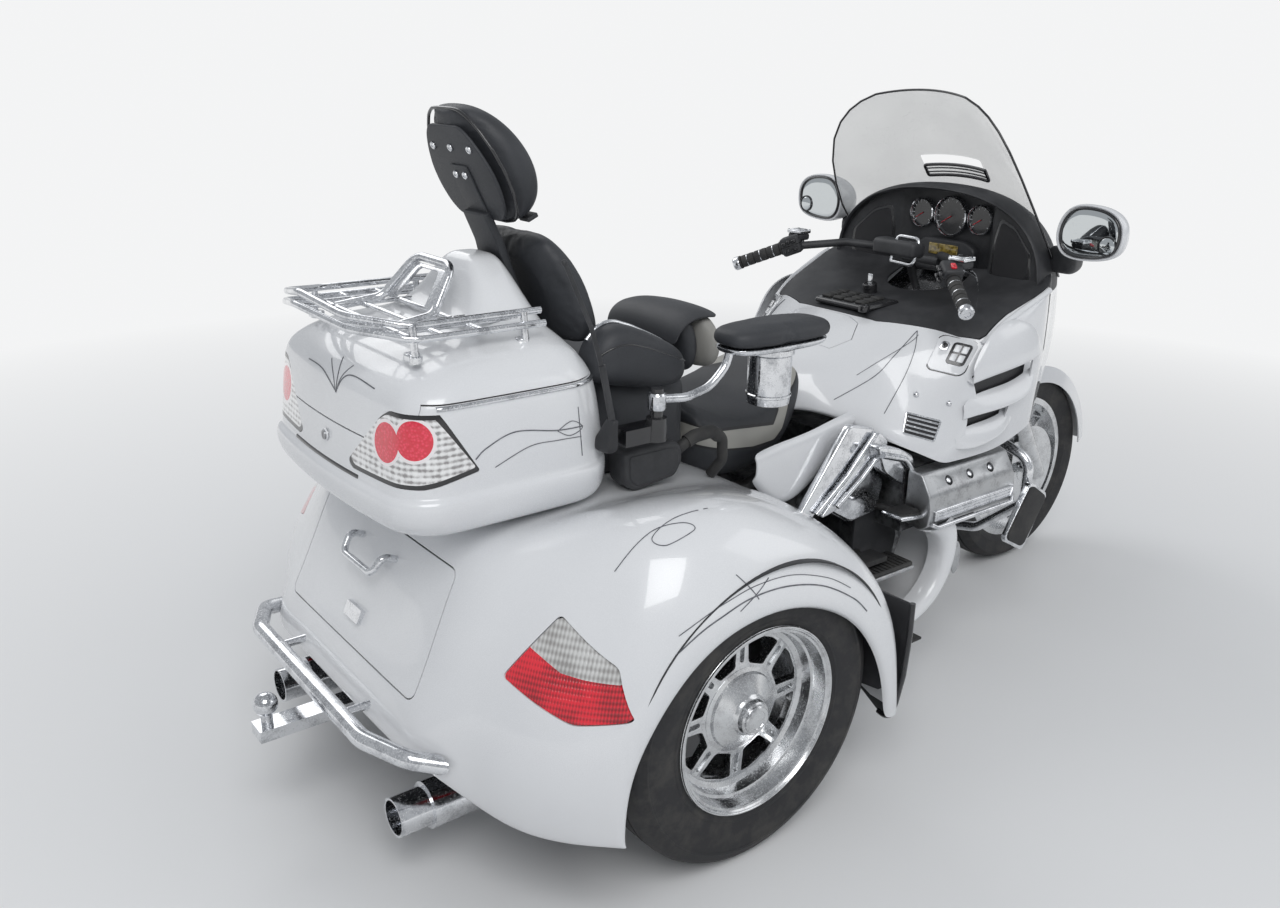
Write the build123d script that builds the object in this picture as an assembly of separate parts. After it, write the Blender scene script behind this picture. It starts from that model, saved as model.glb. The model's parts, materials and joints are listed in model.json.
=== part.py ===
from build123d import *
import math
import os

# A three-wheeled touring motorcycle with a rear trike body, in millimetres.
# It is laid out with X forward from the rear axle, Y to the rider's left and Z up from the ground.
# Every piece is moved by the same offset when it is written, so that the origin is under its middle.

# Driving dimensions of the chassis
WHEELBASE = 1745.0
TRAIL = 55.0
RAKE = 29.25
FORK_TILT = 33.5
FRONT_RADIUS = 320.0
FRONT_TYRE_WIDTH = 132.0
FRONT_BEAD_RADIUS = 229.0
REAR_RADIUS = 322.0
REAR_TYRE_WIDTH = 205.0
REAR_BEAD_RADIUS = 190.5
BODY_HALF_WIDTH = 690.0
WHEEL_TUCK = 133.0
REAR_TRACK = 2 * (BODY_HALF_WIDTH - WHEEL_TUCK)
REAR_REACH = 782.0
FENDER_GAP = 20.0
FENDER_SHEET = 6.0
FENDER_NOSE_ANGLE = 8.0
FENDER_OUTER = FRONT_RADIUS + FENDER_GAP + FENDER_SHEET
FRONT_REACH = WHEELBASE + FENDER_OUTER * math.cos(math.radians(FENDER_NOSE_ANGLE))
SHAFT_RADIUS = 17.0
FRONT_AXLE_RADIUS = 12.0
BORE_CLEARANCE = 0.05
REST_GAP = 0.3
SEAM = 3.0
PANEL = 6.0

# Trike body
BOOT_HALF_WIDTH = 380.0
DOOR_HALF_WIDTH = 300.0
DOOR_THICKNESS = 22.0
DOOR_GAP = 4.0
FACE_LOW = (-615.0, 300.0)
FACE_HIGH = (-459.0, 655.0)
DOOR_LOW_Z = 392.0
DOOR_HIGH_Z = 640.0
DOOR_PIN_RADIUS = 5.0
WELL_INNER_Y = REAR_TRACK / 2 - 132
WELL_RADIUS = 376.0
ARCH_RADIUS = 360.0
ARCH_CENTRE_Z = 230.0
LIP_INNER_Y = BODY_HALF_WIDTH - 18

# Tour trunk
TRUNK_WALL = 5.0
TRUNK_LOW_Z = 716.0
SEAM_SIDE_Z = 975.0
SEAM_REAR_Z = 888.0
HINGE_X = -112.0
HINGE_Z = 975.0
HINGE_PIN_RADIUS = 5.0

# Front end
FAIRING_REAR_X = WHEELBASE - 539.0
DASH_FRONT_X = FAIRING_REAR_X + 230.0
DASH_HALF = 338.0
STEM_RADIUS = 19.0
HEAD_RADIUS = 36.0
HEAD_LOW_Z = 800.0
HEAD_HIGH_Z = 930.0
LEG_Y = 118.0
LEG_RADIUS = 30.0
TUBE_RADIUS = 21.0
DISC_RADIUS = 148.0
DISC_THICKNESS = 5.0
DISC_Y = 76.0
GRIP_RADIUS = 17.0
BAR_RADIUS = 11.0

ORIGIN_X = (FRONT_REACH - REAR_REACH) / 2
PARTS = "parts"


def between(x, y, z):
    """A block between two planes on each axis."""
    middle = [(low + high) / 2 for low, high in (x, y, z)]
    return Pos(*middle) * Box(x[1] - x[0], y[1] - y[0], z[1] - z[0])


def pair(solid):
    """A solid and its mirror image on the other side."""
    return [solid, mirror(solid, about=Plane.XZ)]


def across(x, half_width, low, high, corner, centre_y=0.0):
    """A rounded rectangle that stands across the bike at one station along X."""
    plane = Plane(origin=(x, centre_y, (low + high) / 2), x_dir=(0, 1, 0), z_dir=(1, 0, 0))
    return plane * RectangleRounded(2 * half_width, high - low, corner)


def flat(z, x_rear, x_front, half_width, corner):
    """A rounded rectangle that lies flat at one height."""
    plane = Plane(origin=((x_rear + x_front) / 2, 0, z))
    return plane * RectangleRounded(x_front - x_rear, 2 * half_width, corner)


def side_face(points, y):
    """A polygon in the side view, at one place across the bike."""
    plane = Plane(origin=(0, y, 0), x_dir=(1, 0, 0), z_dir=(0, -1, 0))
    return plane * Polygon(*points, align=None)


def side_plate(points, y_low, y_high, bend=0.0):
    """A polygon of the side view with rounded corners, as a plate between two places across."""
    face = side_face(points, y_high)
    if bend > 0:
        face = fillet(face.vertices(), bend)
    return extrude(face, amount=y_high - y_low, dir=(0, -1, 0))


def rod(start, end, radius):
    """A round bar between two points."""
    axis = Vector(*end) - Vector(*start)
    plane = Plane(origin=start, z_dir=axis)
    return extrude(plane * Circle(radius), amount=axis.length)


def tube(points, radius, bend):
    """A bent round bar along a route of straight runs, with arcs as large as the runs allow."""
    stops = [Vector(*point) for point in points]
    bends = []
    for before, corner, after in zip(stops, stops[1:], stops[2:]):
        half_turn = math.radians((corner - before).get_angle(after - corner)) / 2
        shorter = min((corner - before).length, (after - corner).length)
        bends.append(min(bend, 0.45 * shorter / math.tan(half_turn)))
    path = FilletPolyline(*points, radius=bends) if bends else Line(*points)
    plane = Plane(origin=path @ 0, z_dir=path % 0)
    return sweep(plane * Circle(radius), path=path)


def fuse(solids):
    """The union of some solids."""
    whole = solids[0]
    for solid in solids[1:]:
        whole = whole + solid
    return whole


def less(solid, *others):
    """A solid without the room that other pieces take."""
    for other in others:
        solid = solid - other
    return solid


def wheel_ring(profile, centre):
    """A ring turned about an axle across the bike from a profile of radius and width."""
    plane = Plane(origin=centre, x_dir=(0, 1, 0), z_dir=(-1, 0, 0))
    face = plane * Polygon(*[(width, radius) for radius, width in profile], align=None)
    return revolve(face, axis=Axis(centre, (0, 1, 0)), revolution_arc=360)


def axis_point(z):
    """The point of the steering axis at one height."""
    lean = math.tan(math.radians(RAKE))
    return (WHEELBASE + TRAIL - z * lean, 0, z)


NODES = {}


def keep(name, *solids):
    """Records the solids of one node, moved to the part's origin."""
    flat_list = []
    for solid in solids:
        flat_list += list(solid) if isinstance(solid, (list, tuple)) else [solid]
    bodies = [body for item in flat_list for body in item.solids()]
    moved = [Pos(-ORIGIN_X, 0, 0) * body for body in bodies]
    NODES[name] = moved[0] if len(moved) == 1 else Compound(children=moved)


# Rear wheels
REAR_CENTRE_Z = REAR_RADIUS
TYRE_HALF = REAR_TYRE_WIDTH / 2
RIM_HALF = 89.0
RIM_FLANGE = 207.0
RIM_BARREL = 178.0
SPOKES = 8


def rear_tyre(y):
    """The tyre of a rear wheel."""
    profile = [
        (REAR_BEAD_RADIUS, -RIM_HALF + 6),
        (REAR_BEAD_RADIUS, RIM_HALF - 6),
        (RIM_FLANGE, RIM_HALF - 6),
        (RIM_FLANGE + 5, RIM_HALF + 4),
        (REAR_RADIUS - 60, TYRE_HALF),
        (REAR_RADIUS - 22, TYRE_HALF - 6),
        (REAR_RADIUS - 6, TYRE_HALF - 22),
        (REAR_RADIUS, TYRE_HALF - 40),
        (REAR_RADIUS, -TYRE_HALF + 40),
        (REAR_RADIUS - 6, -TYRE_HALF + 22),
        (REAR_RADIUS - 22, -TYRE_HALF + 6),
        (REAR_RADIUS - 60, -TYRE_HALF),
        (RIM_FLANGE + 5, -RIM_HALF - 4),
        (RIM_FLANGE, -RIM_HALF + 6),
    ]
    return wheel_ring(profile, (0, y, REAR_CENTRE_Z))


def rear_rim(y):
    """A deep rim on the left with eight spokes, a hub and a round cap."""
    barrel = [
        (RIM_BARREL, -RIM_HALF),
        (RIM_FLANGE, -RIM_HALF),
        (RIM_FLANGE, -RIM_HALF + 6),
        (REAR_BEAD_RADIUS, -RIM_HALF + 6),
        (REAR_BEAD_RADIUS, RIM_HALF - 6),
        (RIM_FLANGE, RIM_HALF - 6),
        (RIM_FLANGE, RIM_HALF),
        (RIM_BARREL, RIM_HALF),
    ]
    ring = wheel_ring(barrel, (0, y, REAR_CENTRE_Z))
    disc_y = y + 45
    disc = [(SHAFT_RADIUS + BORE_CLEARANCE, -14), (RIM_BARREL + 2, -14), (RIM_BARREL + 2, 8)]
    disc += [(62, 20), (SHAFT_RADIUS + BORE_CLEARANCE, 20)]
    face = wheel_ring(disc, (0, disc_y, REAR_CENTRE_Z))
    window = [(92, -26), (166, -43), (166, 43), (92, 26)]
    cut = Plane(origin=(0, disc_y - 60, REAR_CENTRE_Z), x_dir=(1, 0, 0), z_dir=(0, 1, 0))
    windows = []
    for index in range(SPOKES):
        turned = Rot(0, 0, 360 / SPOKES * index)
        slot = turned * fillet(Polygon(*window, align=None).vertices(), 8)
        windows.append(extrude(cut * slot, amount=120, dir=(0, 1, 0)))
    face = less(face, *windows)
    hub = wheel_ring([(SHAFT_RADIUS + BORE_CLEARANCE, -60), (58, -60), (58, 20)]
                     + [(SHAFT_RADIUS + BORE_CLEARANCE, 20)], (0, disc_y, REAR_CENTRE_Z))
    cap = rod((0, y + 65, REAR_CENTRE_Z), (0, y + 84, REAR_CENTRE_Z), 34)
    return fuse([ring, face, hub, cap])


SHAFT_END_Y = REAR_TRACK / 2 + 60
tyres = pair(rear_tyre(REAR_TRACK / 2))
rims = pair(rear_rim(REAR_TRACK / 2))
for side, tyre, rim in zip(("left", "right"), tyres, rims):
    keep("rear_tyre_" + side, tyre)
    keep("rear_rim_" + side, rim)

# Rear axle with its final drive, trailing arms and stub shafts
axle_case = rod((0, -430, REAR_CENTRE_Z), (0, 430, REAR_CENTRE_Z), 34)
drive_case = rod((0, -80, REAR_CENTRE_Z), (0, 80, REAR_CENTRE_Z), 92)
shafts = rod((0, -SHAFT_END_Y, REAR_CENTRE_Z), (0, SHAFT_END_Y, REAR_CENTRE_Z), SHAFT_RADIUS)
ARM_Y = 190.0
arm = between((-20, 470), (ARM_Y, ARM_Y + 46), (REAR_CENTRE_Z - 26, REAR_CENTRE_Z + 26))
cross = between((424, 470), (-ARM_Y, ARM_Y), (REAR_CENTRE_Z - 26, REAR_CENTRE_Z + 26))
rear_axle = fuse([axle_case, drive_case, shafts, *pair(arm), cross])
keep("rear_axle", rear_axle)

# Front wheel
FRONT_CENTRE = (WHEELBASE, 0, FRONT_RADIUS)
FRONT_HALF = FRONT_TYRE_WIDTH / 2
FRONT_RIM_HALF = 48.0
FRONT_FLANGE = 243.0
front_profile = [
    (FRONT_BEAD_RADIUS, -FRONT_RIM_HALF + 6),
    (FRONT_BEAD_RADIUS, FRONT_RIM_HALF - 6),
    (FRONT_FLANGE, FRONT_RIM_HALF - 6),
    (FRONT_FLANGE + 4, FRONT_RIM_HALF + 4),
    (FRONT_RADIUS - 40, FRONT_HALF),
    (FRONT_RADIUS - 20, FRONT_HALF - 10),
    (FRONT_RADIUS - 5, FRONT_HALF - 34),
    (FRONT_RADIUS, FRONT_HALF - 52),
    (FRONT_RADIUS, -FRONT_HALF + 52),
    (FRONT_RADIUS - 5, -FRONT_HALF + 34),
    (FRONT_RADIUS - 20, -FRONT_HALF + 10),
    (FRONT_RADIUS - 40, -FRONT_HALF),
    (FRONT_FLANGE + 4, -FRONT_RIM_HALF - 4),
    (FRONT_FLANGE, -FRONT_RIM_HALF + 6),
]
front_tyre = wheel_ring(front_profile, FRONT_CENTRE)
keep("front_tyre", front_tyre)
FRONT_BORE = FRONT_AXLE_RADIUS + BORE_CLEARANCE
front_ring = wheel_ring([
    (218, -FRONT_RIM_HALF), (FRONT_FLANGE, -FRONT_RIM_HALF), (FRONT_FLANGE, -FRONT_RIM_HALF + 6),
    (FRONT_BEAD_RADIUS, -FRONT_RIM_HALF + 6), (FRONT_BEAD_RADIUS, FRONT_RIM_HALF - 6),
    (FRONT_FLANGE, FRONT_RIM_HALF - 6), (FRONT_FLANGE, FRONT_RIM_HALF), (218, FRONT_RIM_HALF),
], FRONT_CENTRE)
front_web = wheel_ring([(FRONT_BORE, -14), (219, -14), (219, 14), (FRONT_BORE, 14)], FRONT_CENTRE)
front_slots = []
for index in range(6):
    shape = fillet(Polygon((60, -16), (205, -72), (205, 72), (60, 16), align=None).vertices(), 10)
    plane = Plane(origin=(WHEELBASE, -60, FRONT_RADIUS), x_dir=(1, 0, 0), z_dir=(0, 1, 0))
    front_slots.append(extrude(plane * (Rot(0, 0, 60 * index) * shape), amount=120, dir=(0, 1, 0)))
front_web = less(front_web, *front_slots)
front_hub = wheel_ring([(FRONT_BORE, -80), (40, -80), (40, 80), (FRONT_BORE, 80)], FRONT_CENTRE)
discs = []
for sign in (1, -1):
    low = sign * DISC_Y - DISC_THICKNESS / 2
    high = sign * DISC_Y + DISC_THICKNESS / 2
    discs.append(wheel_ring([(40, low), (DISC_RADIUS, low), (DISC_RADIUS, high), (40, high)], FRONT_CENTRE))
keep("front_rim", fuse([front_ring, front_web, front_hub, *discs]))

# Fork, clamps and axle
fork_lean = math.radians(FORK_TILT)


def leg_point(z, y=LEG_Y):
    """The point of a fork leg at one height."""
    return (WHEELBASE - (z - FRONT_RADIUS) * math.tan(fork_lean), y, z)


SLIDER_TOP_Z = 640.0
CLAMP_LOW_Z = 772.0
CLAMP_HIGH_Z = 948.0
CLAMP_HALF = 14.0
stem = rod(axis_point(CLAMP_LOW_Z), axis_point(CLAMP_HIGH_Z), STEM_RADIUS)
axle = rod((WHEELBASE, -LEG_Y, FRONT_RADIUS), (WHEELBASE, LEG_Y, FRONT_RADIUS), FRONT_AXLE_RADIUS)


def clamp(z):
    """A clamp that joins both legs and the stem, square to the steering axis."""
    front = leg_point(z)[0] + 36
    rear = axis_point(z)[0] - 34
    block = between((rear, front), (-LEG_Y - 36, LEG_Y + 36), (z - CLAMP_HALF, z + CLAMP_HALF))
    return Pos(*axis_point(z)) * Rot(0, -RAKE, 0) * Pos(*[-c for c in axis_point(z)]) * block


legs = []
for sign in (1, -1):
    y = sign * LEG_Y
    legs.append(rod(leg_point(FRONT_RADIUS, y), leg_point(SLIDER_TOP_Z, y), LEG_RADIUS))
    legs.append(rod(leg_point(SLIDER_TOP_Z, y), leg_point(CLAMP_HIGH_Z, y), TUBE_RADIUS))
fork = fuse([stem, axle, clamp(CLAMP_LOW_Z), clamp(CLAMP_HIGH_Z), *legs])

# Front fender, a curved sheet that follows the tyre between the legs
FENDER_INNER = FRONT_RADIUS + FENDER_GAP
FENDER_HALF = LEG_Y - LEG_RADIUS - REST_GAP
fender_ring = wheel_ring([
    (FENDER_INNER - 45, -FENDER_HALF), (FENDER_INNER, -FENDER_HALF + 16), (FENDER_OUTER, -FENDER_HALF + 18),
    (FENDER_OUTER, FENDER_HALF - 18), (FENDER_INNER, FENDER_HALF - 16), (FENDER_INNER - 45, FENDER_HALF),
    (FENDER_INNER - 45, FENDER_HALF - 5), (FENDER_INNER - 6, FENDER_HALF - 22),
    (FENDER_INNER - 6, -FENDER_HALF + 22), (FENDER_INNER - 45, -FENDER_HALF + 5),
], FRONT_CENTRE)
nose_rise = 420 * math.tan(math.radians(FENDER_NOSE_ANGLE))
fender_keep = side_plate([
    (WHEELBASE, FRONT_RADIUS), (WHEELBASE + 420, FRONT_RADIUS + nose_rise),
    (WHEELBASE + 300, FRONT_RADIUS + 420),
    (WHEELBASE - 420, FRONT_RADIUS + 420), (WHEELBASE - 420, FRONT_RADIUS - 30),
], -FENDER_HALF - 1, FENDER_HALF + 1)
front_fender = fender_ring & fender_keep
fender_stay = between((WHEELBASE - 140, WHEELBASE - 60), (FENDER_HALF - 5, FENDER_HALF),
                      (FRONT_RADIUS + 140, FRONT_RADIUS + 306))
keep("front_fender", fuse([front_fender, *pair(less(fender_stay, front_tyre))]))

# Front calipers on the legs, open round each disc
CALIPER_GAP = 5.0
caliper_low = leg_point(FRONT_RADIUS + 70)
caliper = between((caliper_low[0] - 100, caliper_low[0] - 8), (DISC_Y - 16, LEG_Y + 4),
                  (FRONT_RADIUS + 62, FRONT_RADIUS + 132))
DISC_ROOM = DISC_THICKNESS / 2 + CALIPER_GAP
disc_room = rod((WHEELBASE, DISC_Y - DISC_ROOM, FRONT_RADIUS), (WHEELBASE, DISC_Y + DISC_ROOM, FRONT_RADIUS),
                DISC_RADIUS + CALIPER_GAP)
caliper = less(caliper, disc_room)
fork = fuse([fork, *pair(caliper)])
keep("fork", fork)

# Handlebar, built from the upper clamp, with its grips, pods and levers
RISER_Y = 60.0
BAR_TOP_Z = 1066.0
GRIP_IN = (948, 292, 1062)
GRIP_OUT = (868, 402, 1006)
clamp_top = axis_point(CLAMP_HIGH_Z + 6)
riser_foot = (clamp_top[0] - 6, RISER_Y, clamp_top[2])
riser_head = (clamp_top[0] - 66, RISER_Y, BAR_TOP_Z)
bar_half = tube([riser_foot, riser_head, (riser_head[0] - 110, 190, BAR_TOP_Z + 12), GRIP_IN, GRIP_OUT],
                BAR_RADIUS, 22)
bar_bridge = rod((riser_head[0], -RISER_Y, BAR_TOP_Z - 20), (riser_head[0], RISER_Y, BAR_TOP_Z - 20), 14)
handlebar = less(fuse([*pair(bar_half), bar_bridge]), fork)
keep("handlebar", handlebar)


def toward(start, end, share):
    """A point between two others."""
    return tuple(a + (b - a) * share for a, b in zip(start, end))


grip = rod(toward(GRIP_IN, GRIP_OUT, 0.10), toward(GRIP_IN, GRIP_OUT, 1.04), GRIP_RADIUS)
bar_end = rod(toward(GRIP_IN, GRIP_OUT, 1.04), toward(GRIP_IN, GRIP_OUT, 1.14), GRIP_RADIUS + 1)
keep("grips", pair(less(fuse([grip, bar_end]), handlebar)))
pod_middle = toward(GRIP_IN, GRIP_OUT, -0.12)
pod_plane = Plane(origin=pod_middle, z_dir=Vector(*GRIP_OUT) - Vector(*GRIP_IN))
pod = pod_plane * Box(58, 50, 52)
keep("switch_pods", pair(less(fillet(pod.edges(), 8), handlebar, grip)))
LEVER_FORWARD = 48.0
lever_start = (pod_middle[0] + 32, pod_middle[1] + 8, pod_middle[2] + 12)
lever_mid = (GRIP_IN[0] + LEVER_FORWARD + 22, GRIP_IN[1] + 30, GRIP_IN[2] + 14)
lever_end = (GRIP_OUT[0] + LEVER_FORWARD, GRIP_OUT[1] - 10, GRIP_OUT[2] + 10)
lever = tube([lever_start, lever_mid, lever_end], 7, 60)
reservoir = Pos(pod_middle[0] + 26, pod_middle[1] - 16, pod_middle[2] + 44) * Cylinder(23, 26)
perch = between((pod_middle[0] + 14, pod_middle[0] + 52), (pod_middle[1] - 30, pod_middle[1] + 22),
                (pod_middle[2] + 2, pod_middle[2] + 33))
keep("levers", pair(less(fuse([lever, perch, reservoir]), pod, handlebar, grip)))

# Frame with the head tube round the stem
RAIL_Y = 120.0
head_outer = rod(axis_point(HEAD_LOW_Z), axis_point(HEAD_HIGH_Z - 10), HEAD_RADIUS)
head_bore = rod(axis_point(HEAD_LOW_Z - 20), axis_point(HEAD_HIGH_Z + 20), STEM_RADIUS + BORE_CLEARANCE)
head_middle = axis_point(852)
spars = []
for sign in (1, -1):
    route = [(head_middle[0] - 10, sign * 12, head_middle[2]), (1010, sign * RAIL_Y, 770),
             (620, sign * (RAIL_Y + 30), 640), (470, sign * (RAIL_Y + 60), 360)]
    spars.append(tube(route, 22, 90))
    spars.append(rod((620, sign * (RAIL_Y + 20), 634), (430, sign * RAIL_Y, 556), 16))
BAY_TOP_Z = 684.0
RAIL_TOP_Z = 572.0
rails = []
for sign in (1, -1):
    rails.append(between((-95, 440), (sign * RAIL_Y - 16, sign * RAIL_Y + 16), (RAIL_TOP_Z - 32, RAIL_TOP_Z)))
    rails.append(between((-95, -60), (sign * RAIL_Y - 16, sign * RAIL_Y + 16), (RAIL_TOP_Z - 32, BAY_TOP_Z)))
    rails.append(rod((280, sign * RAIL_Y, RAIL_TOP_Z - 20), (447, sign * (ARM_Y - 20), REAR_CENTRE_Z), 16))
rail_cross = between((-95, -60), (-RAIL_Y, RAIL_Y), (RAIL_TOP_Z - 32, RAIL_TOP_Z))
frame_spine = less(fuse([head_outer, *spars, *rails, rail_cross]), head_bore, rear_axle)
keep("frame", frame_spine)

# Engine, with its six cylinders flat across the bike, and the covers on both ends
ENGINE_X = (775.0, 1130.0)
ENGINE_Z = (462.0, 600.0)
HEAD_Y = 348.0
COVER_Y = 412.0
ENGINE_LOW_Z = 235.0
engine_core = between((770, 1170), (-200, 200), (ENGINE_LOW_Z, 628))
engine_heads = between(ENGINE_X, (-HEAD_Y, HEAD_Y), (ENGINE_Z[0] - 30, ENGINE_Z[1] + 4))
gearbox = between((470, 772), (-150, 150), (250, 560))
engine_block = less(fuse([engine_core, engine_heads, gearbox]), frame_spine, rear_axle)
keep("engine", engine_block)
cover = between((ENGINE_X[0] - 4, ENGINE_X[1] + 6), (HEAD_Y, COVER_Y), ENGINE_Z)
cover = fillet(cover.edges().filter_by(Axis.X), 24)
cover_face_z = (ENGINE_Z[0] + ENGINE_Z[1]) / 2 + 22
for index in range(3):
    x = ENGINE_X[0] + 80 + 105 * index
    cover = cover - rod((x, COVER_Y - 8, cover_face_z), (x, COVER_Y + 5, cover_face_z), 17)
cover_band = between((ENGINE_X[0] + 10, ENGINE_X[1] - 20), (COVER_Y - 20, COVER_Y + 8),
                     (ENGINE_Z[0] + 26, ENGINE_Z[0] + 48))
cover = fuse([cover, cover_band])
keep("valve_covers", pair(cover))

# Exhaust, a header box under the engine and a silencer down each side
SILENCER_Y = 300.0
SILENCER_Z = 158.0
SILENCER_RADIUS = 48.0
TIP_X = -628.0
TIP_RADIUS = 35.0
collector = between((430, 1050), (-150, 150), (150, ENGINE_LOW_Z))
exhausts = [collector]
for sign in (1, -1):
    y = sign * SILENCER_Y
    exhausts.append(rod((-560, y, SILENCER_Z), (180, y, SILENCER_Z), SILENCER_RADIUS))
    header = [(170, y, SILENCER_Z), (330, y, SILENCER_Z + 8), (470, sign * 120, SILENCER_Z + 32)]
    exhausts.append(tube(header, 24, 60))
    outer = rod((-560, y, SILENCER_Z), (TIP_X, y, SILENCER_Z), TIP_RADIUS + 5)
    inner = rod((-575, y, SILENCER_Z), (TIP_X - 10, y, SILENCER_Z), TIP_RADIUS)
    exhausts.append(outer - inner)
exhaust = fuse(exhausts)
keep("exhaust", exhaust)

# Trike body. Each row is one section of half the body in the side view, from the middle out:
# y, low rear x and z, high rear x and z, crown rear x, crown z, crown front x, front x and z, low front z
BODY_ROWS = [
    (316, *FACE_LOW, *FACE_HIGH, -405, 705, 150, 375, 600, 330),
    (430, -585, 262, -440, 640, -330, 742, 130, 385, 600, 260),
    (BODY_HALF_WIDTH - 125, -525, 222, -392, 600, -200, 776, 70, 372, 575, 214),
    (BODY_HALF_WIDTH - 45, -486, 214, -350, 560, -190, 738, 70, 362, 540, 212),
    (BODY_HALF_WIDTH, -446, 214, -322, 480, -180, 672, 50, 344, 500, 212),
]
BODY_FRONT_X = 412.0
BODY_BENDS = 40.0


def body_section(row, sign):
    """One closed section of the trike body."""
    y, low_x, low_z, high_x, high_z, rear_x, crown_z, front_x, nose_x, nose_z, bottom_z = row
    points = [(low_x, low_z), (high_x, high_z), (rear_x, crown_z), (front_x, crown_z),
              (nose_x, nose_z), (BODY_FRONT_X, bottom_z)]
    face = side_face(points, sign * y)
    round_points = [Vector(x, sign * y, z) for x, z in points[1:5]]
    corners = [v for v in face.vertices() if min((Vector(*v) - p).length for p in round_points) < 1]
    return fillet(corners, BODY_BENDS)


body_outer = loft([body_section(row, -1) for row in reversed(BODY_ROWS)]
                  + [body_section(row, 1) for row in BODY_ROWS], ruled=True)
body_outer = Solid(body_outer.solids()[0].wrapped)
BOOT_FRONT_X = -125.0
BOOT_Z = (335.0, 692.0)
boot_room = side_plate([(-560, BOOT_Z[0]), (-444, 600), (-400, BOOT_Z[1]), (BOOT_FRONT_X, BOOT_Z[1]),
                        (BOOT_FRONT_X, BOOT_Z[0])], -BOOT_HALF_WIDTH, BOOT_HALF_WIDTH)
under_room = between((-586, -105), (-395, 395), (-10, BOOT_Z[0] - 14))
bay_room = side_plate([(-105, -10), (-105, BAY_TOP_Z), (130, BAY_TOP_Z), (352, 585), (BODY_FRONT_X + 40, 585),
                       (BODY_FRONT_X + 40, -10)], -330, 330)
axle_room = rod((0, -440, REAR_CENTRE_Z), (0, 440, REAR_CENTRE_Z), 46)
rooms = [boot_room, under_room, bay_room, axle_room]
for sign in (1, -1):
    near, far = sorted((sign * WELL_INNER_Y, sign * LIP_INNER_Y))
    rooms.append(rod((0, near, REAR_CENTRE_Z), (0, far, REAR_CENTRE_Z), WELL_RADIUS))
    rooms.append(between((-WELL_RADIUS, WELL_RADIUS), (near, far), (-10, REAR_CENTRE_Z)))
    near, far = sorted((sign * (LIP_INNER_Y - 5), sign * (BODY_HALF_WIDTH + 20)))
    rooms.append(rod((0, near, ARCH_CENTRE_Z), (0, far, ARCH_CENTRE_Z), ARCH_RADIUS))
    rooms.append(between((-ARCH_RADIUS, ARCH_RADIUS), (near, far), (-10, ARCH_CENTRE_Z)))
    near, far = sorted((sign * 410, sign * 620))
    corner_room = [(-446, -10), (-446, 214), (-384, 372), (-WELL_RADIUS + 6, 372), (-WELL_RADIUS + 6, -10)]
    rooms.append(side_plate(corner_room, near, far))


def face_point(z):
    """The point of the flat rear face at one height, in the side view."""
    share = (z - FACE_LOW[1]) / (FACE_HIGH[1] - FACE_LOW[1])
    return (FACE_LOW[0] + share * (FACE_HIGH[0] - FACE_LOW[0]), z)


DOOR_LOW = face_point(DOOR_LOW_Z)
DOOR_HIGH = face_point(DOOR_HIGH_Z)
door_x = DOOR_HIGH[0] - DOOR_LOW[0]
door_z = DOOR_HIGH[1] - DOOR_LOW[1]
door_length = math.hypot(door_x, door_z)
door_run = (door_x / door_length, door_z / door_length)
door_out = (-door_run[1], door_run[0])


def door_slab(margin, inward, outward):
    """The room of the boot door, between two depths from the rear face, with a margin around."""
    low = (DOOR_LOW[0] - door_run[0] * margin, DOOR_LOW[1] - door_run[1] * margin)
    high = (DOOR_HIGH[0] + door_run[0] * margin, DOOR_HIGH[1] + door_run[1] * margin)
    points = []
    for (x, z), depth in ((low, outward), (high, outward), (high, -inward), (low, -inward)):
        points.append((x + door_out[0] * depth, z + door_out[1] * depth))
    return side_plate(points, -DOOR_HALF_WIDTH - margin, DOOR_HALF_WIDTH + margin)


door_skin = body_outer & door_slab(0, 60, 60)
door_inner = Pos(-door_out[0] * DOOR_THICKNESS, 0, -door_out[1] * DOOR_THICKNESS) * body_outer
boot_panel = door_skin - door_inner
door_hole = door_slab(DOOR_GAP, 90, 60)

# Body lamps, cut from the body's own skin. The columns are the distance in from the body's side and z
LAMP_CORNERS = [(222, 500), (178, 612), (56, 548), (10, 462), (78, 452)]
LAMP_OUTLINE = [(BODY_HALF_WIDTH - inward, z) for inward, z in LAMP_CORNERS]
LAMP_DEPTH = 34.0
lamp_plane = Plane(origin=(-700, 0, 0), x_dir=(0, 1, 0), z_dir=(1, 0, 0))
lamp_face = fillet(Polygon(*LAMP_OUTLINE, align=None).vertices(), 10)
lamp_prism = extrude(lamp_plane * lamp_face, amount=420, dir=(1, 0, 0))
lamp = (lamp_prism & body_outer) - (Pos(LAMP_DEPTH, 0, 0) * body_outer)
lamp_room = lamp_prism & body_outer & between((-600, -250), (430, BODY_HALF_WIDTH + 10), (430, 640))
trike_body = less(body_outer, *rooms, door_hole, *pair(lamp_room))

# Boot door with its piano hinge, handle and latch
def door_point(run, out, y):
    """A point on the rear face by its distance up the door and out from it."""
    x = DOOR_LOW[0] + door_run[0] * run + door_out[0] * out
    z = DOOR_LOW[1] + door_run[1] * run + door_out[1] * out
    return (x, y, z)


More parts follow.
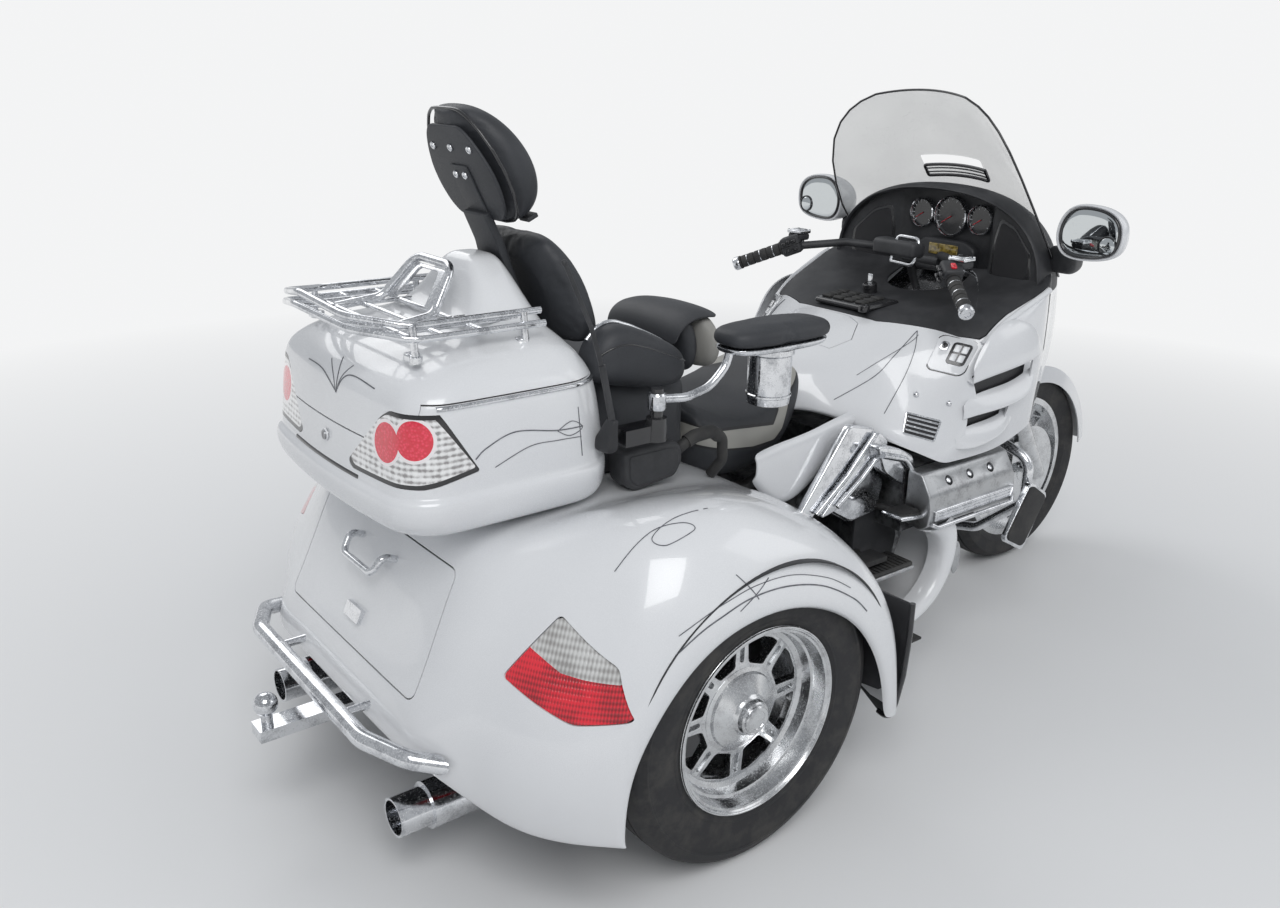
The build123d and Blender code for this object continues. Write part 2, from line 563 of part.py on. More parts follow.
PIN_RUN = -2.0
PIN_OUT = 3.0
KNUCKLE = 9.0
knuckle_gap = KNUCKLE + 2.0
door_knuckle = rod(door_point(PIN_RUN, PIN_OUT, -118), door_point(PIN_RUN, PIN_OUT, 118), KNUCKLE)
door_pin = rod(door_point(PIN_RUN, PIN_OUT, -165), door_point(PIN_RUN, PIN_OUT, 165), DOOR_PIN_RADIUS)
body_knuckles = []
body_notches = []
for sign in (1, -1):
    ends = [door_point(PIN_RUN, PIN_OUT, sign * y) for y in (120, 162)]
    wide = [door_point(PIN_RUN, PIN_OUT, sign * y) for y in (119, 167)]
    body_knuckles.append(rod(ends[0], ends[1], KNUCKLE))
    body_notches.append(rod(wide[0], wide[1], knuckle_gap))
pin_ends = [door_point(PIN_RUN, PIN_OUT, y) for y in (-170, 170)]
pin_bore = rod(*pin_ends, DOOR_PIN_RADIUS + BORE_CLEARANCE)
door_notch = rod(door_point(PIN_RUN, PIN_OUT, -119), door_point(PIN_RUN, PIN_OUT, 119), knuckle_gap)
boot_door = fuse([less(boot_panel, *body_notches), door_knuckle, door_pin])
trike_body = less(fuse([trike_body - door_notch, *body_knuckles]), pin_bore)
HANDLE_Y = 78.0
HANDLE_RUN = 214.0
handle = tube([door_point(HANDLE_RUN, -2, HANDLE_Y), door_point(HANDLE_RUN, 34, HANDLE_Y),
               door_point(HANDLE_RUN - 42, 40, HANDLE_Y - 10),
               door_point(HANDLE_RUN - 42, 40, -HANDLE_Y + 10),
               door_point(HANDLE_RUN, 34, -HANDLE_Y), door_point(HANDLE_RUN, -2, -HANDLE_Y)], 8, 20)
latch_plane = Plane(origin=door_point(66, 4, 0), x_dir=(door_run[0], 0, door_run[1]),
                    z_dir=(door_out[0], 0, door_out[1]))
latch = latch_plane * Box(30, 68, 18)
keep("trike_body", trike_body)
keep("boot_door", boot_door)
keep("boot_handle", less(handle, boot_door), less(latch, boot_door))
keep("body_lamps", pair(lamp))

# Rear bumper tube with its standoffs
BUMPER_RADIUS = 19.0
BUMPER_X = -668.0
BUMPER_Z = 336.0
BUMPER_STRAIGHT = 180.0
BUMPER_SOCKET = 12.0
bumper_half = [(-500, 440, 292), (-622, 372, BUMPER_Z - 8), (BUMPER_X, 270, BUMPER_Z),
               (BUMPER_X, BUMPER_STRAIGHT - BUMPER_SOCKET, BUMPER_Z)]
bumper_end = tube(bumper_half, BUMPER_RADIUS - 0.5, 70)
middle_ends = [(BUMPER_X, y, BUMPER_Z) for y in (-BUMPER_STRAIGHT, BUMPER_STRAIGHT)]
bumper_middle = rod(*middle_ends, BUMPER_RADIUS)
standoffs = [rod((BUMPER_X, sign * 166, BUMPER_Z), (-580, sign * 166, BUMPER_Z), 9) for sign in (1, -1)]
rear_bumper = less(fuse([bumper_middle, *pair(bumper_end), *standoffs]), trike_body)
bumper_parts = sorted(rear_bumper.solids(), key=lambda body: -body.volume)
keep("rear_bumper", bumper_parts[0])

# Tow hitch under the body, with its ball
BALL_RADIUS = 25.0
BALL_X = -(REAR_REACH - BALL_RADIUS)
BALL_Z = 308.0
BAR_Z = (236.0, 262.0)
tow_bar = between((BALL_X - 24, -40), (-26, 26), BAR_Z)
ball_neck = rod((BALL_X, 0, BAR_Z[1] - 6), (BALL_X, 0, BALL_Z), 12)
tow_hitch = less(fuse([tow_bar, ball_neck, Pos(BALL_X, 0, BALL_Z) * Sphere(BALL_RADIUS)]), rear_axle)
keep("tow_hitch", tow_hitch)

# Mud flaps on the front faces of the fenders
FLAP_THICKNESS = 6.0
flap = between((BODY_FRONT_X, BODY_FRONT_X + FLAP_THICKNESS), (500, BODY_HALF_WIDTH - 6), (176, 470))
flap = less(flap, body_outer)
keep("mud_flaps", pair(flap))

# Lower cowls that sweep from the engine down to the running boards
COWL_Y = (392.0, 520.0)
cowl_outline = [
    (BODY_FRONT_X + 8, 182), (792, 186), (896, 256), (972, 384), (938, 478),
    (902, 470), (932, 392), (872, 288), (784, 216), (BODY_FRONT_X + 8, 216),
]
lower_cowl = side_plate(cowl_outline, COWL_Y[0], COWL_Y[1], 7)
lower_cowl = less(lower_cowl, cover)
inner_wall = side_plate([(BODY_FRONT_X + 8, 184), (790, 188), (894, 258), (964, 384), (930, 456), (700, 300),
                         (BODY_FRONT_X + 8, 260)], COWL_Y[0] - 8, COWL_Y[0])
lower_cowls = less(fuse([lower_cowl, inner_wall]), cover)
keep("lower_cowls", pair(lower_cowls))
step_pad = between((448, 700), (COWL_Y[0] + 14, COWL_Y[1] - 14), (216, 222))
cowl_stay = rod((700, 190, 300), (700, COWL_Y[0] - 8, 272), 12)

# Rider floorboards, pedals and highway boards
board = between((520, 690), (330, 384), (386, 400))
board_arm = rod((640, 340, 380), (790, 190, 330), 12)
pedal = between((700, 790), (352, 402), (500, 512))
pedal_arm = rod((745, 372, 504), (760, 190, 470), 9)
floorboards = less(fuse([board, board_arm]), engine_block, exhaust)
pedals = less(fuse([pedal, pedal_arm]), engine_block, cover)
cowl_stays = less(cowl_stay, engine_block, exhaust, lower_cowls)
keep("floorboards", pair(floorboards), pair(pedals), pair(cowl_stays), pair(step_pad))
GUARD_RADIUS = 14.0
guard_route = [(1160, 150, 596), (1196, 300, 602), (1212, 418, 560), (1204, 424, 440), (1180, 300, 330),
               (1160, 150, 300)]
guard = tube(guard_route, GUARD_RADIUS, 50)
engine_guards = less(guard, engine_block, cover)
engine_guard = engine_guards.solids().sort_by(SortBy.VOLUME)[-1]
HIGHWAY_Y = 446.0
highway = side_plate([(1078, 372), (1164, 520), (1254, 466), (1168, 318)], HIGHWAY_Y, HIGHWAY_Y + 14, 16)
highway_arm = rod((1206, 422, 470), (1180, HIGHWAY_Y + 1, 440), 10)
keep("engine_guards", pair(fuse([engine_guard, highway_arm, highway])))

# Chrome covers over the frame beside the engine
frame_cover = side_plate([(372, 470), (540, 452), (700, 640), (690, 716), (566, 716)], 262, 330, 12)
frame_covers = less(frame_cover, engine_block, frame_spine, trike_body)
keep("frame_covers", pair(frame_covers))

# Tour trunk. Each row is one level: z, rear x, front x, half width, corner radius
TUB_ROWS = [
    (TRUNK_LOW_Z, -540, -120, 288, 110),
    (742, -598, -100, 336, 130),
    (790, -612, -95, 344, 132),
    (806, -602, -98, 334, 126),
    (SEAM_SIDE_Z, -590, -128, 328, 118),
]
LID_ROWS = [
    (SEAM_SIDE_Z, -590, -128, 328, 118),
    (1018, -566, -146, 296, 106),
    (1044, -520, -168, 250, 90),
    (1052, -480, -182, 214, 80),
]
HUMP_ROWS = [
    (1030, -400, -150, 216, 90),
    (1078, -330, -172, 176, 70),
    (1134, -292, -186, 120, 48),
    (1172, -276, -198, 76, 34),
    (1184, -262, -206, 50, 24),
]


def stack(rows, inset=0.0):
    """A closed form from level sections, drawn in by an inset for its inner room."""
    sections = []
    for z, x_rear, x_front, half_width, corner in rows:
        sections.append(flat(z, x_rear + inset, x_front - inset, half_width - inset, corner - inset))
    return loft(sections, ruled=True)


def inner_rows(rows, wall):
    """The rows of an inner room that stops one wall under the top of the outer form."""
    return [(z - wall, *rest) for z, *rest in rows]


tub_outer = stack(TUB_ROWS)
tub_floor = [(TRUNK_LOW_Z + TRUNK_WALL, *TUB_ROWS[0][1:])]
tub_inner = stack(tub_floor + TUB_ROWS[1:-1] + [(SEAM_SIDE_Z + 1, *TUB_ROWS[-1][1:])], TRUNK_WALL)
lid_outer = fuse([stack(LID_ROWS), stack(HUMP_ROWS)])
lid_room = [(SEAM_SIDE_Z - 1, *LID_ROWS[0][1:])] + inner_rows(LID_ROWS[1:], TRUNK_WALL)
lid_inner = fuse([stack(lid_room, TRUNK_WALL), stack(inner_rows(HUMP_ROWS, TRUNK_WALL), TRUNK_WALL)])
trunk_shell = less(fuse([tub_outer, lid_outer]), tub_inner, lid_inner)
STEP_REAR_X = -574.0
STEP_FRONT_X = -520.0
seam_points = [(-700, SEAM_REAR_Z), (STEP_REAR_X, SEAM_REAR_Z), (STEP_FRONT_X, SEAM_SIDE_Z), (0, SEAM_SIDE_Z)]
above_seam = side_plate(seam_points + [(0, 1400), (-700, 1400)], -400, 400)
seam_high = [(x, z + SEAM) for x, z in seam_points]
above_gap = side_plate(seam_high + [(0, 1400), (-700, 1400)], -400, 400)
trunk_lid = trunk_shell & above_gap
trunk_tub = trunk_shell - above_seam

# Trunk lamps at the rear corners of the tub. The columns are y and z from behind, x and z from the side
rear_outline = [(122, 838), (236, 957), (420, 957), (420, 846), (300, 826)]
side_outline = [(-700, 820), (-436, 846), (-512, 970), (-700, 970)]
trunk_lamp_plane = Plane(origin=(-700, 0, 0), x_dir=(0, 1, 0), z_dir=(1, 0, 0))
rear_prism = extrude(trunk_lamp_plane * Polygon(*rear_outline, align=None), amount=400, dir=(1, 0, 0))
lamp_room = rear_prism & side_plate(side_outline, 60, 420)
trunk_lamp = less(lamp_room & trunk_shell, above_seam)
trunk_tub = less(trunk_tub, *pair(lamp_room))
feet = [between((x, x + 60), (sign * 200 - 30, sign * 200 + 30), (705, TRUNK_LOW_Z + 2))
        for x in (-380, -200) for sign in (1, -1)]

# Lid hinge along the front lower edge
HINGE_Y = 190.0
hinge_pins = []
for sign in (1, -1):
    ends = [(HINGE_X, sign * y, HINGE_Z) for y in (HINGE_Y, HINGE_Y + 70)]
    hinge_pins.append(rod(*ends, HINGE_PIN_RADIUS))
lid_ears = []
tub_ears = []
ear_notches = []
for sign in (1, -1):
    near, far = sorted((sign * HINGE_Y, sign * (HINGE_Y + 32)))
    lid_ears.append(fuse([between((HINGE_X - 24, HINGE_X + 6), (near, far), (HINGE_Z + 5, HINGE_Z + 16)),
                          rod((HINGE_X, near, HINGE_Z), (HINGE_X, far, HINGE_Z), 10)]))
    near, far = sorted((sign * (HINGE_Y + 34), sign * (HINGE_Y + 66)))
    tub_ears.append(fuse([between((HINGE_X - 24, HINGE_X + 6), (near, far), (HINGE_Z - 40, HINGE_Z - 5)),
                          rod((HINGE_X, near, HINGE_Z), (HINGE_X, far, HINGE_Z), 10)]))
    ear_notches.append(rod((HINGE_X, near - 2, HINGE_Z), (HINGE_X, far + 2, HINGE_Z), 12))
hinge_bore = rod((HINGE_X, -400, HINGE_Z), (HINGE_X, 400, HINGE_Z), HINGE_PIN_RADIUS + BORE_CLEARANCE)
lid_notches = [rod((HINGE_X, sign * (HINGE_Y - 2), HINGE_Z), (HINGE_X, sign * (HINGE_Y + 34), HINGE_Z), 12)
               for sign in (1, -1)]
trunk_tub = less(fuse([less(trunk_tub, *lid_notches), *tub_ears, *feet]), hinge_bore, trike_body)
trunk_tub = less(trunk_tub, tub_inner)
trunk_lid = fuse([less(trunk_lid, *ear_notches), *lid_ears, *hinge_pins])
keep("trunk_tub", trunk_tub)
keep("trunk_lamps", pair(trunk_lamp))
keep("trunk_lid", trunk_lid)

# Luggage rack on the lid, two rails one over the other with posts and a hoop at the front
RACK_LOW_Z = 1076.0
RACK_HIGH_Z = 1094.0
RACK_HALF = 232.0
rail_low = [(-226, RACK_HALF, RACK_LOW_Z), (-500, RACK_HALF, RACK_LOW_Z), (-590, 150, RACK_LOW_Z + 16),
            (-626, 0, RACK_LOW_Z + 40)]
rail_points = rail_low + [(x, -y, z) for x, y, z in reversed(rail_low[:-1])]
rail = tube(rail_points, 7, 60)
upper_points = [(x + 8 if y == 0 else x, y * 0.93, z + 22) for x, y, z in rail_points]
rail_upper = tube(upper_points, 7, 60)
posts = []
feet_pads = []
for x, z_foot in ((-500, 1020), (-268, 1010)):
    for sign in (1, -1):
        posts.append(rod((x, sign * RACK_HALF, z_foot), (x, sign * RACK_HALF * 0.96, RACK_HIGH_Z + 6), 7))
        posts.append(rod((x, sign * RACK_HALF, z_foot), (x, sign * RACK_HALF, z_foot + 26), 12))
slats = [rod((x, -RACK_HALF, RACK_LOW_Z), (x, RACK_HALF, RACK_LOW_Z), 6) for x in (-360, -440, -500)]
hoop = tube([(-500, 120, RACK_LOW_Z), (-400, 112, RACK_LOW_Z + 12), (-336, 76, 1172), (-336, -76, 1172),
             (-400, -112, RACK_LOW_Z + 12), (-500, -120, RACK_LOW_Z)], 9, 40)
rack = less(fuse([rail, rail_upper, *posts, *slats, hoop]), lid_outer)
rack_parts = sorted(rack.solids(), key=lambda body: -body.volume)
keep("luggage_rack", rack_parts[0])

# Backrest on the lid, a plate with two pads
PLATE_Y = 62.0
plate_outline = [(-132, 990), (-206, 1220), (-322, 1440), (-330, 1436), (-222, 1206), (-150, 986)]
bracket = side_plate(plate_outline, -PLATE_Y, PLATE_Y)
bracket_foot = between((-160, -104), (-PLATE_Y, PLATE_Y), (984, 1010))
backrest_bracket = less(fuse([bracket, bracket_foot]), lid_outer, trunk_lid)
upper_pad = side_plate([(-216, 1235), (-108, 1220), (-132, 1330), (-240, 1466), (-290, 1490), (-324, 1439)],
                       -138, 138, 26)
lower_pad = side_plate([(-124, 1004), (-34, 1004), (-66, 1100), (-106, 1210), (-190, 1222)], -172, 172, 22)
upper_pad = less(upper_pad, backrest_bracket, lid_outer)
lower_pad = less(lower_pad, backrest_bracket, lid_outer, upper_pad)
keep("backrest_bracket", backrest_bracket)
keep("backrest_pads", upper_pad, lower_pad)

# Seats
rider_rows = [(610, 128, 716, 836, 44), (540, 176, 700, 796, 40), (430, 202, 668, 766, 40),
              (300, 214, 640, 768, 44), (210, 218, 646, 800, 50)]
rider_seat = loft([across(*row) for row in rider_rows], ruled=True)
pillion_rows = [(190, 196, 700, 926, 60), (124, 244, 700, 962, 70), (20, 250, 700, 940, 60),
                (-84, 240, 700, 928, 50)]
pillion_seat = loft([across(*row) for row in pillion_rows], ruled=True)

# Tank shelter, with the frame, the engine and the chrome covers in the room under it
SHELTER_REAR_X = 566.0
shelter_length = FAIRING_REAR_X - 6 - SHELTER_REAR_X
shelter_rows = [(0, 140, 716, 846, 48), (0.21, 222, 700, 874, 76), (0.46, 330, 668, 906, 90),
                (0.75, 364, 650, 946, 90), (1, 372, 664, 984, 80)]
shelter_faces = [across(SHELTER_REAR_X + share * shelter_length, *rest) for share, *rest in shelter_rows]
shelter_outer = loft(shelter_faces, ruled=True)
COLUMN_RADIUS = 112.0
CLAMP_SWING = 200.0
column_room = fuse([rod(axis_point(680), axis_point(974), CLAMP_SWING),
                    rod(axis_point(960), axis_point(1100), COLUMN_RADIUS)])
tank_shelter = less(shelter_outer, engine_block, frame_spine, *pair(frame_cover), column_room)
tank_parts = sorted(tank_shelter.solids(), key=lambda body: -body.volume)
tank_shelter = tank_parts[0]
seat_room = less(rider_seat, shelter_outer, trike_body, frame_spine, engine_block)
rider_seat = sorted(seat_room.solids(), key=lambda body: -body.volume)[0]
pillion_room = less(pillion_seat, rider_seat, trike_body, tub_outer, lid_outer)
pillion_seat = sorted(pillion_room.solids(), key=lambda body: -body.volume)[0]
keep("tank_shelter", tank_shelter)
keep("rider_seat", rider_seat)
keep("pillion_seat", pillion_seat)

# Black pods beside the pillion seat
pod_box = between((-92, 70), (252, 318), (712, 930))
side_pod = fillet(pod_box.edges().filter_by(Axis.Y), 22)
side_pod = less(side_pod, pillion_seat, tub_outer, trike_body, rider_seat)
keep("side_pods", pair(side_pod))

# Console with its keys, in front of the rider
CONSOLE_LIFT = 22.0
console_rows = [(FAIRING_REAR_X - 334, 118, 880, 906 + CONSOLE_LIFT, 16),
                (FAIRING_REAR_X - 226, 148, 880, 936 + CONSOLE_LIFT, 18),
                (FAIRING_REAR_X - 86, 176, 900, 960 + CONSOLE_LIFT, 18)]
console = loft([across(*row) for row in console_rows], ruled=True)
console = less(console, shelter_outer, column_room)
console_parts = sorted(console.solids(), key=lambda body: -body.volume)
keep("console", console_parts[0])

# Front fairing, a shell that is open below and behind
FAIRING_ROWS = [
    (FAIRING_REAR_X, 404, 640, 1046, 70),
    (FAIRING_REAR_X + 174, 312, 660, 1088, 100),
    (FAIRING_REAR_X + 324, 240, 690, 1064, 110),
    (FAIRING_REAR_X + 434, 160, 730, 952, 80),
    (FAIRING_REAR_X + 486, 92, 772, 876, 46),
]


def inset_rows(rows, wall):
    """The rows of the room inside a form that was made from stations along X."""
    inner = []
    for x, half_width, low, high, corner in rows:
        inner.append((x, half_width - wall, low + wall, high - wall, max(corner - wall, 4)))
    return inner


fairing_outer = loft([across(*row) for row in FAIRING_ROWS], ruled=True)
inner_fairing = inset_rows(FAIRING_ROWS, PANEL)
first = (FAIRING_ROWS[0][0] - 1, *inner_fairing[0][1:])
last = (FAIRING_ROWS[-1][0] - PANEL, *inner_fairing[-1][1:])
fairing_inner = loft([across(*row) for row in [first, *inner_fairing[1:-1], last]], ruled=True)
wheel_opening = between((FAIRING_REAR_X - 6, FAIRING_REAR_X + 394), (-300, 300), (600, 760))
dash_opening = between((FAIRING_REAR_X - 6, DASH_FRONT_X), (-DASH_HALF, DASH_HALF), (980, 1200))
fairing_shell = less(fairing_outer, fairing_inner, wheel_opening, dash_opening)

# Headlights, cut from the nose's own skin
HEADLIGHT_OUTLINE = [(26, 838), (40, 904), (190, 960), (276, 930), (250, 868), (120, 826)]
headlight_plane = Plane(origin=(FAIRING_REAR_X + 94, 0, 0), x_dir=(0, 1, 0), z_dir=(1, 0, 0))
headlight_face = fillet(Polygon(*HEADLIGHT_OUTLINE, align=None).vertices(), 10)
headlight_prism = extrude(headlight_plane * headlight_face, amount=500, dir=(1, 0, 0))
headlight = headlight_prism & fairing_shell
fairing = less(fairing_shell, *pair(headlight_prism), tank_shelter, column_room)
keep("front_fairing", sorted(fairing.solids(), key=lambda body: -body.volume)[0])
keep("headlights", pair(sorted(headlight.solids(), key=lambda body: -body.volume)[0]))

# Side cowls outside the shelter, with two gills each
SIDE_COWL_Y = (372.0, 404.0)
cowl_points = [(862, 612), (FAIRING_REAR_X - 116, 612), (FAIRING_REAR_X - 10, 660), (FAIRING_REAR_X, 680),
               (FAIRING_REAR_X, 1040), (FAIRING_REAR_X - 56, 1002), (FAIRING_REAR_X - 180, 893),
               (FAIRING_REAR_X - 230, 810)]
side_cowl = side_plate(cowl_points, SIDE_COWL_Y[0], SIDE_COWL_Y[1], 10)
upper_points = [(204, 786), (96, 790), (30, 816), (24, 842), (79, 834), (200, 818)]
lower_points = [(262, 700), (150, 700), (130, 732), (254, 726)]
upper_gill = side_plate([(FAIRING_REAR_X - x, z) for x, z in upper_points], 340, 420, 8)
lower_gill = side_plate([(FAIRING_REAR_X - x, z) for x, z in lower_points], 340, 420, 8)
side_cowl = less(side_cowl, upper_gill, lower_gill, shelter_outer, fairing_outer)
keep("side_cowls", pair(side_cowl))
screen_slab = between((FAIRING_REAR_X - 306, FAIRING_REAR_X), (376, 380), (690, 880))
mesh_screens = [less(gill & screen_slab, side_cowl, shelter_outer) for gill in (upper_gill, lower_gill)]
keep("gill_screens", pair(mesh_screens[0]), pair(mesh_screens[1]))

# Dash with its hood, speakers and gauges
dash_rows = [(FAIRING_REAR_X + 44, 300, 1016, 1178, 50), (FAIRING_REAR_X + 124, DASH_HALF, 1004, 1226, 60),
             (DASH_FRONT_X, 300, 1030, 1196, 50)]
dash_body = loft([across(*row) for row in dash_rows], ruled=True)
hood_points = [(0, 1232), (50, 1246), (134, 1240), (134, 1200), (50, 1216), (6, 1218)]
hood = side_plate([(FAIRING_REAR_X + x, z) for x, z in hood_points], -176, 176)
dash = less(fuse([dash_body, hood]), column_room, fairing_shell)
dash = sorted(dash.solids(), key=lambda body: -body.volume)[0]
gauges = []
for y, radius in ((-98, 36), (0, 44), (98, 36)):
    gauge = rod((FAIRING_REAR_X + 38, y, 1150), (FAIRING_REAR_X + 56, y, 1150), radius)
    gauges.append(gauge)
dash = less(dash, *gauges)
keep("dash", dash)
keep("gauges", gauges)

# Windshield, a curved clear sheet that leans back
SHIELD_RADIUS = 480.0
SHIELD_THICKNESS = 4.0
shield_low = (FAIRING_REAR_X + 294, 0, 1082)
shield_top = (FAIRING_REAR_X - 73, 0, 1505)
shield_axis = Vector(*shield_top) - Vector(*shield_low)
back = Vector(shield_axis.Z, 0, -shield_axis.X).normalized() * -1
shield_centre = Vector(*shield_low) + back * SHIELD_RADIUS
shield_plane = Plane(origin=shield_centre, x_dir=-back, z_dir=shield_axis)
shield_ring = shield_plane * (Circle(SHIELD_RADIUS) - Circle(SHIELD_RADIUS - SHIELD_THICKNESS))
shield_wall = extrude(shield_ring, amount=shield_axis.length + 60)
front_view = Plane(origin=(FAIRING_REAR_X - 206, 0, 0), x_dir=(0, 1, 0), z_dir=(1, 0, 0))
shield_half = [(150, 1500), (262, 1452), (330, 1345), (352, 1190), (300, 1060)]
shield_points = [(-y, z) for y, z in reversed(shield_half)] + shield_half
shield_outline = fillet(Polygon(*shield_points, align=None).vertices(), 40)
shield_prism = extrude(front_view * shield_outline, amount=700, dir=(1, 0, 0))
windshield = less(shield_wall & shield_prism, fairing_outer, dash)
keep("windshield", sorted(windshield.solids(), key=lambda body: -body.volume)[0])

# Mirrors on the fairing's upper corners
MIRROR_Y = 468.0
MIRROR_Z = 1166.0
MIRROR_X = FAIRING_REAR_X + 56
housing_rows = [(MIRROR_X, 88, MIRROR_Z - 58, MIRROR_Z + 62, 50, MIRROR_Y),
                (MIRROR_X + 60, 92, MIRROR_Z - 62, MIRROR_Z + 64, 52, MIRROR_Y),
                (MIRROR_X + 150, 52, MIRROR_Z - 40, MIRROR_Z + 40, 34, MIRROR_Y - 10)]
housing = loft([across(*row) for row in housing_rows], ruled=True)
mirror_stalk = between((MIRROR_X + 20, MIRROR_X + 110), (300, MIRROR_Y - 40), (1020, MIRROR_Z - 30))
glass_face = across(MIRROR_X - 1, 76, MIRROR_Z - 46, MIRROR_Z + 50, 40, MIRROR_Y)
mirror_glass = extrude(glass_face, amount=7, dir=(1, 0, 0))
mirror_body = less(fuse([housing, mirror_stalk]), fairing_outer, mirror_glass, dash, windshield)
keep("mirror_housings", pair(sorted(mirror_body.solids(), key=lambda body: -body.volume)[0]))
keep("mirror_glasses", pair(mirror_glass))

# Right armrest on its post, with the cup holder
POST_X = -40.0
POST_Y = -352.0
POST_RADIUS = 13.0
armrest_tube = tube([(POST_X, POST_Y, 908), (POST_X + 110, POST_Y + 4, 900), (150, POST_Y + 4, 976),
                     (200, POST_Y, 986)], 9, 60)
collar = rod((POST_X, POST_Y, 886), (POST_X, POST_Y, 930), POST_RADIUS + 8)
post_bore = rod((POST_X, POST_Y, 800), (POST_X, POST_Y, 1000), POST_RADIUS + BORE_CLEARANCE)
pad_face = Plane(origin=(264, POST_Y, 1000)) * RectangleRounded(292, 104, 50)
armrest_pad = extrude(pad_face, amount=44)
armrest_pad = fillet(armrest_pad.edges().group_by(Axis.Z)[-1], 14)
tray = extrude(Plane(origin=(264, POST_Y, 988)) * RectangleRounded(276, 90, 44), amount=12)
CUP_X = 270.0
cup = rod((CUP_X, POST_Y, 872), (CUP_X, POST_Y, 988), 42)
armrest_frame = less(fuse([armrest_tube, collar, tray, cup]), post_bore)
keep("armrest_frame", armrest_frame)
keep("armrest_pad", armrest_pad)
post = rod((POST_X, POST_Y, 836), (POST_X, POST_Y, 944), POST_RADIUS)
post_foot = rod((POST_X, POST_Y, 836), (POST_X, POST_Y, 884), POST_RADIUS + 8)
bracket_arm = between((-122, POST_X + 12), (POST_Y - 8, -318), (836, 870))
armrest_post = less(fuse([post, post_foot, bracket_arm]), tub_outer, mirror(side_pod, about=Plane.XZ))
keep("armrest_post", sorted(armrest_post.solids(), key=lambda body: -body.volume)[0])

# Antenna on the right of the trunk
mast_base = between((-170, -134), (-366, -290), (820, 900))
mast_foot = (-152, -355, 896)
mast = rod(mast_foot, (-176, -352, 1010), 7)
whip = rod((-176, -352, 1010), (-252, -336, 1214), 3)
antenna = less(fuse([mast_base, mast, whip]), tub_outer)
keep("antenna", sorted(antenna.solids(), key=lambda body: -body.volume)[0])

# Grab rails beside the seats
grab_route = [(44, 258, 716), (60, 300, 730), (150, 306, 780), (200, 300, 800), (190, 290, 700),
              (176, 236, 668)]
grab = tube(grab_route, 13, 24)
grab = less(grab, pillion_seat, rider_seat, side_pod, trike_body)
keep("grab_rails", pair(sorted(grab.solids(), key=lambda body: -body.volume)[0]))

# Rider backrest, which folds forward, on its pivot behind the rider seat
BACK_PIVOT = (252.0, 822.0)
back_pad = side_plate([(262, 854), (330, 862), (322, 938), (296, 994), (262, 994), (250, 938)], -140, 140, 16)
back_stem = fuse([between((244, 268), (-30, 30), (828, 862)),
                  rod((BACK_PIVOT[0], -30, BACK_PIVOT[1]), (BACK_PIVOT[0], 30, BACK_PIVOT[1]), 13)])
back_pin = rod((BACK_PIVOT[0], -44, BACK_PIVOT[1]), (BACK_PIVOT[0], 44, BACK_PIVOT[1]), 6)
back_stem = less(fuse([back_stem, back_pin]), back_pad)
pouch = side_plate([(198, 872), (270, 862), (270, 970), (214, 978)], -118, 118, 10)
pouch = less(pouch, back_pad)
back_ears = []
for sign in (1, -1):
    near, far = sorted((sign * 32, sign * 44))
    ear = fuse([between((238, 266), (near, far), (792, BACK_PIVOT[1])),
                rod((BACK_PIVOT[0], near, BACK_PIVOT[1]), (BACK_PIVOT[0], far, BACK_PIVOT[1]), 14)])
    back_ears.append(ear)
ear_bore = rod((BACK_PIVOT[0], -60, BACK_PIVOT[1]), (BACK_PIVOT[0], 60, BACK_PIVOT[1]), 6 + BORE_CLEARANCE)
back_base = between((232, 272), (-50, 50), (770, 800))
back_mount = less(fuse([back_base, *back_ears]), rider_seat, pillion_seat, ear_bore)
keep("backrest_stem", back_stem)
keep("rider_backrest_pad", fuse([back_pad, pouch]))
keep("backrest_mount", sorted(back_mount.solids(), key=lambda body: -body.volume)[0])

os.makedirs(PARTS, exist_ok=True)
for name, shape in NODES.items():
    export_step(shape, PARTS + "/" + name + ".step")
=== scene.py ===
"""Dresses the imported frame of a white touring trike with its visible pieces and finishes."""
import json
import logging
import math
from contextlib import contextmanager
from dataclasses import dataclass
from enum import Enum
from typing import Any, Iterable, Iterator, Optional, Sequence, Union

import bpy
from bpy.types import Object
from mathutils import Matrix, Vector

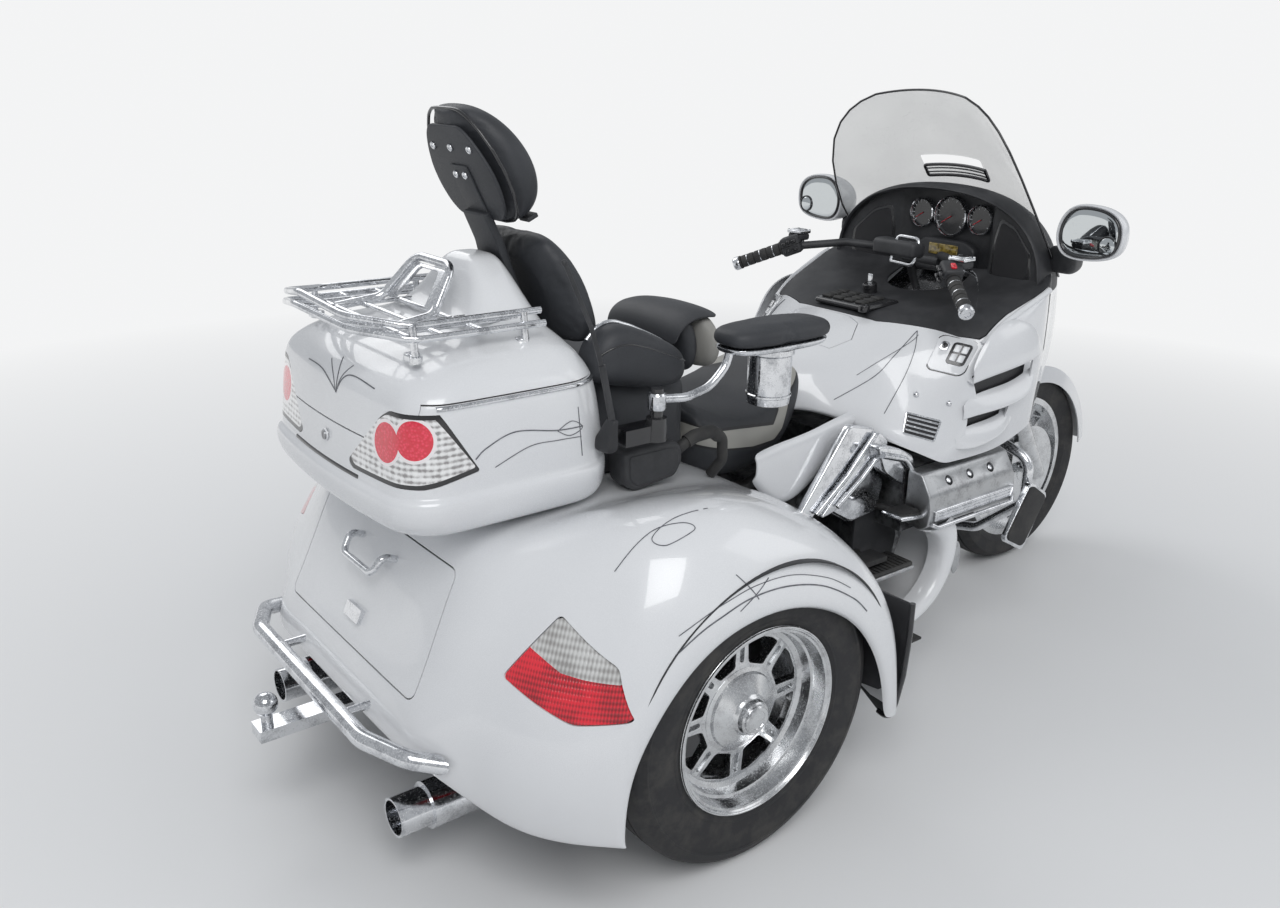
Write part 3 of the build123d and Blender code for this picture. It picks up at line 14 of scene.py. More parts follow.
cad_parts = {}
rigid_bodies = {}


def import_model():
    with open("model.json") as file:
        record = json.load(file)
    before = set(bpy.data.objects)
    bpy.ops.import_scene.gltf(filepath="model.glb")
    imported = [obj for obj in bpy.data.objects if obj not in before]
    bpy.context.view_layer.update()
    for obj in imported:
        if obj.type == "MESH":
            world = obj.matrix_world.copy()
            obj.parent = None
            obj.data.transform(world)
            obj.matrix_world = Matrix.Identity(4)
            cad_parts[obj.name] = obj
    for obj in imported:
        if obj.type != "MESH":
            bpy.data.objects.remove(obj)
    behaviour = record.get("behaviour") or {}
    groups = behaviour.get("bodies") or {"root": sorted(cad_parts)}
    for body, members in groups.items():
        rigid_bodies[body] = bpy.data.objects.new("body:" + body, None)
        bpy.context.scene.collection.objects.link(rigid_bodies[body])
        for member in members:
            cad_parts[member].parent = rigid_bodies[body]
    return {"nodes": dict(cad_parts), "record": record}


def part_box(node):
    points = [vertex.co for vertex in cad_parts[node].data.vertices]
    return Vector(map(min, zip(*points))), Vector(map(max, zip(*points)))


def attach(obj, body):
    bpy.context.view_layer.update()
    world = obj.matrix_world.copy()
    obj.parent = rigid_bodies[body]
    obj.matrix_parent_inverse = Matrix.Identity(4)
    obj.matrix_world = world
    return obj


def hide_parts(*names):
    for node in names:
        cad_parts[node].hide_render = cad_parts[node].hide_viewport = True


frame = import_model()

LOG = logging.getLogger("trike")
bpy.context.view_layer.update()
MM = 0.001
MERGE_DISTANCE = 0.00002
STRIPE_LIFT = 0.0006
CLOTH_FRAMES = 14

Place = Sequence[float]
Rows = Sequence[Sequence[Place]]

REAR_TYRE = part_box("rear_tyre_left")
AXLE_X = (REAR_TYRE[0][0] + REAR_TYRE[1][0]) / 2


def at(x: float, y: float, z: float) -> Vector:
    """Returns a frame point in metres from millimetres that count from the rear axle."""
    return Vector((x * MM + AXLE_X, y * MM, z * MM))


def flipped(places: Sequence[Place]) -> list[Place]:
    """Returns places on the other side of the trike, in reverse order."""
    return [(x, -y, z) for x, y, z in reversed(places)]


# Finishes


class Wire:
    """A shader socket that adds Math nodes when it is used in an expression."""

    def __init__(self, shader: "Finish", socket: Any) -> None:
        """Keeps the socket and the finish whose nodes it belongs to."""
        self.shader = shader
        self.socket = socket

    def _math(self, operation: str, first: Any, second: Any) -> "Wire":
        """Adds one Math node for two wires or numbers."""
        return self.shader.math(operation, first, second)

    def __add__(self, other: Any) -> "Wire":
        """Adds."""
        return self._math("ADD", self, other)

    __radd__ = __add__

    def __sub__(self, other: Any) -> "Wire":
        """Subtracts."""
        return self._math("SUBTRACT", self, other)

    def __rsub__(self, other: Any) -> "Wire":
        """Subtracts this from another."""
        return self._math("SUBTRACT", other, self)

    def __mul__(self, other: Any) -> "Wire":
        """Multiplies."""
        return self._math("MULTIPLY", self, other)

    __rmul__ = __mul__

    def __truediv__(self, other: Any) -> "Wire":
        """Divides."""
        return self._math("DIVIDE", self, other)

    def __gt__(self, other: Any) -> "Wire":
        """Gives 1 where this is greater."""
        return self._math("GREATER_THAN", self, other)

    def __lt__(self, other: Any) -> "Wire":
        """Gives 1 where this is less."""
        return self._math("LESS_THAN", self, other)

    def clamped(self) -> "Wire":
        """Limits the value to 0 and 1."""
        return self._math("MINIMUM", self._math("MAXIMUM", self, 0.0), 1.0)


class Finish:
    """A procedural material of one real finish."""

    def __init__(self, name: str, slot: str) -> None:
        """Starts an empty material.

        Args:
            name: The material's name.
            slot: The record's material slot.
        """
        self.slot = slot
        self.material = bpy.data.materials.new(name)
        self.material.use_nodes = True
        self.tree = self.material.node_tree
        self.tree.nodes.clear()

    def node(self, kind: str, settings: Optional[dict] = None, values: Optional[dict] = None,
            out: Union[int, str] = 0) -> Optional["Wire"]:
        """Adds a node.

        Args:
            kind: The node's type.
            settings: Its settings, set before its sockets.
            values: Numbers, colours or wires by socket.
            out: The socket to return.

        Returns:
            A wire from the node's output, or None where it has none.
        """
        made = self.tree.nodes.new(kind)
        for key, value in (settings or {}).items():
            if key == "stops":
                ramp = made.color_ramp
                while len(ramp.elements) < len(value):
                    ramp.elements.new(0.5)
                for element, (position, colour) in zip(ramp.elements, value):
                    element.position = position
                    element.color = colour if len(colour) == 4 else (*colour, 1.0)
            else:
                setattr(made, key, value)
        for key, value in (values or {}).items():
            if isinstance(value, Wire):
                self.tree.links.new(value.socket, made.inputs[key])
            elif isinstance(value, (tuple, list)) and made.inputs[key].type == "RGBA" and len(value) == 3:
                made.inputs[key].default_value = (*value, 1.0)
            else:
                made.inputs[key].default_value = value
        return Wire(self, made.outputs[out]) if made.outputs else None

    def math(self, operation: str, first: Any, second: Any = None) -> Wire:
        """Returns the result of one Math node."""
        values = {0: first} if second is None else {0: first, 1: second}
        return self.node("ShaderNodeMath", {"operation": operation}, values)

    def place(self) -> Wire:
        """Returns the point on the piece in the frame."""
        return self.node("ShaderNodeTexCoord", out="Object")

    def axes(self) -> tuple[Wire, Wire, Wire]:
        """Returns the point's three parts."""
        split = self.tree.nodes.new("ShaderNodeSeparateXYZ")
        self.tree.links.new(self.place().socket, split.inputs[0])
        return tuple(Wire(self, socket) for socket in split.outputs)

    def noise(self, scale: float, detail: float = 3.0, rough: float = 0.5) -> Wire:
        """Returns a noise value at a scale per metre."""
        return self.node("ShaderNodeTexNoise", {}, {"Vector": self.place(), "Scale": scale, "Detail": detail,
            "Roughness": rough})

    def cells(self, scale: float) -> Wire:
        """Returns the distance in a cell pattern at a scale per metre."""
        return self.node("ShaderNodeTexVoronoi", {}, {"Vector": self.place(), "Scale": scale}, out="Distance")

    def ramp(self, value: Any, stops: Sequence) -> Wire:
        """Returns a colour that follows a value."""
        return self.node("ShaderNodeValToRGB", {"stops": stops}, {"Fac": value})

    def blend(self, share: Any, first: Any, second: Any) -> Wire:
        """Returns a mix of two colours."""
        return self.node("ShaderNodeMix", {"data_type": "RGBA"}, {0: share, 6: first, 7: second}, out=2)

    def bump(self, height: Any, depth: float, strength: float = 1.0) -> Wire:
        """Returns a normal from a height."""
        return self.node("ShaderNodeBump", {}, {"Height": height, "Distance": depth, "Strength": strength})

    def surface(self, **values: Any) -> None:
        """Closes the material with its main shader, given its sockets by name."""
        named = {key.replace("_", " "): value for key, value in values.items()}
        body = self.node("ShaderNodeBsdfPrincipled", {}, named)
        self.node("ShaderNodeOutputMaterial", {}, {"Surface": body})


@dataclass(frozen=True)
class PearlPaint:
    """White pearl paint under clear lacquer, with rain drops, a little darker, browner and rougher in patches low
    down.
    """

    colour: tuple = (0.80, 0.81, 0.825)
    shade: tuple = (0.70, 0.71, 0.73)
    # The darker, browner tone that is mixed in low down.
    low_tone: tuple = (0.50, 0.48, 0.45)
    drops_per_m: float = 260.0

    def make(self) -> Finish:
        """Returns the finish."""
        finish = Finish("pearl_paint", "white_paint")
        _, _, z = finish.axes()
        cloud = finish.noise(2.2, 2.0)
        base = finish.ramp(cloud, [(0.35, self.shade), (0.65, self.colour)])
        # Below 0.42 m the paint turns darker, browner and rougher in patches, more so nearer the floor.
        low = (1.0 - z / 0.42).clamped() * finish.noise(14.0, 6.0, 0.7)
        base = finish.blend((low * 0.35).clamped(), base, (*self.low_tone, 1.0))
        drop = (finish.cells(self.drops_per_m) < 0.17) * (finish.noise(9.0, 2.0) > 0.52)
        flake = finish.noise(900.0, 1.0)
        finish.surface(Base_Color=base, Metallic=0.0, Roughness=flake * 0.10 + 0.22 + low * 0.25, Coat_Weight=0.9,
            Coat_Roughness=0.04, Specular_IOR_Level=0.5, Normal=finish.bump(drop + flake * 0.03, 0.0006, 0.5))
        return finish


@dataclass(frozen=True)
class Plated:
    """Chrome plate or polished metal, with fine water spots and light haze."""

    name: str = "chrome_plate"
    slot: str = "chrome"
    colour: tuple = (0.78, 0.79, 0.81)
    dull: tuple = (0.42, 0.43, 0.45)
    rough: float = 0.07
    spots: float = 0.30

    def make(self) -> Finish:
        """Returns the finish."""
        finish = Finish(self.name, self.slot)
        haze = finish.noise(26.0, 5.0, 0.6)
        fleck = finish.noise(230.0, 4.0, 0.7)
        colour = finish.ramp(haze * 0.6 + fleck * 0.4, [(0.36, self.dull), (0.52, self.colour), (1.0, self.colour)])
        spot = (fleck > 0.60) * self.spots
        finish.surface(Base_Color=colour, Metallic=1.0, Roughness=(haze * 0.12 + self.rough - 0.03 + spot).clamped(),
            Normal=finish.bump(fleck, 0.0003, 0.25))
        return finish


@dataclass(frozen=True)
class Vinyl:
    """Grained seat vinyl with soft sheen and a few rain drops."""

    name: str = "black_vinyl"
    slot: str = "vinyl"
    colour: tuple = (0.022, 0.024, 0.028)
    worn: tuple = (0.05, 0.053, 0.06)
    rough: float = 0.42

    def make(self) -> Finish:
        """Returns the finish."""
        finish = Finish(self.name, self.slot)
        grain = finish.cells(520.0)
        fold = finish.noise(7.0, 3.0)
        drop = (finish.cells(190.0) < 0.15) * (finish.noise(6.0, 2.0) > 0.50)
        colour = finish.blend((fold * 1.5 - 0.4).clamped(), (*self.colour, 1.0), (*self.worn, 1.0))
        finish.surface(Base_Color=colour, Metallic=0.0, Roughness=(self.rough + grain * 0.22 - drop * 0.25).clamped(),
            Specular_IOR_Level=0.5, Normal=finish.bump(grain * 0.5 + fold * 0.3 + drop * 0.8, 0.0007, 0.55))
        return finish


@dataclass(frozen=True)
class Moulded:
    """Moulded plastic or rubber with a fine stipple."""

    name: str
    slot: str
    colour: tuple = (0.024, 0.025, 0.028)
    pale: tuple = (0.055, 0.056, 0.06)
    rough: float = 0.45
    stipple_per_m: float = 900.0
    depth: float = 0.0004
    coat: float = 0.0

    def make(self) -> Finish:
        """Returns the finish."""
        finish = Finish(self.name, self.slot)
        stipple = finish.noise(self.stipple_per_m, 2.0)
        dust = finish.noise(11.0, 5.0, 0.65)
        colour = finish.ramp(dust, [(0.42, self.colour), (0.75, self.pale)])
        finish.surface(Base_Color=colour, Roughness=(stipple * 0.16 + self.rough - 0.06 + dust * 0.08).clamped(),
            Coat_Weight=self.coat, Coat_Roughness=0.08, Normal=finish.bump(stipple, self.depth, 0.6))
        return finish


@dataclass(frozen=True)
class CastMetal:
    """Cast or machined aluminium with grain and dark grime in random patches."""

    name: str = "cast_metal"
    slot: str = "engine_metal"
    colour: tuple = (0.20, 0.205, 0.21)
    grime: tuple = (0.03, 0.03, 0.032)
    rough: float = 0.42
    grain_per_m: float = 700.0

    def make(self) -> Finish:
        """Returns the finish."""
        finish = Finish(self.name, self.slot)
        grain = finish.noise(self.grain_per_m, 3.0)
        patch = finish.noise(18.0, 6.0, 0.7)
        colour = finish.ramp(patch, [(0.40, self.grime), (0.60, self.colour)])
        finish.surface(Base_Color=colour, Metallic=0.85, Roughness=(grain * 0.2 + self.rough).clamped(),
            Normal=finish.bump(grain, 0.0005, 0.5))
        return finish


@dataclass(frozen=True)
class Lens:
    """A lamp lens with moulded ribs that show through its gloss."""

    name: str
    slot: str
    colour: tuple
    deep: tuple
    ribs_per_m: float = 150.0
    glow: float = 0.12

    def make(self) -> Finish:
        """Returns the finish."""
        finish = Finish(self.name, self.slot)
        x, y, z = finish.axes()
        across = finish.math("SINE", (y - x * 0.6) * self.ribs_per_m * math.tau)
        down = finish.math("SINE", z * self.ribs_per_m * 0.7 * math.tau)
        ribs = across * 0.5 + down * 0.5
        cloud = finish.noise(16.0, 3.0)
        share = (ribs * 0.25 + cloud).clamped()
        colour = finish.ramp(share, [(0.25, self.deep), (0.70, self.colour)])
        finish.surface(Base_Color=colour, Roughness=0.18, Coat_Weight=1.0, Coat_Roughness=0.02, Emission_Color=colour,
            Emission_Strength=self.glow, Normal=finish.bump(ribs, 0.0009, 0.6))
        return finish


@dataclass(frozen=True)
class SmokedShield:
    """Clear screen plastic with light smoke, rain drops and wipe marks."""

    name: str = "shield_plastic"
    slot: str = "clear_shield"
    tint: tuple = (0.46, 0.48, 0.48)
    alpha: float = 0.17

    def make(self) -> Finish:
        """Returns the finish."""
        finish = Finish(self.name, self.slot)
        drop = (finish.cells(150.0) < 0.14) * (finish.noise(12.0, 2.0) > 0.46)
        wipe = finish.noise(5.0, 4.0)
        colour = finish.ramp(drop, [(0.0, self.tint), (1.0, (0.75, 0.77, 0.78))])
        finish.surface(Base_Color=colour, Roughness=(wipe * 0.10 + 0.03).clamped(),
            Alpha=(wipe * 0.14 + self.alpha + drop * 0.35).clamped(), Specular_IOR_Level=0.5,
            Normal=finish.bump(drop, 0.001, 0.5))
        return finish


@dataclass(frozen=True)
class Silvered:
    """Mirror glass with a few drops."""

    def make(self) -> Finish:
        """Returns the finish."""
        finish = Finish("mirror_silver", "mirror")
        drop = (finish.cells(240.0) < 0.12) * (finish.noise(10.0, 2.0) > 0.5)
        finish.surface(Base_Color=(0.62, 0.65, 0.66), Metallic=1.0, Roughness=drop * 0.3 + 0.02,
            Normal=finish.bump(drop, 0.0006, 0.5))
        return finish


@dataclass(frozen=True)
class TyreRubber:
    """Tyre rubber with faint side rings and road dust."""

    def make(self) -> Finish:
        """Returns the finish."""
        finish = Finish("tyre_rubber", "tyre")
        dust = finish.noise(16.0, 6.0, 0.7)
        fine = finish.noise(600.0, 2.0)
        colour = finish.ramp(dust, [(0.45, (0.016, 0.016, 0.018)), (0.72, (0.055, 0.052, 0.048))])
        finish.surface(Base_Color=colour, Roughness=(dust * 0.25 + 0.52).clamped(),
            Normal=finish.bump(fine, 0.0004, 0.5))
        return finish


@dataclass(frozen=True)
class StripeInk:
    """The dark grey ink of the hand-drawn stripes, thin enough to vary."""

    def make(self) -> Finish:
        """Returns the finish."""
        finish = Finish("stripe_ink", "black_plastic")
        shade = finish.ramp(finish.noise(60.0, 2.0), [(0.3, (0.055, 0.06, 0.075)), (0.7, (0.15, 0.155, 0.175))])
        finish.surface(Base_Color=shade, Roughness=finish.noise(40.0) * 0.1 + 0.25, Coat_Weight=0.5)
        return finish


class Coats:
    """Every finish of the trike, made once."""

    def __init__(self) -> None:
        """Makes the finishes."""
        self.white = PearlPaint().make()
        self.chrome = Plated().make()
        self.polished = Plated("polished_alloy", "aluminium", (0.70, 0.71, 0.72), (0.46, 0.46, 0.47), 0.16, 0.2).make()
        self.satin = Plated("satin_alloy", "aluminium", (0.50, 0.51, 0.52), (0.30, 0.30, 0.31), 0.34, 0.15).make()
        self.vinyl = Vinyl().make()
        self.grey_vinyl = Vinyl("grey_vinyl", "vinyl", (0.29, 0.285, 0.265), (0.40, 0.39, 0.365), 0.45).make()
        self.plastic = Moulded("black_plastic", "black_plastic").make()
        self.gloss = Moulded("gloss_black", "black_plastic", (0.012, 0.012, 0.014), (0.03, 0.03, 0.032), 0.16, 300.0,
            0.0001, 0.6).make()
        self.rubber = Moulded("ribbed_rubber", "rubber", (0.020, 0.020, 0.021), (0.06, 0.058, 0.054), 0.58,
            700.0).make()
        self.dark_paint = Moulded("frame_paint", "frame_paint", (0.022, 0.022, 0.024), (0.07, 0.066, 0.06), 0.38,
            500.0, 0.0002).make()
        self.cast = CastMetal().make()
        self.red = Lens("red_lens", "red_lens", (0.72, 0.012, 0.03), (0.22, 0.004, 0.01)).make()
        self.clear = Lens("clear_lens", "clear_lens", (0.62, 0.62, 0.61), (0.30, 0.29, 0.28), 110.0, 0.03).make()
        self.shield = SmokedShield().make()
        self.mirror = Silvered().make()
        self.tyre = TyreRubber().make()
        self.ink = StripeInk().make()


# Bench


class Axis(Enum):
    """The three axes of the frame."""

    X = (1.0, 0.0, 0.0)
    Y = (0.0, 1.0, 0.0)
    Z = (0.0, 0.0, 1.0)


class Cut(Enum):
    """What a cutter leaves of a piece."""

    AWAY = "DIFFERENCE"
    INSIDE = "INTERSECT"


@contextmanager
def editing(piece: Object) -> Iterator[None]:
    """Opens a piece in edit mode with all of it selected."""
    Bench.hold(piece)
    bpy.ops.object.mode_set(mode="EDIT")
    bpy.ops.mesh.select_all(action="SELECT")
    yield
    bpy.ops.object.mode_set(mode="OBJECT")


def face_out() -> None:
    """Turns all faces of the mesh that is edited outwards."""
    bpy.ops.mesh.select_all(action="SELECT")
    bpy.ops.mesh.normals_make_consistent(inside=False)


class Bench:
    """Makes and shapes meshes with the operators that a modeller uses by hand, from sizes in millimetres."""

    @staticmethod
    def clear() -> None:
        """Leaves edit mode and selects nothing."""
        if bpy.context.object and bpy.context.object.mode != "OBJECT":
            bpy.ops.object.mode_set(mode="OBJECT")
        bpy.ops.object.select_all(action="DESELECT")

    @staticmethod
    def hold(piece: Object) -> None:
        """Selects one piece and makes it the active one."""
        Bench.clear()
        piece.select_set(True)
        bpy.context.view_layer.objects.active = piece

    @staticmethod
    def named(piece: Object, name: str) -> Object:
        """Names a piece and its mesh."""
        piece.name = piece.data.name = name
        return piece

    @staticmethod
    def settle(name: str) -> Object:
        """Names the active piece and moves its place into its mesh."""
        bpy.ops.object.transform_apply(location=True, rotation=True, scale=True)
        return Bench.named(bpy.context.object, name)

    @staticmethod
    def modify(piece: Object, kind: str, **settings: Any) -> None:
        """Adds a modifier and applies it.

        Args:
            piece: The piece to change.
            kind: The modifier's type.
            settings: Its settings.
        """
        Bench.hold(piece)
        modifier = piece.modifiers.new(kind.title(), kind)
        for key, value in settings.items():
            setattr(modifier, key, value)
        bpy.ops.object.modifier_apply(modifier=modifier.name)

    @staticmethod
    def edge_round(piece: Object, width: float, segments: int = 3, angle: float = 30.0) -> None:
        """Rounds the edges that are sharper than an angle, by a width."""
        Bench.modify(piece, "BEVEL", width=width * MM, segments=segments, limit_method="ANGLE",
            angle_limit=math.radians(angle))

    @staticmethod
    def smooth(piece: Object, angle: float = 35.0) -> None:
        """Shades a piece smooth up to an angle."""
        Bench.hold(piece)
        bpy.ops.object.shade_smooth_by_angle(angle=math.radians(angle))

    @staticmethod
    def outward(piece: Object) -> None:
        """Merges doubles and turns the faces outwards."""
        with editing(piece):
            bpy.ops.mesh.remove_doubles(threshold=MERGE_DISTANCE)
            face_out()

    @staticmethod
    def box(name: str, low: Place, high: Place, rounding: float = 2.0, segments: int = 3, turn: float = 0.0) -> Object:
        """Makes a block with rounded edges.

        Args:
            name: The piece's name.
            low: Its lowest corner.
            high: Its highest corner.
            rounding: The edge radius.
            segments: Faces round an edge.
            turn: A turn about Y in degrees, nose up.

        Returns:
            The piece.
        """
        Bench.clear()
        a, b = at(*low), at(*high)
        bpy.ops.mesh.primitive_cube_add(size=1.0, location=(a + b) / 2, scale=b - a,
            rotation=(0.0, -math.radians(turn), 0.0))
        piece = Bench.settle(name)
        if rounding > 0:
            Bench.edge_round(piece, rounding, segments)
        return piece

    @staticmethod
    def rod(name: str, start: Place, end: Place, radius: float, rounding: float = 0.0, sides: int = 40,
            taper: float = 1.0) -> Object:
        """Makes a round bar or a cone between two points.

        Args:
            name: The piece's name.
            start: One end.
            end: The other end.
            radius: The radius at the start.
            rounding: The edge radius.
            sides: Faces round the bar.
            taper: The end's radius as a share of the start's.

        Returns:
            The piece.
        """
        Bench.clear()
        a, b = at(*start), at(*end)
        turn = (b - a).to_track_quat("Z", "Y").to_euler()
        bpy.ops.mesh.primitive_cone_add(vertices=sides, radius1=radius * MM, radius2=radius * taper * MM,
            depth=(b - a).length, location=(a + b) / 2, rotation=turn)
        piece = Bench.settle(name)
        if rounding > 0:
            Bench.edge_round(piece, rounding, 3, 40.0)
        return piece

    @staticmethod
    def ball(name: str, centre: Place, size: Place, sides: int = 40) -> Object:
        """Makes an ellipsoid from its centre and half sizes."""
        Bench.clear()
        bpy.ops.mesh.primitive_uv_sphere_add(segments=sides, ring_count=sides // 2, radius=1.0, location=at(*centre),
            scale=[value * MM for value in size])
        return Bench.settle(name)

    @staticmethod
    def spun(name: str, profile: Rows, centre: Place, axis: Place = (0, 1, 0), steps: int = 96) -> Object:
        """Spins a drawn profile about an axis.

        Args:
            name: The piece's name.
            profile: Pairs of radius and place along the axis.
            centre: The axis's zero point.
            axis: The axis's direction.
            steps: Faces round the axis.

        Returns:
            The piece.
        """
        Bench.clear()
        along = Vector(axis).normalized()
        out = along.orthogonal().normalized()
        origin = at(*centre)
        points = [origin + out * (radius * MM) + along * (place * MM) for radius, place in profile]
        points.append(points[0])
        bpy.ops.mesh.primitive_plane_add(size=0.001, location=points[0])
        piece = bpy.context.object
        bpy.ops.object.transform_apply(location=True, rotation=True, scale=True)
        with editing(piece):
            bpy.ops.mesh.merge(type="CENTER")
            for before, after in zip(points, points[1:]):
                bpy.ops.mesh.extrude_region_move(TRANSFORM_OT_translate={"value": after - before})
            bpy.ops.mesh.select_all(action="SELECT")
            bpy.ops.mesh.spin(steps=steps, angle=math.tau, center=origin, axis=along)
        Bench.outward(piece)
        return Bench.named(piece, name)

    @staticmethod
    def tube(name: str, points: Sequence[Place], radius: float, bend: float = 40.0, sides: int = 6,
            closed: bool = False) -> Object:
        """Makes a round tube of straight runs and arcs.

        Args:
            name: The piece's name.
            points: The route's corners.
            radius: The tube's radius.
            bend: The largest radius of its arcs.
            sides: A quarter of the faces round the tube.
            closed: Whether it closes on itself.

        Returns:
            The piece.
        """
        stops = [at(*point) for point in points]
        route: list[Vector] = []
        count = len(stops)
        for index, corner in enumerate(stops):
            if not closed and index in (0, count - 1):
                route.append(corner)
                continue
            back = stops[index - 1] - corner
            ahead = stops[(index + 1) % count] - corner
            angle = back.angle(ahead)
            if angle > math.radians(179):
                route.append(corner)
                continue
            reach = min(bend * MM / math.tan(angle / 2), 0.48 * min(back.length, ahead.length))
            first, last = corner + back.normalized() * reach, corner + ahead.normalized() * reach
            pieces = max(3, int((math.pi - angle) / 0.2))
            for step in range(pieces + 1):
                share = step / pieces
                route.append(first * (1 - share) ** 2 + corner * (2 * share * (1 - share)) + last * share ** 2)
        Bench.clear()
        curve = bpy.data.curves.new(name, "CURVE")
        curve.dimensions = "3D"
        spline = curve.splines.new("POLY")
        spline.points.add(len(route) - 1)
        for point, place in zip(spline.points, route):
            point.co = (*place, 1.0)
        spline.use_cyclic_u = closed
        curve.bevel_depth = radius * MM
        curve.bevel_resolution = sides
        curve.use_fill_caps = not closed
        piece = bpy.data.objects.new(name, curve)
        bpy.context.scene.collection.objects.link(piece)
        Bench.hold(piece)
        bpy.ops.object.convert(target="MESH")
        piece = bpy.context.object
        Bench.outward(piece)
        return piece

    @staticmethod
    def skin(name: str, rows: Rows, levels: int = 3, ring: bool = False, closed: bool = False,
            wall: float = 0.0) -> Object:
        """Makes a smooth skin from a grid whose points are pulled to a table of places.

        Args:
            name: The piece's name.
            rows: Rows of places, all of one length.
            levels: Subdivision levels.
            ring: Whether each row closes on itself.
            closed: Whether it does, and the first and last rows are filled too.
            wall: The wall that an open skin gets, half to each side.

        Returns:
            The piece.
        """
        Bench.clear()
        ring = ring or closed
        table = [list(row) + ([row[0]] if ring else []) for row in rows]
        across, down = len(table[0]), len(table)
        bpy.ops.mesh.primitive_grid_add(x_subdivisions=across - 1, y_subdivisions=down - 1, size=1.0)
        piece = Bench.settle(name)
        for vertex, place in zip(piece.data.vertices, (place for row in table for place in row)):
            vertex.co = at(*place)
        if ring:
            Bench.outward(piece)
        if closed:
            with editing(piece):
                bpy.ops.mesh.select_all(action="DESELECT")
                bpy.ops.mesh.select_non_manifold()
                bpy.ops.mesh.fill_holes(sides=0)
                face_out()
        if levels:
            Bench.modify(piece, "SUBSURF", levels=levels, render_levels=levels)
        if wall:
            Bench.modify(piece, "SOLIDIFY", thickness=wall * MM, offset=0.0)
        if closed or wall:
            Bench.outward(piece)
        return piece

    @staticmethod
    def plate(name: str, outline: Sequence[Place], normal: Union[Axis, Place], depth: float, rounding: float = 0.0,
            corner: float = 0.0, steps: int = 6) -> Object:
        """Makes a flat plate from an outline, pushed out along an axis or any other direction.

        Args:
            name: The piece's name.
            outline: Its corners.
            normal: The axis or the direction that it is extruded along.
            depth: How far, either way.
            rounding: The edge radius.
            corner: The outline's corner radius.
            steps: Edges round such a corner.

        Returns:
            The piece.
        """
        Bench.clear()
        bpy.ops.mesh.primitive_circle_add(vertices=len(outline), fill_type="NGON")
        piece = Bench.settle(name)
        for vertex, place in zip(piece.data.vertices, outline):
            vertex.co = at(*place)
        if corner > 0:
            Bench.modify(piece, "BEVEL", width=corner * MM, segments=steps, affect="VERTICES", limit_method="NONE")
        push = Vector(normal.value if isinstance(normal, Axis) else normal).normalized() * depth * MM
        with editing(piece):
            bpy.ops.mesh.extrude_region_move(TRANSFORM_OT_translate={"value": push})
            face_out()
        if rounding > 0:
            Bench.edge_round(piece, rounding, 3, 50.0)
        return piece

    @staticmethod
    def copy(piece: Object, name: str) -> Object:
        """Copies a piece with its own mesh."""
        Bench.hold(piece)
        bpy.ops.object.duplicate()
        return Bench.named(bpy.context.object, name)

    @staticmethod
    def moved(piece: Object, matrix: Matrix) -> Object:
        """Moves a piece's mesh by a matrix and keeps its faces outward."""
        piece.data.transform(matrix)
        if matrix.determinant() < 0:
            piece.data.flip_normals()
        return piece

    @staticmethod
    def mirrored(piece: Object, name: str) -> Object:
        """Copies a piece to the other side of the trike."""
        return Bench.moved(Bench.copy(piece, name), Matrix.Diagonal((1.0, -1.0, 1.0, 1.0)))

    @staticmethod
    def cut(piece: Object, cutter: Object, keep: Cut = Cut.AWAY, solver: str = "EXACT") -> Object:
        """Cuts a piece with another, which is then removed.

        Args:
            piece: The piece to change.
            cutter: The piece that cuts.
            keep: What is left.
            solver: How it is worked out, which can be "MANIFOLD" for closed skins.

        Returns:
            The cut piece.
        """
        Bench.modify(piece, "BOOLEAN", object=cutter, operation=keep.value, solver=solver)
        bpy.data.objects.remove(cutter, do_unlink=True)
        return piece

    @staticmethod
    def join(name: str, pieces: Iterable[Object]) -> Object:
        """Joins pieces into one."""
        pieces = list(pieces)
        Bench.clear()
        for piece in pieces:
            piece.select_set(True)
        bpy.context.view_layer.objects.active = pieces[0]
        if len(pieces) > 1:
            bpy.ops.object.join()
        return Bench.named(pieces[0], name)


def section(x: float, half: float, low: float, high: float, corner: float = 60.0, power: float = 0.0,
        y: float = 0.0) -> list[Place]:
    """Lists a rounded rectangle that stands across the trike.

    Args:
        x: Its station in millimetres.
        half: Half its width.
        low: Its lowest height.
        high: Its highest height.
        corner: The radius of its corners.
        power: How far its top bows up in the middle.
        y: Its middle across the trike.

    Returns:
        Its places, all round.
    """
    corner = min(corner, half * 0.98, (high - low) * 0.49)
    places = []
    for middle_y, middle_z, first in ((half - corner, high - corner, 0), (corner - half, high - corner, 90),
            (corner - half, low + corner, 180), (half - corner, low + corner, 270)):
        for step in range(5):
            angle = math.radians(first + 22.5 * step)
            dy, dz = middle_y + corner * math.cos(angle), middle_z + corner * math.sin(angle)
            bow = power * max(0.0, 1 - (dy / half) ** 2) if dz > (low + high) / 2 else 0.0
            places.append((x, y + dy, dz + bow))
    return places


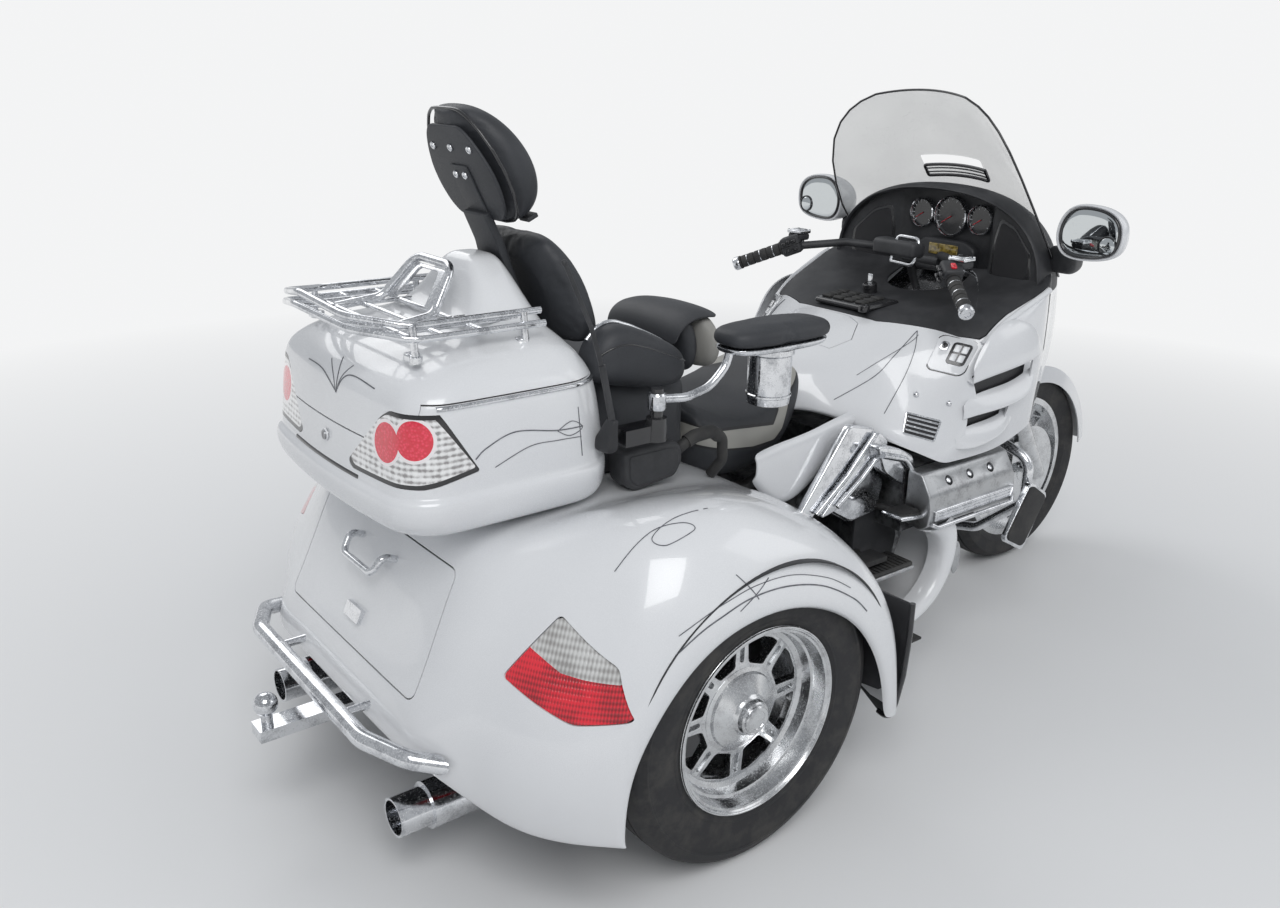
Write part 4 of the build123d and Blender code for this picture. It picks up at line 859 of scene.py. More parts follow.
def level(z: float, rear: float, front: float, half: float, corner: float, bow: float = 0.0,
        nose: float = 0.0) -> list[Place]:
    """Lists a rounded rectangle that lies flat, with its rear side bowed out.

    Args:
        z: Its height in millimetres.
        rear: Its rear end.
        front: Its front end.
        half: Half its width.
        corner: The radius of its rear corners.
        bow: How far the middle of its rear side stands out.
        nose: The radius of its front corners, if it is another.

    Returns:
        Its places, all round.
    """
    places = []
    nose = nose or corner
    for middle_x, middle_y, first, radius in ((front - nose, half - nose, 0, nose),
            (rear + corner, half - corner, 90, corner), (rear + corner, corner - half, 180, corner),
            (front - nose, nose - half, 270, nose)):
        for step in range(6):
            angle = math.radians(first + 18 * step)
            x, y = middle_x + radius * math.cos(angle), middle_y + radius * math.sin(angle)
            if x < (rear + front) / 2:
                x -= bow * max(0.0, 1 - (y / half) ** 2)
            places.append((x, y, z))
        for share in (0.25, 0.5, 0.75):
            if first == 90:
                y = (half - corner) * (1 - 2 * share)
                places.append((rear - bow * max(0.0, 1 - (y / half) ** 2), y, z))
            if first == 270:
                places.append((front, (half - nose) * (2 * share - 1), z))
    return places


FITTED: list[str] = []
STRIPED = ("front_skin", "body_shell", "trunk_tub_skin", "trunk_lid_skin")


@dataclass
class Group:
    """A sub-assembly, which dresses its pieces and fixes them to the bodies of the frame."""

    coats: Coats

    def fit(self, piece: Object, coat: Union[str, Finish], *nodes: str, body: str = "chassis",
            angle: float = 35.0) -> Object:
        """Finishes a piece and lets it ride on a body.

        Args:
            piece: The finished mesh.
            coat: What it is made of, or its name among the coats.
            nodes: The frame's nodes that it stands for.
            body: The body that it moves with.
            angle: The largest angle that is shaded smooth.

        Returns:
            The piece.
        """
        finish = getattr(self.coats, coat) if isinstance(coat, str) else coat
        Bench.smooth(piece, angle)
        piece.data.materials.clear()
        piece.data.materials.append(finish.material)
        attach(piece, body)
        if nodes:
            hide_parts(*nodes)
        FITTED.append(piece.name)
        LOG.info("%s rides on %s, %d faces", piece.name, body, len(piece.data.polygons))
        return piece

    def pair(self, piece: Object, coat: Union[str, Finish], *nodes: str, body: str = "chassis",
            angle: float = 35.0) -> None:
        """Fits a piece and its mirror image, which both ride on one body."""
        twin = Bench.mirrored(piece, piece.name + "_right")
        self.fit(piece, coat, *nodes, body=body, angle=angle)
        self.fit(twin, coat, body=body, angle=angle)


def dress(node: str, finish: Finish) -> None:
    """Gives a node of the frame its finish."""
    materials = frame["nodes"][node].data.materials
    materials.clear()
    materials.append(finish.material)


# Rear body


# The rear face: its rise over its run, where it starts, and how far above that the door's foot is
FACE_RISE, FACE_RUN = 355.0, 156.0
FACE_START = (-615.0, 300.0)
DOOR_FOOT = 92.0


def face_point(run: float, out: float, y: float) -> tuple[float, float, float]:
    """Returns a place on the rear face, by the run up from the door's foot and the distance out."""
    slope = math.atan2(FACE_RISE, FACE_RUN)
    foot = (FACE_START[0] + DOOR_FOOT / math.tan(slope), FACE_START[1] + DOOR_FOOT)
    return (foot[0] + run * math.cos(slope) - out * math.sin(slope), y, foot[1] + run * math.sin(slope)
        + out * math.cos(slope))


@dataclass
class RearBody(Group):
    """The wide rear body with its fenders, boot door and lamps."""

    wall: float = 5.0
    door_half: float = 298.0
    door_run: tuple = (2.0, 268.0)
    # One row per place across: y, then x and z from the rear hem, up the rear face, over the crown and down the front
    rows: tuple = ((0, -588, 292, -612, 300, -612, 330, -592, 372, -553, 445, -502, 562, -462, 650, -405, 706, -160,
        716, 150, 710, 330, 625, 396, 500, 412, 330), (160, -588, 292, -612, 300, -612, 330, -592, 372, -553, 445,
        -502, 562, -462, 650, -405, 706, -160, 716, 150, 710, 330, 625, 396, 500, 412, 330),
        (290, -586, 292, -611, 300, -611, 330, -591, 372, -552, 445, -501, 562, -461, 650, -404, 706, -160, 716, 150,
        710, 330, 625, 396, 500, 412, 330), (335, -580, 290, -603, 298, -604, 330, -584, 372, -546, 445, -494, 562,
        -452, 650, -392, 710, -160, 722, 150, 712, 330, 628, 396, 500, 412, 320),
        (385, -555, 262, -576, 268, -578, 322, -562, 380, -528, 455, -474, 570, -424, 662, -360, 722, -155, 744, 140,
        722, 330, 632, 396, 490, 412, 290), (440, -520, 228, -540, 236, -546, 312, -536, 385, -508, 462, -448, 570,
        -386, 660, -320, 734, -150, 768, 120, 736, 325, 632, 396, 480, 412, 240),
        (510, -490, 208, -512, 216, -522, 300, -516, 380, -486, 462, -418, 560, -350, 650, -278, 738, -140, 786, 100,
        748, 320, 630, 394, 470, 410, 214), (575, -458, 205, -478, 213, -488, 300, -482, 380, -452, 460, -386, 552,
        -322, 640, -252, 730, -130, 782, 90, 746, 316, 622, 392, 460, 410, 212),
        (630, -418, 208, -436, 216, -446, 300, -440, 378, -410, 456, -350, 545, -292, 625, -228, 702, -120, 752, 80,
        722, 308, 606, 388, 452, 408, 212), (668, -380, 210, -394, 218, -402, 300, -396, 376, -368, 450, -316, 532,
        -264, 600, -206, 662, -108, 706, 72, 684, 296, 580, 382, 440, 404, 212),
        (688, -362, 212, -372, 220, -376, 296, -368, 366, -342, 436, -292, 508, -240, 566, -184, 612, -96, 650, 66,
        636, 276, 540, 372, 420, 396, 212), (692, -356, 212, -360, 222, -357, 290, -344, 350, -316, 408, -268, 472,
        -218, 520, -164, 554, -84, 582, 60, 586, 244, 500, 348, 330, 362, 212),
        (676, -350, 212, -352, 222, -350, 288, -338, 346, -310, 402, -262, 465, -213, 512, -160, 546, -82, 574, 58,
        578, 240, 494, 342, 328, 355, 212))
    lamp: tuple = ((222, 500), (178, 612), (56, 548), (10, 462), (78, 452))
    lamp_rear: float = -600.0
    lamp_long: float = 380.0

    def cage(self) -> list[list[tuple]]:
        """Returns the rows of the right half's places."""
        return [[(row[i], -row[0], row[i + 1]) for i in range(1, len(row), 2)] for row in self.rows]

    def shell(self) -> Object:
        """Makes the whole painted shell with its wall."""
        half = self.cage()
        whole = [[(x, -y, z) for x, y, z in row] for row in reversed(half[1:])] + half
        skin = Bench.skin("body_shell", whole, 3)
        with editing(skin):
            face_out()
        top = max(skin.data.polygons, key=lambda face: face.center.z)
        if top.normal.z < 0:
            skin.data.flip_normals()
        Bench.modify(skin, "SOLIDIFY", thickness=self.wall * MM, offset=-1.0, use_even_offset=True)
        return skin

    def door_prism(self, name: str, margin: float) -> Object:
        """Makes the block that the boot door is cut with, grown by a margin."""
        low, high = self.door_run[0] - margin, self.door_run[1] + margin
        half = self.door_half + margin
        corners = [face_point(low, -60, half), face_point(high, -60, half * 0.97), face_point(high, -60, -half * 0.97),
            face_point(low, -60, -half)]
        push = Vector(face_point(0, 60, 0)) - Vector(face_point(0, -60, 0))
        return Bench.plate(name, corners, push, 120, 0, 22 + margin, 8)

    def lamp_prism(self, name: str, grow: float) -> Object:
        """Makes the block that a lamp is cut with, grown from its middle."""
        points = [(690 - inward, z) for inward, z in self.lamp]
        middle = (sum(p[0] for p in points) / len(points), sum(p[1] for p in points) / len(points))
        places = []
        for y, z in points:
            away = math.hypot(y - middle[0], z - middle[1])
            share = (away + grow) / away
            places.append((self.lamp_rear, -(middle[0] + (y - middle[0]) * share),
                middle[1] + (z - middle[1]) * share))
        return Bench.plate(name, places, Axis.X, self.lamp_long, 0.0, 9.0)

    def build(self) -> None:
        """Builds and fits every piece of the rear body."""
        shell = self.shell()
        door = Bench.copy(shell, "boot_door_skin")
        Bench.cut(shell, self.door_prism("door_room", 1.6))
        Bench.cut(door, self.door_prism("door_outline", -1.6), Cut.INSIDE)
        lens = Bench.copy(shell, "body_lamp_red")
        lamp_room = self.lamp_prism("lamp_room", 2.0)
        Bench.cut(shell, Bench.mirrored(lamp_room, "lamp_room_left"))
        Bench.cut(shell, lamp_room)
        Bench.cut(lens, self.lamp_prism("lamp_outline", -1.0), Cut.INSIDE)
        clear = Bench.copy(lens, "body_lamp_clear")
        split = [(-620, -400, 590), (-620, -560, 528), (-620, -600, 524), (-620, -720, 520), (-620, -720, 700),
            (-620, -400, 700)]
        cover = Bench.plate("lens_split", split, Axis.X, 400, 0.0, 0.0)
        Bench.cut(lens, Bench.copy(cover, "lens_split_copy"))
        Bench.cut(clear, cover, Cut.INSIDE)
        self.fit(shell, "white", "trike_body")
        self.fit(door, "white", "boot_door", body="door")
        self.pair(lens, "red", "body_lamps")
        self.pair(clear, "clear")


# Tour trunk


@dataclass(frozen=True)
class TrunkLampGlass:
    """The trunk lamps' clear glass, with two round red lamps and a bright ribbed reflector behind it."""

    discs: tuple = ((-0.568, 0.238, 0.899, 0.037), (-0.546, 0.299, 0.914, 0.036))

    def make(self) -> Finish:
        """Returns the finish."""
        finish = Finish("trunk_lamp_glass", "red_lens")
        x, y, z = finish.axes()
        y = finish.math("ABSOLUTE", y)
        red = None
        ring = None
        for along, across, up, radius in self.discs:
            dx, dy, dz = x - (along + AXLE_X), y - across, z - up
            away = finish.math("SQRT", dx * dx + dy * dy + dz * dz)
            inside = (away < radius) * 1.0
            edge = (away < radius + 0.006) * 1.0
            red = inside if red is None else (red + inside).clamped()
            ring = edge if ring is None else (ring + edge).clamped()
        ribs = finish.math("SINE", z * 560.0)
        ribs_out = finish.math("SINE", x * 420.0 + y * 300.0)
        cloud = finish.noise(60.0, 4.0, 0.7)
        silver = finish.ramp(ribs * 0.16 + ribs_out * 0.06 + cloud, [(0.28, (0.26, 0.25, 0.25)),
            (0.50, (0.66, 0.66, 0.66)), (0.72, (0.80, 0.80, 0.80))])
        pebble = finish.cells(170.0)
        scarlet = finish.ramp(pebble, [(0.0, (0.86, 0.05, 0.11)), (0.55, (0.62, 0.01, 0.035))])
        colour = finish.blend(ring, silver, (0.78, 0.74, 0.75, 1.0))
        colour = finish.blend(red, colour, scarlet)
        finish.surface(Base_Color=colour, Roughness=0.12, Coat_Weight=1.0, Coat_Roughness=0.02, Emission_Color=colour,
            Emission_Strength=0.10, Normal=finish.bump(ribs * 0.4 * (1.0 - red) + pebble * red, 0.0012, 0.5))
        return finish


@dataclass
class TourTrunk(Group):
    """The trunk with its lid, lamps, trim strips and lock."""

    wall: float = 4.0
    seam_side: float = 975.0
    seam_rear: float = 889.0
    gap: float = 3.0
    # z, rear, front, half width, corner, bow of the rear side, front corner
    rings: tuple = ((714, -500, -150, 258, 70, 20, 80), (718, -538, -116, 300, 80, 26, 100),
        (732, -566, -104, 328, 84, 28, 116), (756, -578, -97, 340, 86, 30, 124), (784, -581, -95, 344, 86, 31, 126),
        (799, -578, -95, 342, 84, 31, 126), (804, -570, -96, 335, 78, 31, 122), (808, -566, -97, 331, 74, 31, 118),
        (822, -566, -99, 331, 72, 30, 116), (860, -562, -104, 331, 70, 30, 114), (910, -556, -112, 330, 70, 30, 112),
        (950, -550, -120, 329, 70, 30, 112), (975, -545, -128, 326, 70, 30, 110), (996, -534, -138, 314, 76, 29, 106),
        (1016, -512, -150, 292, 80, 27, 98), (1032, -482, -160, 262, 82, 24, 90), (1042, -446, -166, 232, 80, 20, 80),
        (1050, -396, -172, 208, 76, 12, 72), (1062, -356, -176, 190, 70, 4, 66), (1084, -330, -186, 168, 60, 0, 58),
        (1112, -312, -195, 138, 50, 0, 48), (1142, -300, -204, 106, 40, 0, 38), (1166, -290, -212, 78, 32, 0, 30),
        (1179, -280, -218, 56, 24, 0, 24), (1184, -268, -226, 32, 16, 0, 16))
    lamp_rear: tuple = ((112, 836), (214, 941), (240, 957), (420, 962), (420, 846), (318, 826), (128, 824))
    lamp_side: tuple = ((-700, 800), (-560, 822), (-432, 846), (-512, 970), (-700, 970))

    def shell(self) -> Object:
        """Makes the whole closed form with its wall."""
        rows = [level(z, rear, front, half, corner, bow, nose)
            for z, rear, front, half, corner, bow, nose in self.rings]
        form = Bench.skin("trunk_form", rows, 2, closed=True)
        Bench.modify(form, "SOLIDIFY", thickness=self.wall * MM, offset=-1.0)
        return form

    def above(self, name: str, lift: float) -> Object:
        """Makes the block above the seam, lifted by a gap."""
        line = [(-700, self.seam_rear + lift), (-562, self.seam_rear + lift), (-528, self.seam_side + lift),
            (50, self.seam_side + lift), (50, 1400), (-700, 1400)]
        return Bench.plate(name, [(x, -420, z) for x, z in line], Axis.Y, 840)

    def lamp_room(self, name: str, grow: float) -> Object:
        """Makes the block that a trunk lamp is cut with."""
        rear = Bench.plate(name, [(-720, -(y - grow if y < 200 else y + grow),
            z + (grow if z > 900 else -grow)) for y, z in self.lamp_rear], Axis.X, 400, 0.0, 8.0)
        side = Bench.plate("lamp_side", [(x + grow, -420,
            z + (grow if z > 900 else -grow)) for x, z in self.lamp_side], Axis.Y, 360, 0.0, 6.0)
        return Bench.cut(rear, side, Cut.INSIDE)

    def band(self, name: str, low: float, high: float, proud: float) -> Object:
        """Makes a thin band round the trunk between two heights."""
        def at_height(z: float) -> list[float]:
            """Returns the ring's sizes at a height."""
            for lower, upper in zip(self.rings, self.rings[1:]):
                if lower[0] <= z <= upper[0]:
                    share = (z - lower[0]) / (upper[0] - lower[0])
                    return [a + (b - a) * share for a, b in zip(lower[1:], upper[1:])]
            return list(self.rings[0][1:])

        rows = []
        for z, out in ((low, -2.0), (low + 0.6, proud), (high - 0.6, proud), (high, -2.0)):
            rear, front, half, corner, bow, nose = at_height(z)
            rows.append(level(z, rear - out, front + out, half + out, corner, bow, nose))
        band = Bench.skin(name, rows, 0, ring=True)
        Bench.modify(band, "SUBSURF", levels=2, render_levels=2)
        Bench.modify(band, "SOLIDIFY", thickness=0.0012, offset=-1.0)
        return band

    def build(self) -> None:
        """Builds and fits every piece of the trunk."""
        tub = self.shell()
        lamp = Bench.copy(tub, "trunk_lamp_glass")
        lid = Bench.copy(tub, "trunk_lid_skin")
        tub.name = "trunk_tub_skin"
        Bench.cut(tub, self.above("above_seam", 0.0))
        Bench.cut(lid, self.above("above_gap", self.gap), Cut.INSIDE)
        room = self.lamp_room("lamp_hole", 1.5)
        mirror_room = Bench.mirrored(room, "lamp_hole_left")
        for piece in (tub, lid):
            Bench.cut(piece, Bench.copy(room, "lamp_hole_copy"))
            Bench.cut(piece, Bench.copy(mirror_room, "lamp_hole_copy_left"))
        for cutter in (room, mirror_room):
            bpy.data.objects.remove(cutter, do_unlink=True)
        frame_ring = Bench.copy(lamp, "trunk_lamp_rim")
        Bench.cut(lamp, self.lamp_room("lamp_core", -7.0), Cut.INSIDE)
        Bench.cut(frame_ring, self.lamp_room("lamp_edge", 0.5), Cut.INSIDE)
        Bench.cut(frame_ring, self.lamp_room("lamp_core_hole", -7.2))
        self.fit(tub, "white", "trunk_tub")
        self.fit(lid, "white", "trunk_lid", body="lid")
        self.pair(lamp, TrunkLampGlass().make(), "trunk_lamps")
        self.pair(frame_ring, "gloss")
        self.trims()

    def trims(self) -> None:
        """Builds the chrome strip, the dark strip over the lip and the lock."""
        strip = self.band("seam_strip", self.seam_side - 9.0, self.seam_side - 0.5, 2.6)
        Bench.cut(strip, Bench.box("strip_keep", (-508, -400, 900), (-150, -200, 1040), 0), Cut.INSIDE)
        self.pair(strip, "chrome")
        dark = self.band("rear_reflector_strip", 806.0, 815.0, 1.6)
        Bench.cut(dark, Bench.box("dark_keep", (-720, -150, 780), (-400, 150, 840), 0), Cut.INSIDE)
        self.fit(dark, "gloss")
        lock = Bench.rod("lid_lock", (-588, -14, 858), (-598, -14, 858), 9.5, 1.5)
        slot = Bench.box("lock_slot", (-602, -15, 852), (-595, -13, 864), 0)
        self.fit(Bench.cut(lock, slot), "satin")
        ring = Bench.spun("lock_ring", [(9.5, 0), (12.5, 0), (12.0, 3.0), (9.8, 3.0)], (-592, -14, 858), (-1, 0, 0),
            40)
        self.fit(ring, "white")


# Seats, pads and backrests


def ring_of(middle: Place, out: Place, up: Place, half: float, height: float, squareness: float = 2.6, count: int = 20,
        flat: float = 0.0) -> list[Place]:
    """Lists a closed round section, squarer as its exponent grows.

    Args:
        middle: The section's middle in millimetres.
        out: The direction of its half width.
        up: The direction of its half height.
        half: Half its width.
        height: Half its height.
        squareness: The exponent, where 2 is an ellipse.
        count: Points round it.
        flat: The share that its lower side is pressed flat by.

    Returns:
        Its places, all round.
    """
    centre, across, along = Vector(middle), Vector(out).normalized(), Vector(up).normalized()
    places = []
    for step in range(count):
        angle = math.tau * step / count
        c, s = math.cos(angle), math.sin(angle)
        a = half * math.copysign(abs(c) ** (2 / squareness), c)
        b = height * math.copysign(abs(s) ** (2 / squareness), s)
        if b < 0:
            b *= 1 - flat
        places.append(tuple(centre + across * a + along * b))
    return places


@dataclass
class Upholstery(Group):
    """The seats, the backrests and the armrest pad, all padded and covered in vinyl."""

    # Height up the pad, half width, thickness
    upper_pad: tuple = ((0, 84, 52), (8, 100, 74), (30, 122, 96), (70, 136, 108), (115, 137, 108), (160, 124, 98),
        (196, 103, 82), (222, 78, 62), (236, 54, 44), (241, 32, 30))
    pad_foot: tuple = (-214, 0, 1238)
    lean: float = 25.0
    # x, top at the middle, top at the edge, half width, low edge, half width low
    rider_rows: tuple = ((206, 812, 800, 178, 676, 150), (222, 818, 806, 200, 652, 168),
        (262, 800, 784, 214, 634, 182), (320, 778, 764, 219, 622, 188), (380, 770, 754, 219, 622, 188),
        (440, 774, 758, 213, 632, 180), (490, 790, 778, 198, 648, 166), (534, 826, 812, 176, 668, 146),
        (572, 852, 838, 150, 688, 124), (600, 860, 846, 126, 706, 104), (612, 852, 838, 108, 724, 92))
    wing_rows: tuple = ((-126, 218, 26, 946, 990), (-110, 220, 40, 938, 1022), (-86, 222, 49, 930, 1046),
        (-50, 224, 52, 922, 1056), (0, 226, 52, 912, 1038), (50, 226, 51, 904, 1014), (88, 224, 48, 904, 994),
        (110, 220, 40, 912, 976), (120, 216, 26, 926, 960))

    def plump(self, piece: Object, fill: float, pressure: float = 4.0, cap: float = 8.0, voxel: float = 5.0) -> Object:
        """Args:
            piece: The cushion, slightly smaller than it ends up.
            fill: How tight it is, from 0 to 1; not used.
            pressure: The simulated air pressure.
            cap: How far a point may move, in millimetres.
            voxel: The remesh size in millimetres.

        Returns:
            The filled cushion.
        """
        Bench.modify(piece, "REMESH", mode="VOXEL", voxel_size=voxel * MM)
        start = [vertex.co.copy() for vertex in piece.data.vertices]
        Bench.hold(piece)
        cloth = piece.modifiers.new("Cloth", "CLOTH")
        cloth.settings.use_pressure = True
        cloth.settings.uniform_pressure_force = pressure
        cloth.settings.effector_weights.gravity = 0.0
        cloth.settings.quality = 4
        for frame_number in range(1, CLOTH_FRAMES + 1):
            bpy.context.scene.frame_set(frame_number)
        bpy.ops.object.modifier_apply(modifier=cloth.name)
        bpy.context.scene.frame_set(1)
        for vertex, before in zip(piece.data.vertices, start):
            move = vertex.co - before
            if move.length > cap * MM:
                vertex.co = before + move.normalized() * cap * MM
        Bench.modify(piece, "SMOOTH", factor=0.5, iterations=4)
        return piece

    def upper_point(self, rise: float, y: float, ahead: float) -> Place:
        """Returns a place on the upper pad, by its height, its side and how far ahead of its flat back."""
        lean = math.radians(self.lean)
        up, forward = (-math.sin(lean), math.cos(lean)), (math.cos(lean), math.sin(lean))
        x, _, z = self.pad_foot
        return (x + up[0] * rise + forward[0] * ahead, y, z + up[1] * rise + forward[1] * ahead)

    def upper_backrest(self) -> None:
        """Builds the egg-shaped upper pad, with its flat back panel, piping, bolts and tag."""
        lean = math.radians(self.lean)
        rows = [ring_of(self.upper_point(rise, 0, deep * 0.5), (0, 1, 0), (math.cos(lean), 0, math.sin(lean)), half,
            deep * 0.5, 2.5, 28, 0.12) for rise, half, deep in self.upper_pad]
        pad = Bench.skin("upper_backrest_pad", rows, 2, closed=True)
        self.fit(self.plump(pad, 0.8), "vinyl", "backrest_pads", body="lid", angle=60)
        edge = [self.upper_point(rise + 2, half * 0.985, 15) for rise, half, _ in self.upper_pad[1:-1]]
        top = [self.upper_point(240, y, 15) for y in (30, 0, -30)]
        back = flipped(edge)
        foot = [self.upper_point(3, y, 15) for y in (-60, 60)]
        piping = Bench.tube("upper_pad_piping", edge + top + back + foot, 3.4, 60, 3, closed=True)
        self.fit(piping, "gloss", body="lid", angle=60)
        panel_rows = ((14, 82), (40, 108), (80, 121), (120, 120), (160, 105), (196, 82), (214, 58))
        outline = [self.upper_point(rise, half, 2) for rise, half in panel_rows]
        outline += flipped(outline)
        panel = Bench.plate("upper_pad_back", outline, (-math.cos(lean), 0, -math.sin(lean)), 7.0, 3.0, 14)
        self.fit(panel, "vinyl", body="lid")
        stem_rows = ((-14, 46), (30, 40), (70, 37), (110, 36), (132, 34))
        outline = [self.upper_point(rise, half, -4) for rise, half in stem_rows]
        outline += flipped(outline)
        stem = Bench.plate("back_panel_rib", outline, (-math.cos(lean), 0, -math.sin(lean)), 5.0, 2.0, 8)
        self.fit(stem, "vinyl", body="lid")
        spots = [(168, 72), (168, 2), (168, -72), (112, 18), (112, -18)]
        bolts = []
        for index, (rise, y) in enumerate(spots):
            base = -4.5 if rise > 150 else -8.5
            bolt = Bench.rod("pad_bolt_%d" % index, self.upper_point(rise, y, base),
                self.upper_point(rise, y, base - 5), 8.5, 1.8, 24, 0.86)
            socket = Bench.rod("bolt_socket", self.upper_point(rise, y, base - 3), self.upper_point(rise, y, base - 9),
                3.4, 0, 6)
            bolts.append(Bench.cut(bolt, socket))
        self.fit(Bench.join("pad_bolts", bolts), "chrome", body="lid")
        tag = Bench.plate("pad_strap", [self.upper_point(0, -62, 40), self.upper_point(0, -62, 66),
            self.upper_point(0, -98, 66), self.upper_point(0, -98, 40)], (math.sin(lean), 0, -math.cos(lean)), 9.0,
            2.0, 3)
        self.fit(tag, "plastic", body="lid")

    def lower_backrest(self) -> None:
        """Builds the lower pad that curves down to the seat, and the covered plate behind it."""
        rows = []
        for x, z, half, deep, tilt in ((-90, 1000, 150, 40, 14), (-92, 1008, 164, 47, 15), (-98, 1034, 172, 49, 17),
                (-112, 1080, 172, 47, 21), (-128, 1124, 166, 44, 24), (-150, 1168, 152, 38, 30),
                (-170, 1200, 132, 29, 40), (-180, 1216, 112, 18, 48)):
            turn = math.radians(tilt)
            rows.append(ring_of((x + 20, 0, z), (0, 1, 0), (math.cos(turn), 0, math.sin(turn)), half, deep, 3.0, 28,
                0.25))
        pad = Bench.skin("lower_backrest_pad", rows, 2, closed=True)
        self.fit(self.plump(pad, 0.75), "vinyl", body="lid", angle=60)
        left = [(-150, 62, 986), (-172, 60, 1060), (-196, 54, 1130), (-218, 46, 1200), (-246, 44, 1260)]
        outline = left + flipped(left)
        plate = Bench.plate("backrest_plate", outline, (0.94, 0, 0.34), 18.0, 4.0, 6)
        self.fit(plate, "vinyl", "backrest_bracket", body="lid")

    def pillion(self) -> None:
        """Builds the pillion cushion, its rolled wings and their bright strips."""
        rows = []
        for x, top, low, half in ((-86, 934, 716, 196), (-70, 940, 706, 206), (0, 936, 702, 214), (70, 932, 702, 214),
                (130, 928, 704, 206), (168, 912, 708, 194), (184, 884, 716, 176)):
            rows.append(section(x, half, low, top, 46, 8))
        cushion = Bench.skin("pillion_cushion", rows, 2, closed=True)
        self.fit(self.plump(cushion, 0.7, cap=6.0), "vinyl", "pillion_seat", angle=60)
        rows = [ring_of((x, -y, (low + high) / 2), (0, -1, 0.10), (0, 0.10, 1), half, (high - low) / 2, 2.7, 24)
            for x, y, half, low, high in self.wing_rows]
        wing = Bench.skin("pillion_wing", rows, 2, closed=True)
        self.plump(wing, 0.8, cap=6.0)
        twin = Bench.mirrored(wing, "pillion_wing_left")
        self.fit(wing, "vinyl", angle=60)
        self.fit(twin, "vinyl", angle=60)
        route = [(x, -(y - half * 0.35), high - 1.5) for x, y, half, low, high in self.wing_rows[1:-1]]
        strip = Bench.tube("pillion_strip", route, 5.0, 90, 3)
        self.pair(strip, "chrome", angle=60)
        seam = [(x, -(y + half * 0.88), high - (high - low) * 0.28) for x, y, half, low, high in self.wing_rows[1:-1]]
        self.pair(Bench.tube("wing_piping", seam, 2.2, 90, 3), "gloss", angle=60)

    def rider(self) -> None:
        """Builds the rider's seat with its pale side band and piping."""
        rows = []
        for x, crown, edge, half, low, half_low in self.rider_rows:
            side = [(x, 0, crown), (x, -half * 0.45, crown - 2), (x, -half * 0.80, edge + 4),
                (x, -half * 0.96, edge - 12), (x, -half, edge - 40), (x, -half * 0.985, (edge + low) / 2),
                (x, -half_low * 1.04, low + 26), (x, -half_low * 0.9, low + 6), (x, -half_low * 0.5, low), (x, 0, low)]
            rows.append(side + flipped(side[1:-1]))
        seat = Bench.skin("rider_seat_cushion", rows, 2, closed=True)
        self.fit(self.plump(seat, 0.7, cap=6.0), SeatCover().make(), "rider_seat", angle=60)

    def build(self) -> None:
        """Builds every padded piece."""
        self.upper_backrest()
        self.lower_backrest()
        self.pillion()
        self.rider()
        RiderBackrest(self.coats, self).build()
        Armrest(self.coats, self).build()


@dataclass(frozen=True)
class SeatCover:
    """The rider seat's cover, black above and below with a pale band that sweeps along its side."""

    band: tuple = ((0.10, 0.812, 0.770), (0.18, 0.784, 0.736), (0.278, 0.758, 0.711), (0.37, 0.748, 0.700),
        (0.447, 0.742, 0.701), (0.481, 0.768, 0.721), (0.517, 0.816, 0.769), (0.545, 0.842, 0.802),
        (0.597, 0.873, 0.829), (0.62, 0.88, 0.84))

    def make(self) -> Finish:
        """Returns the finish."""
        finish = Finish("rider_seat_cover", "vinyl")
        x, y, z = finish.axes()
        first, last = self.band[0][0] + AXLE_X, self.band[-1][0] + AXLE_X
        along = ((x - first) / (last - first)).clamped()
        stops = [(row[0] - self.band[0][0]) / (self.band[-1][0] - self.band[0][0]) for row in self.band]
        lows = [(stop, (row[2], row[2], row[2])) for stop, row in zip(stops, self.band)]
        highs = [(stop, (row[1], row[1], row[1])) for stop, row in zip(stops, self.band)]
        low, high = finish.ramp(along, lows), finish.ramp(along, highs)
        side = (finish.math("ABSOLUTE", y) > 0.085) * 1.0
        inside = (z > low) * (z < high) * side
        seam = ((z > low - 0.003) * (z < low + 0.003) + (z > high - 0.003) * (z < high + 0.003)).clamped() * side
        grain = finish.cells(520.0)
        fold = finish.noise(7.0, 3.0)
        drop = (finish.cells(190.0) < 0.15) * (finish.noise(6.0, 2.0) > 0.50)
        black = finish.blend((fold * 1.5 - 0.4).clamped(), (0.022, 0.024, 0.028, 1.0), (0.045, 0.048, 0.055, 1.0))
        pale = finish.blend((fold * 1.6 - 0.4).clamped(), (0.30, 0.295, 0.27, 1.0), (0.42, 0.41, 0.38, 1.0))
        colour = finish.blend(inside, black, pale)
        colour = finish.blend(seam, colour, (0.02, 0.02, 0.022, 1.0))
        height = grain * 0.5 + fold * 0.3 + drop * 0.8 - seam * 2.0
        finish.surface(Base_Color=colour, Metallic=0.0, Roughness=(grain * 0.22 + 0.42 - drop * 0.25).clamped(),
            Specular_IOR_Level=0.5, Normal=finish.bump(height, 0.0008, 0.55))
        return finish


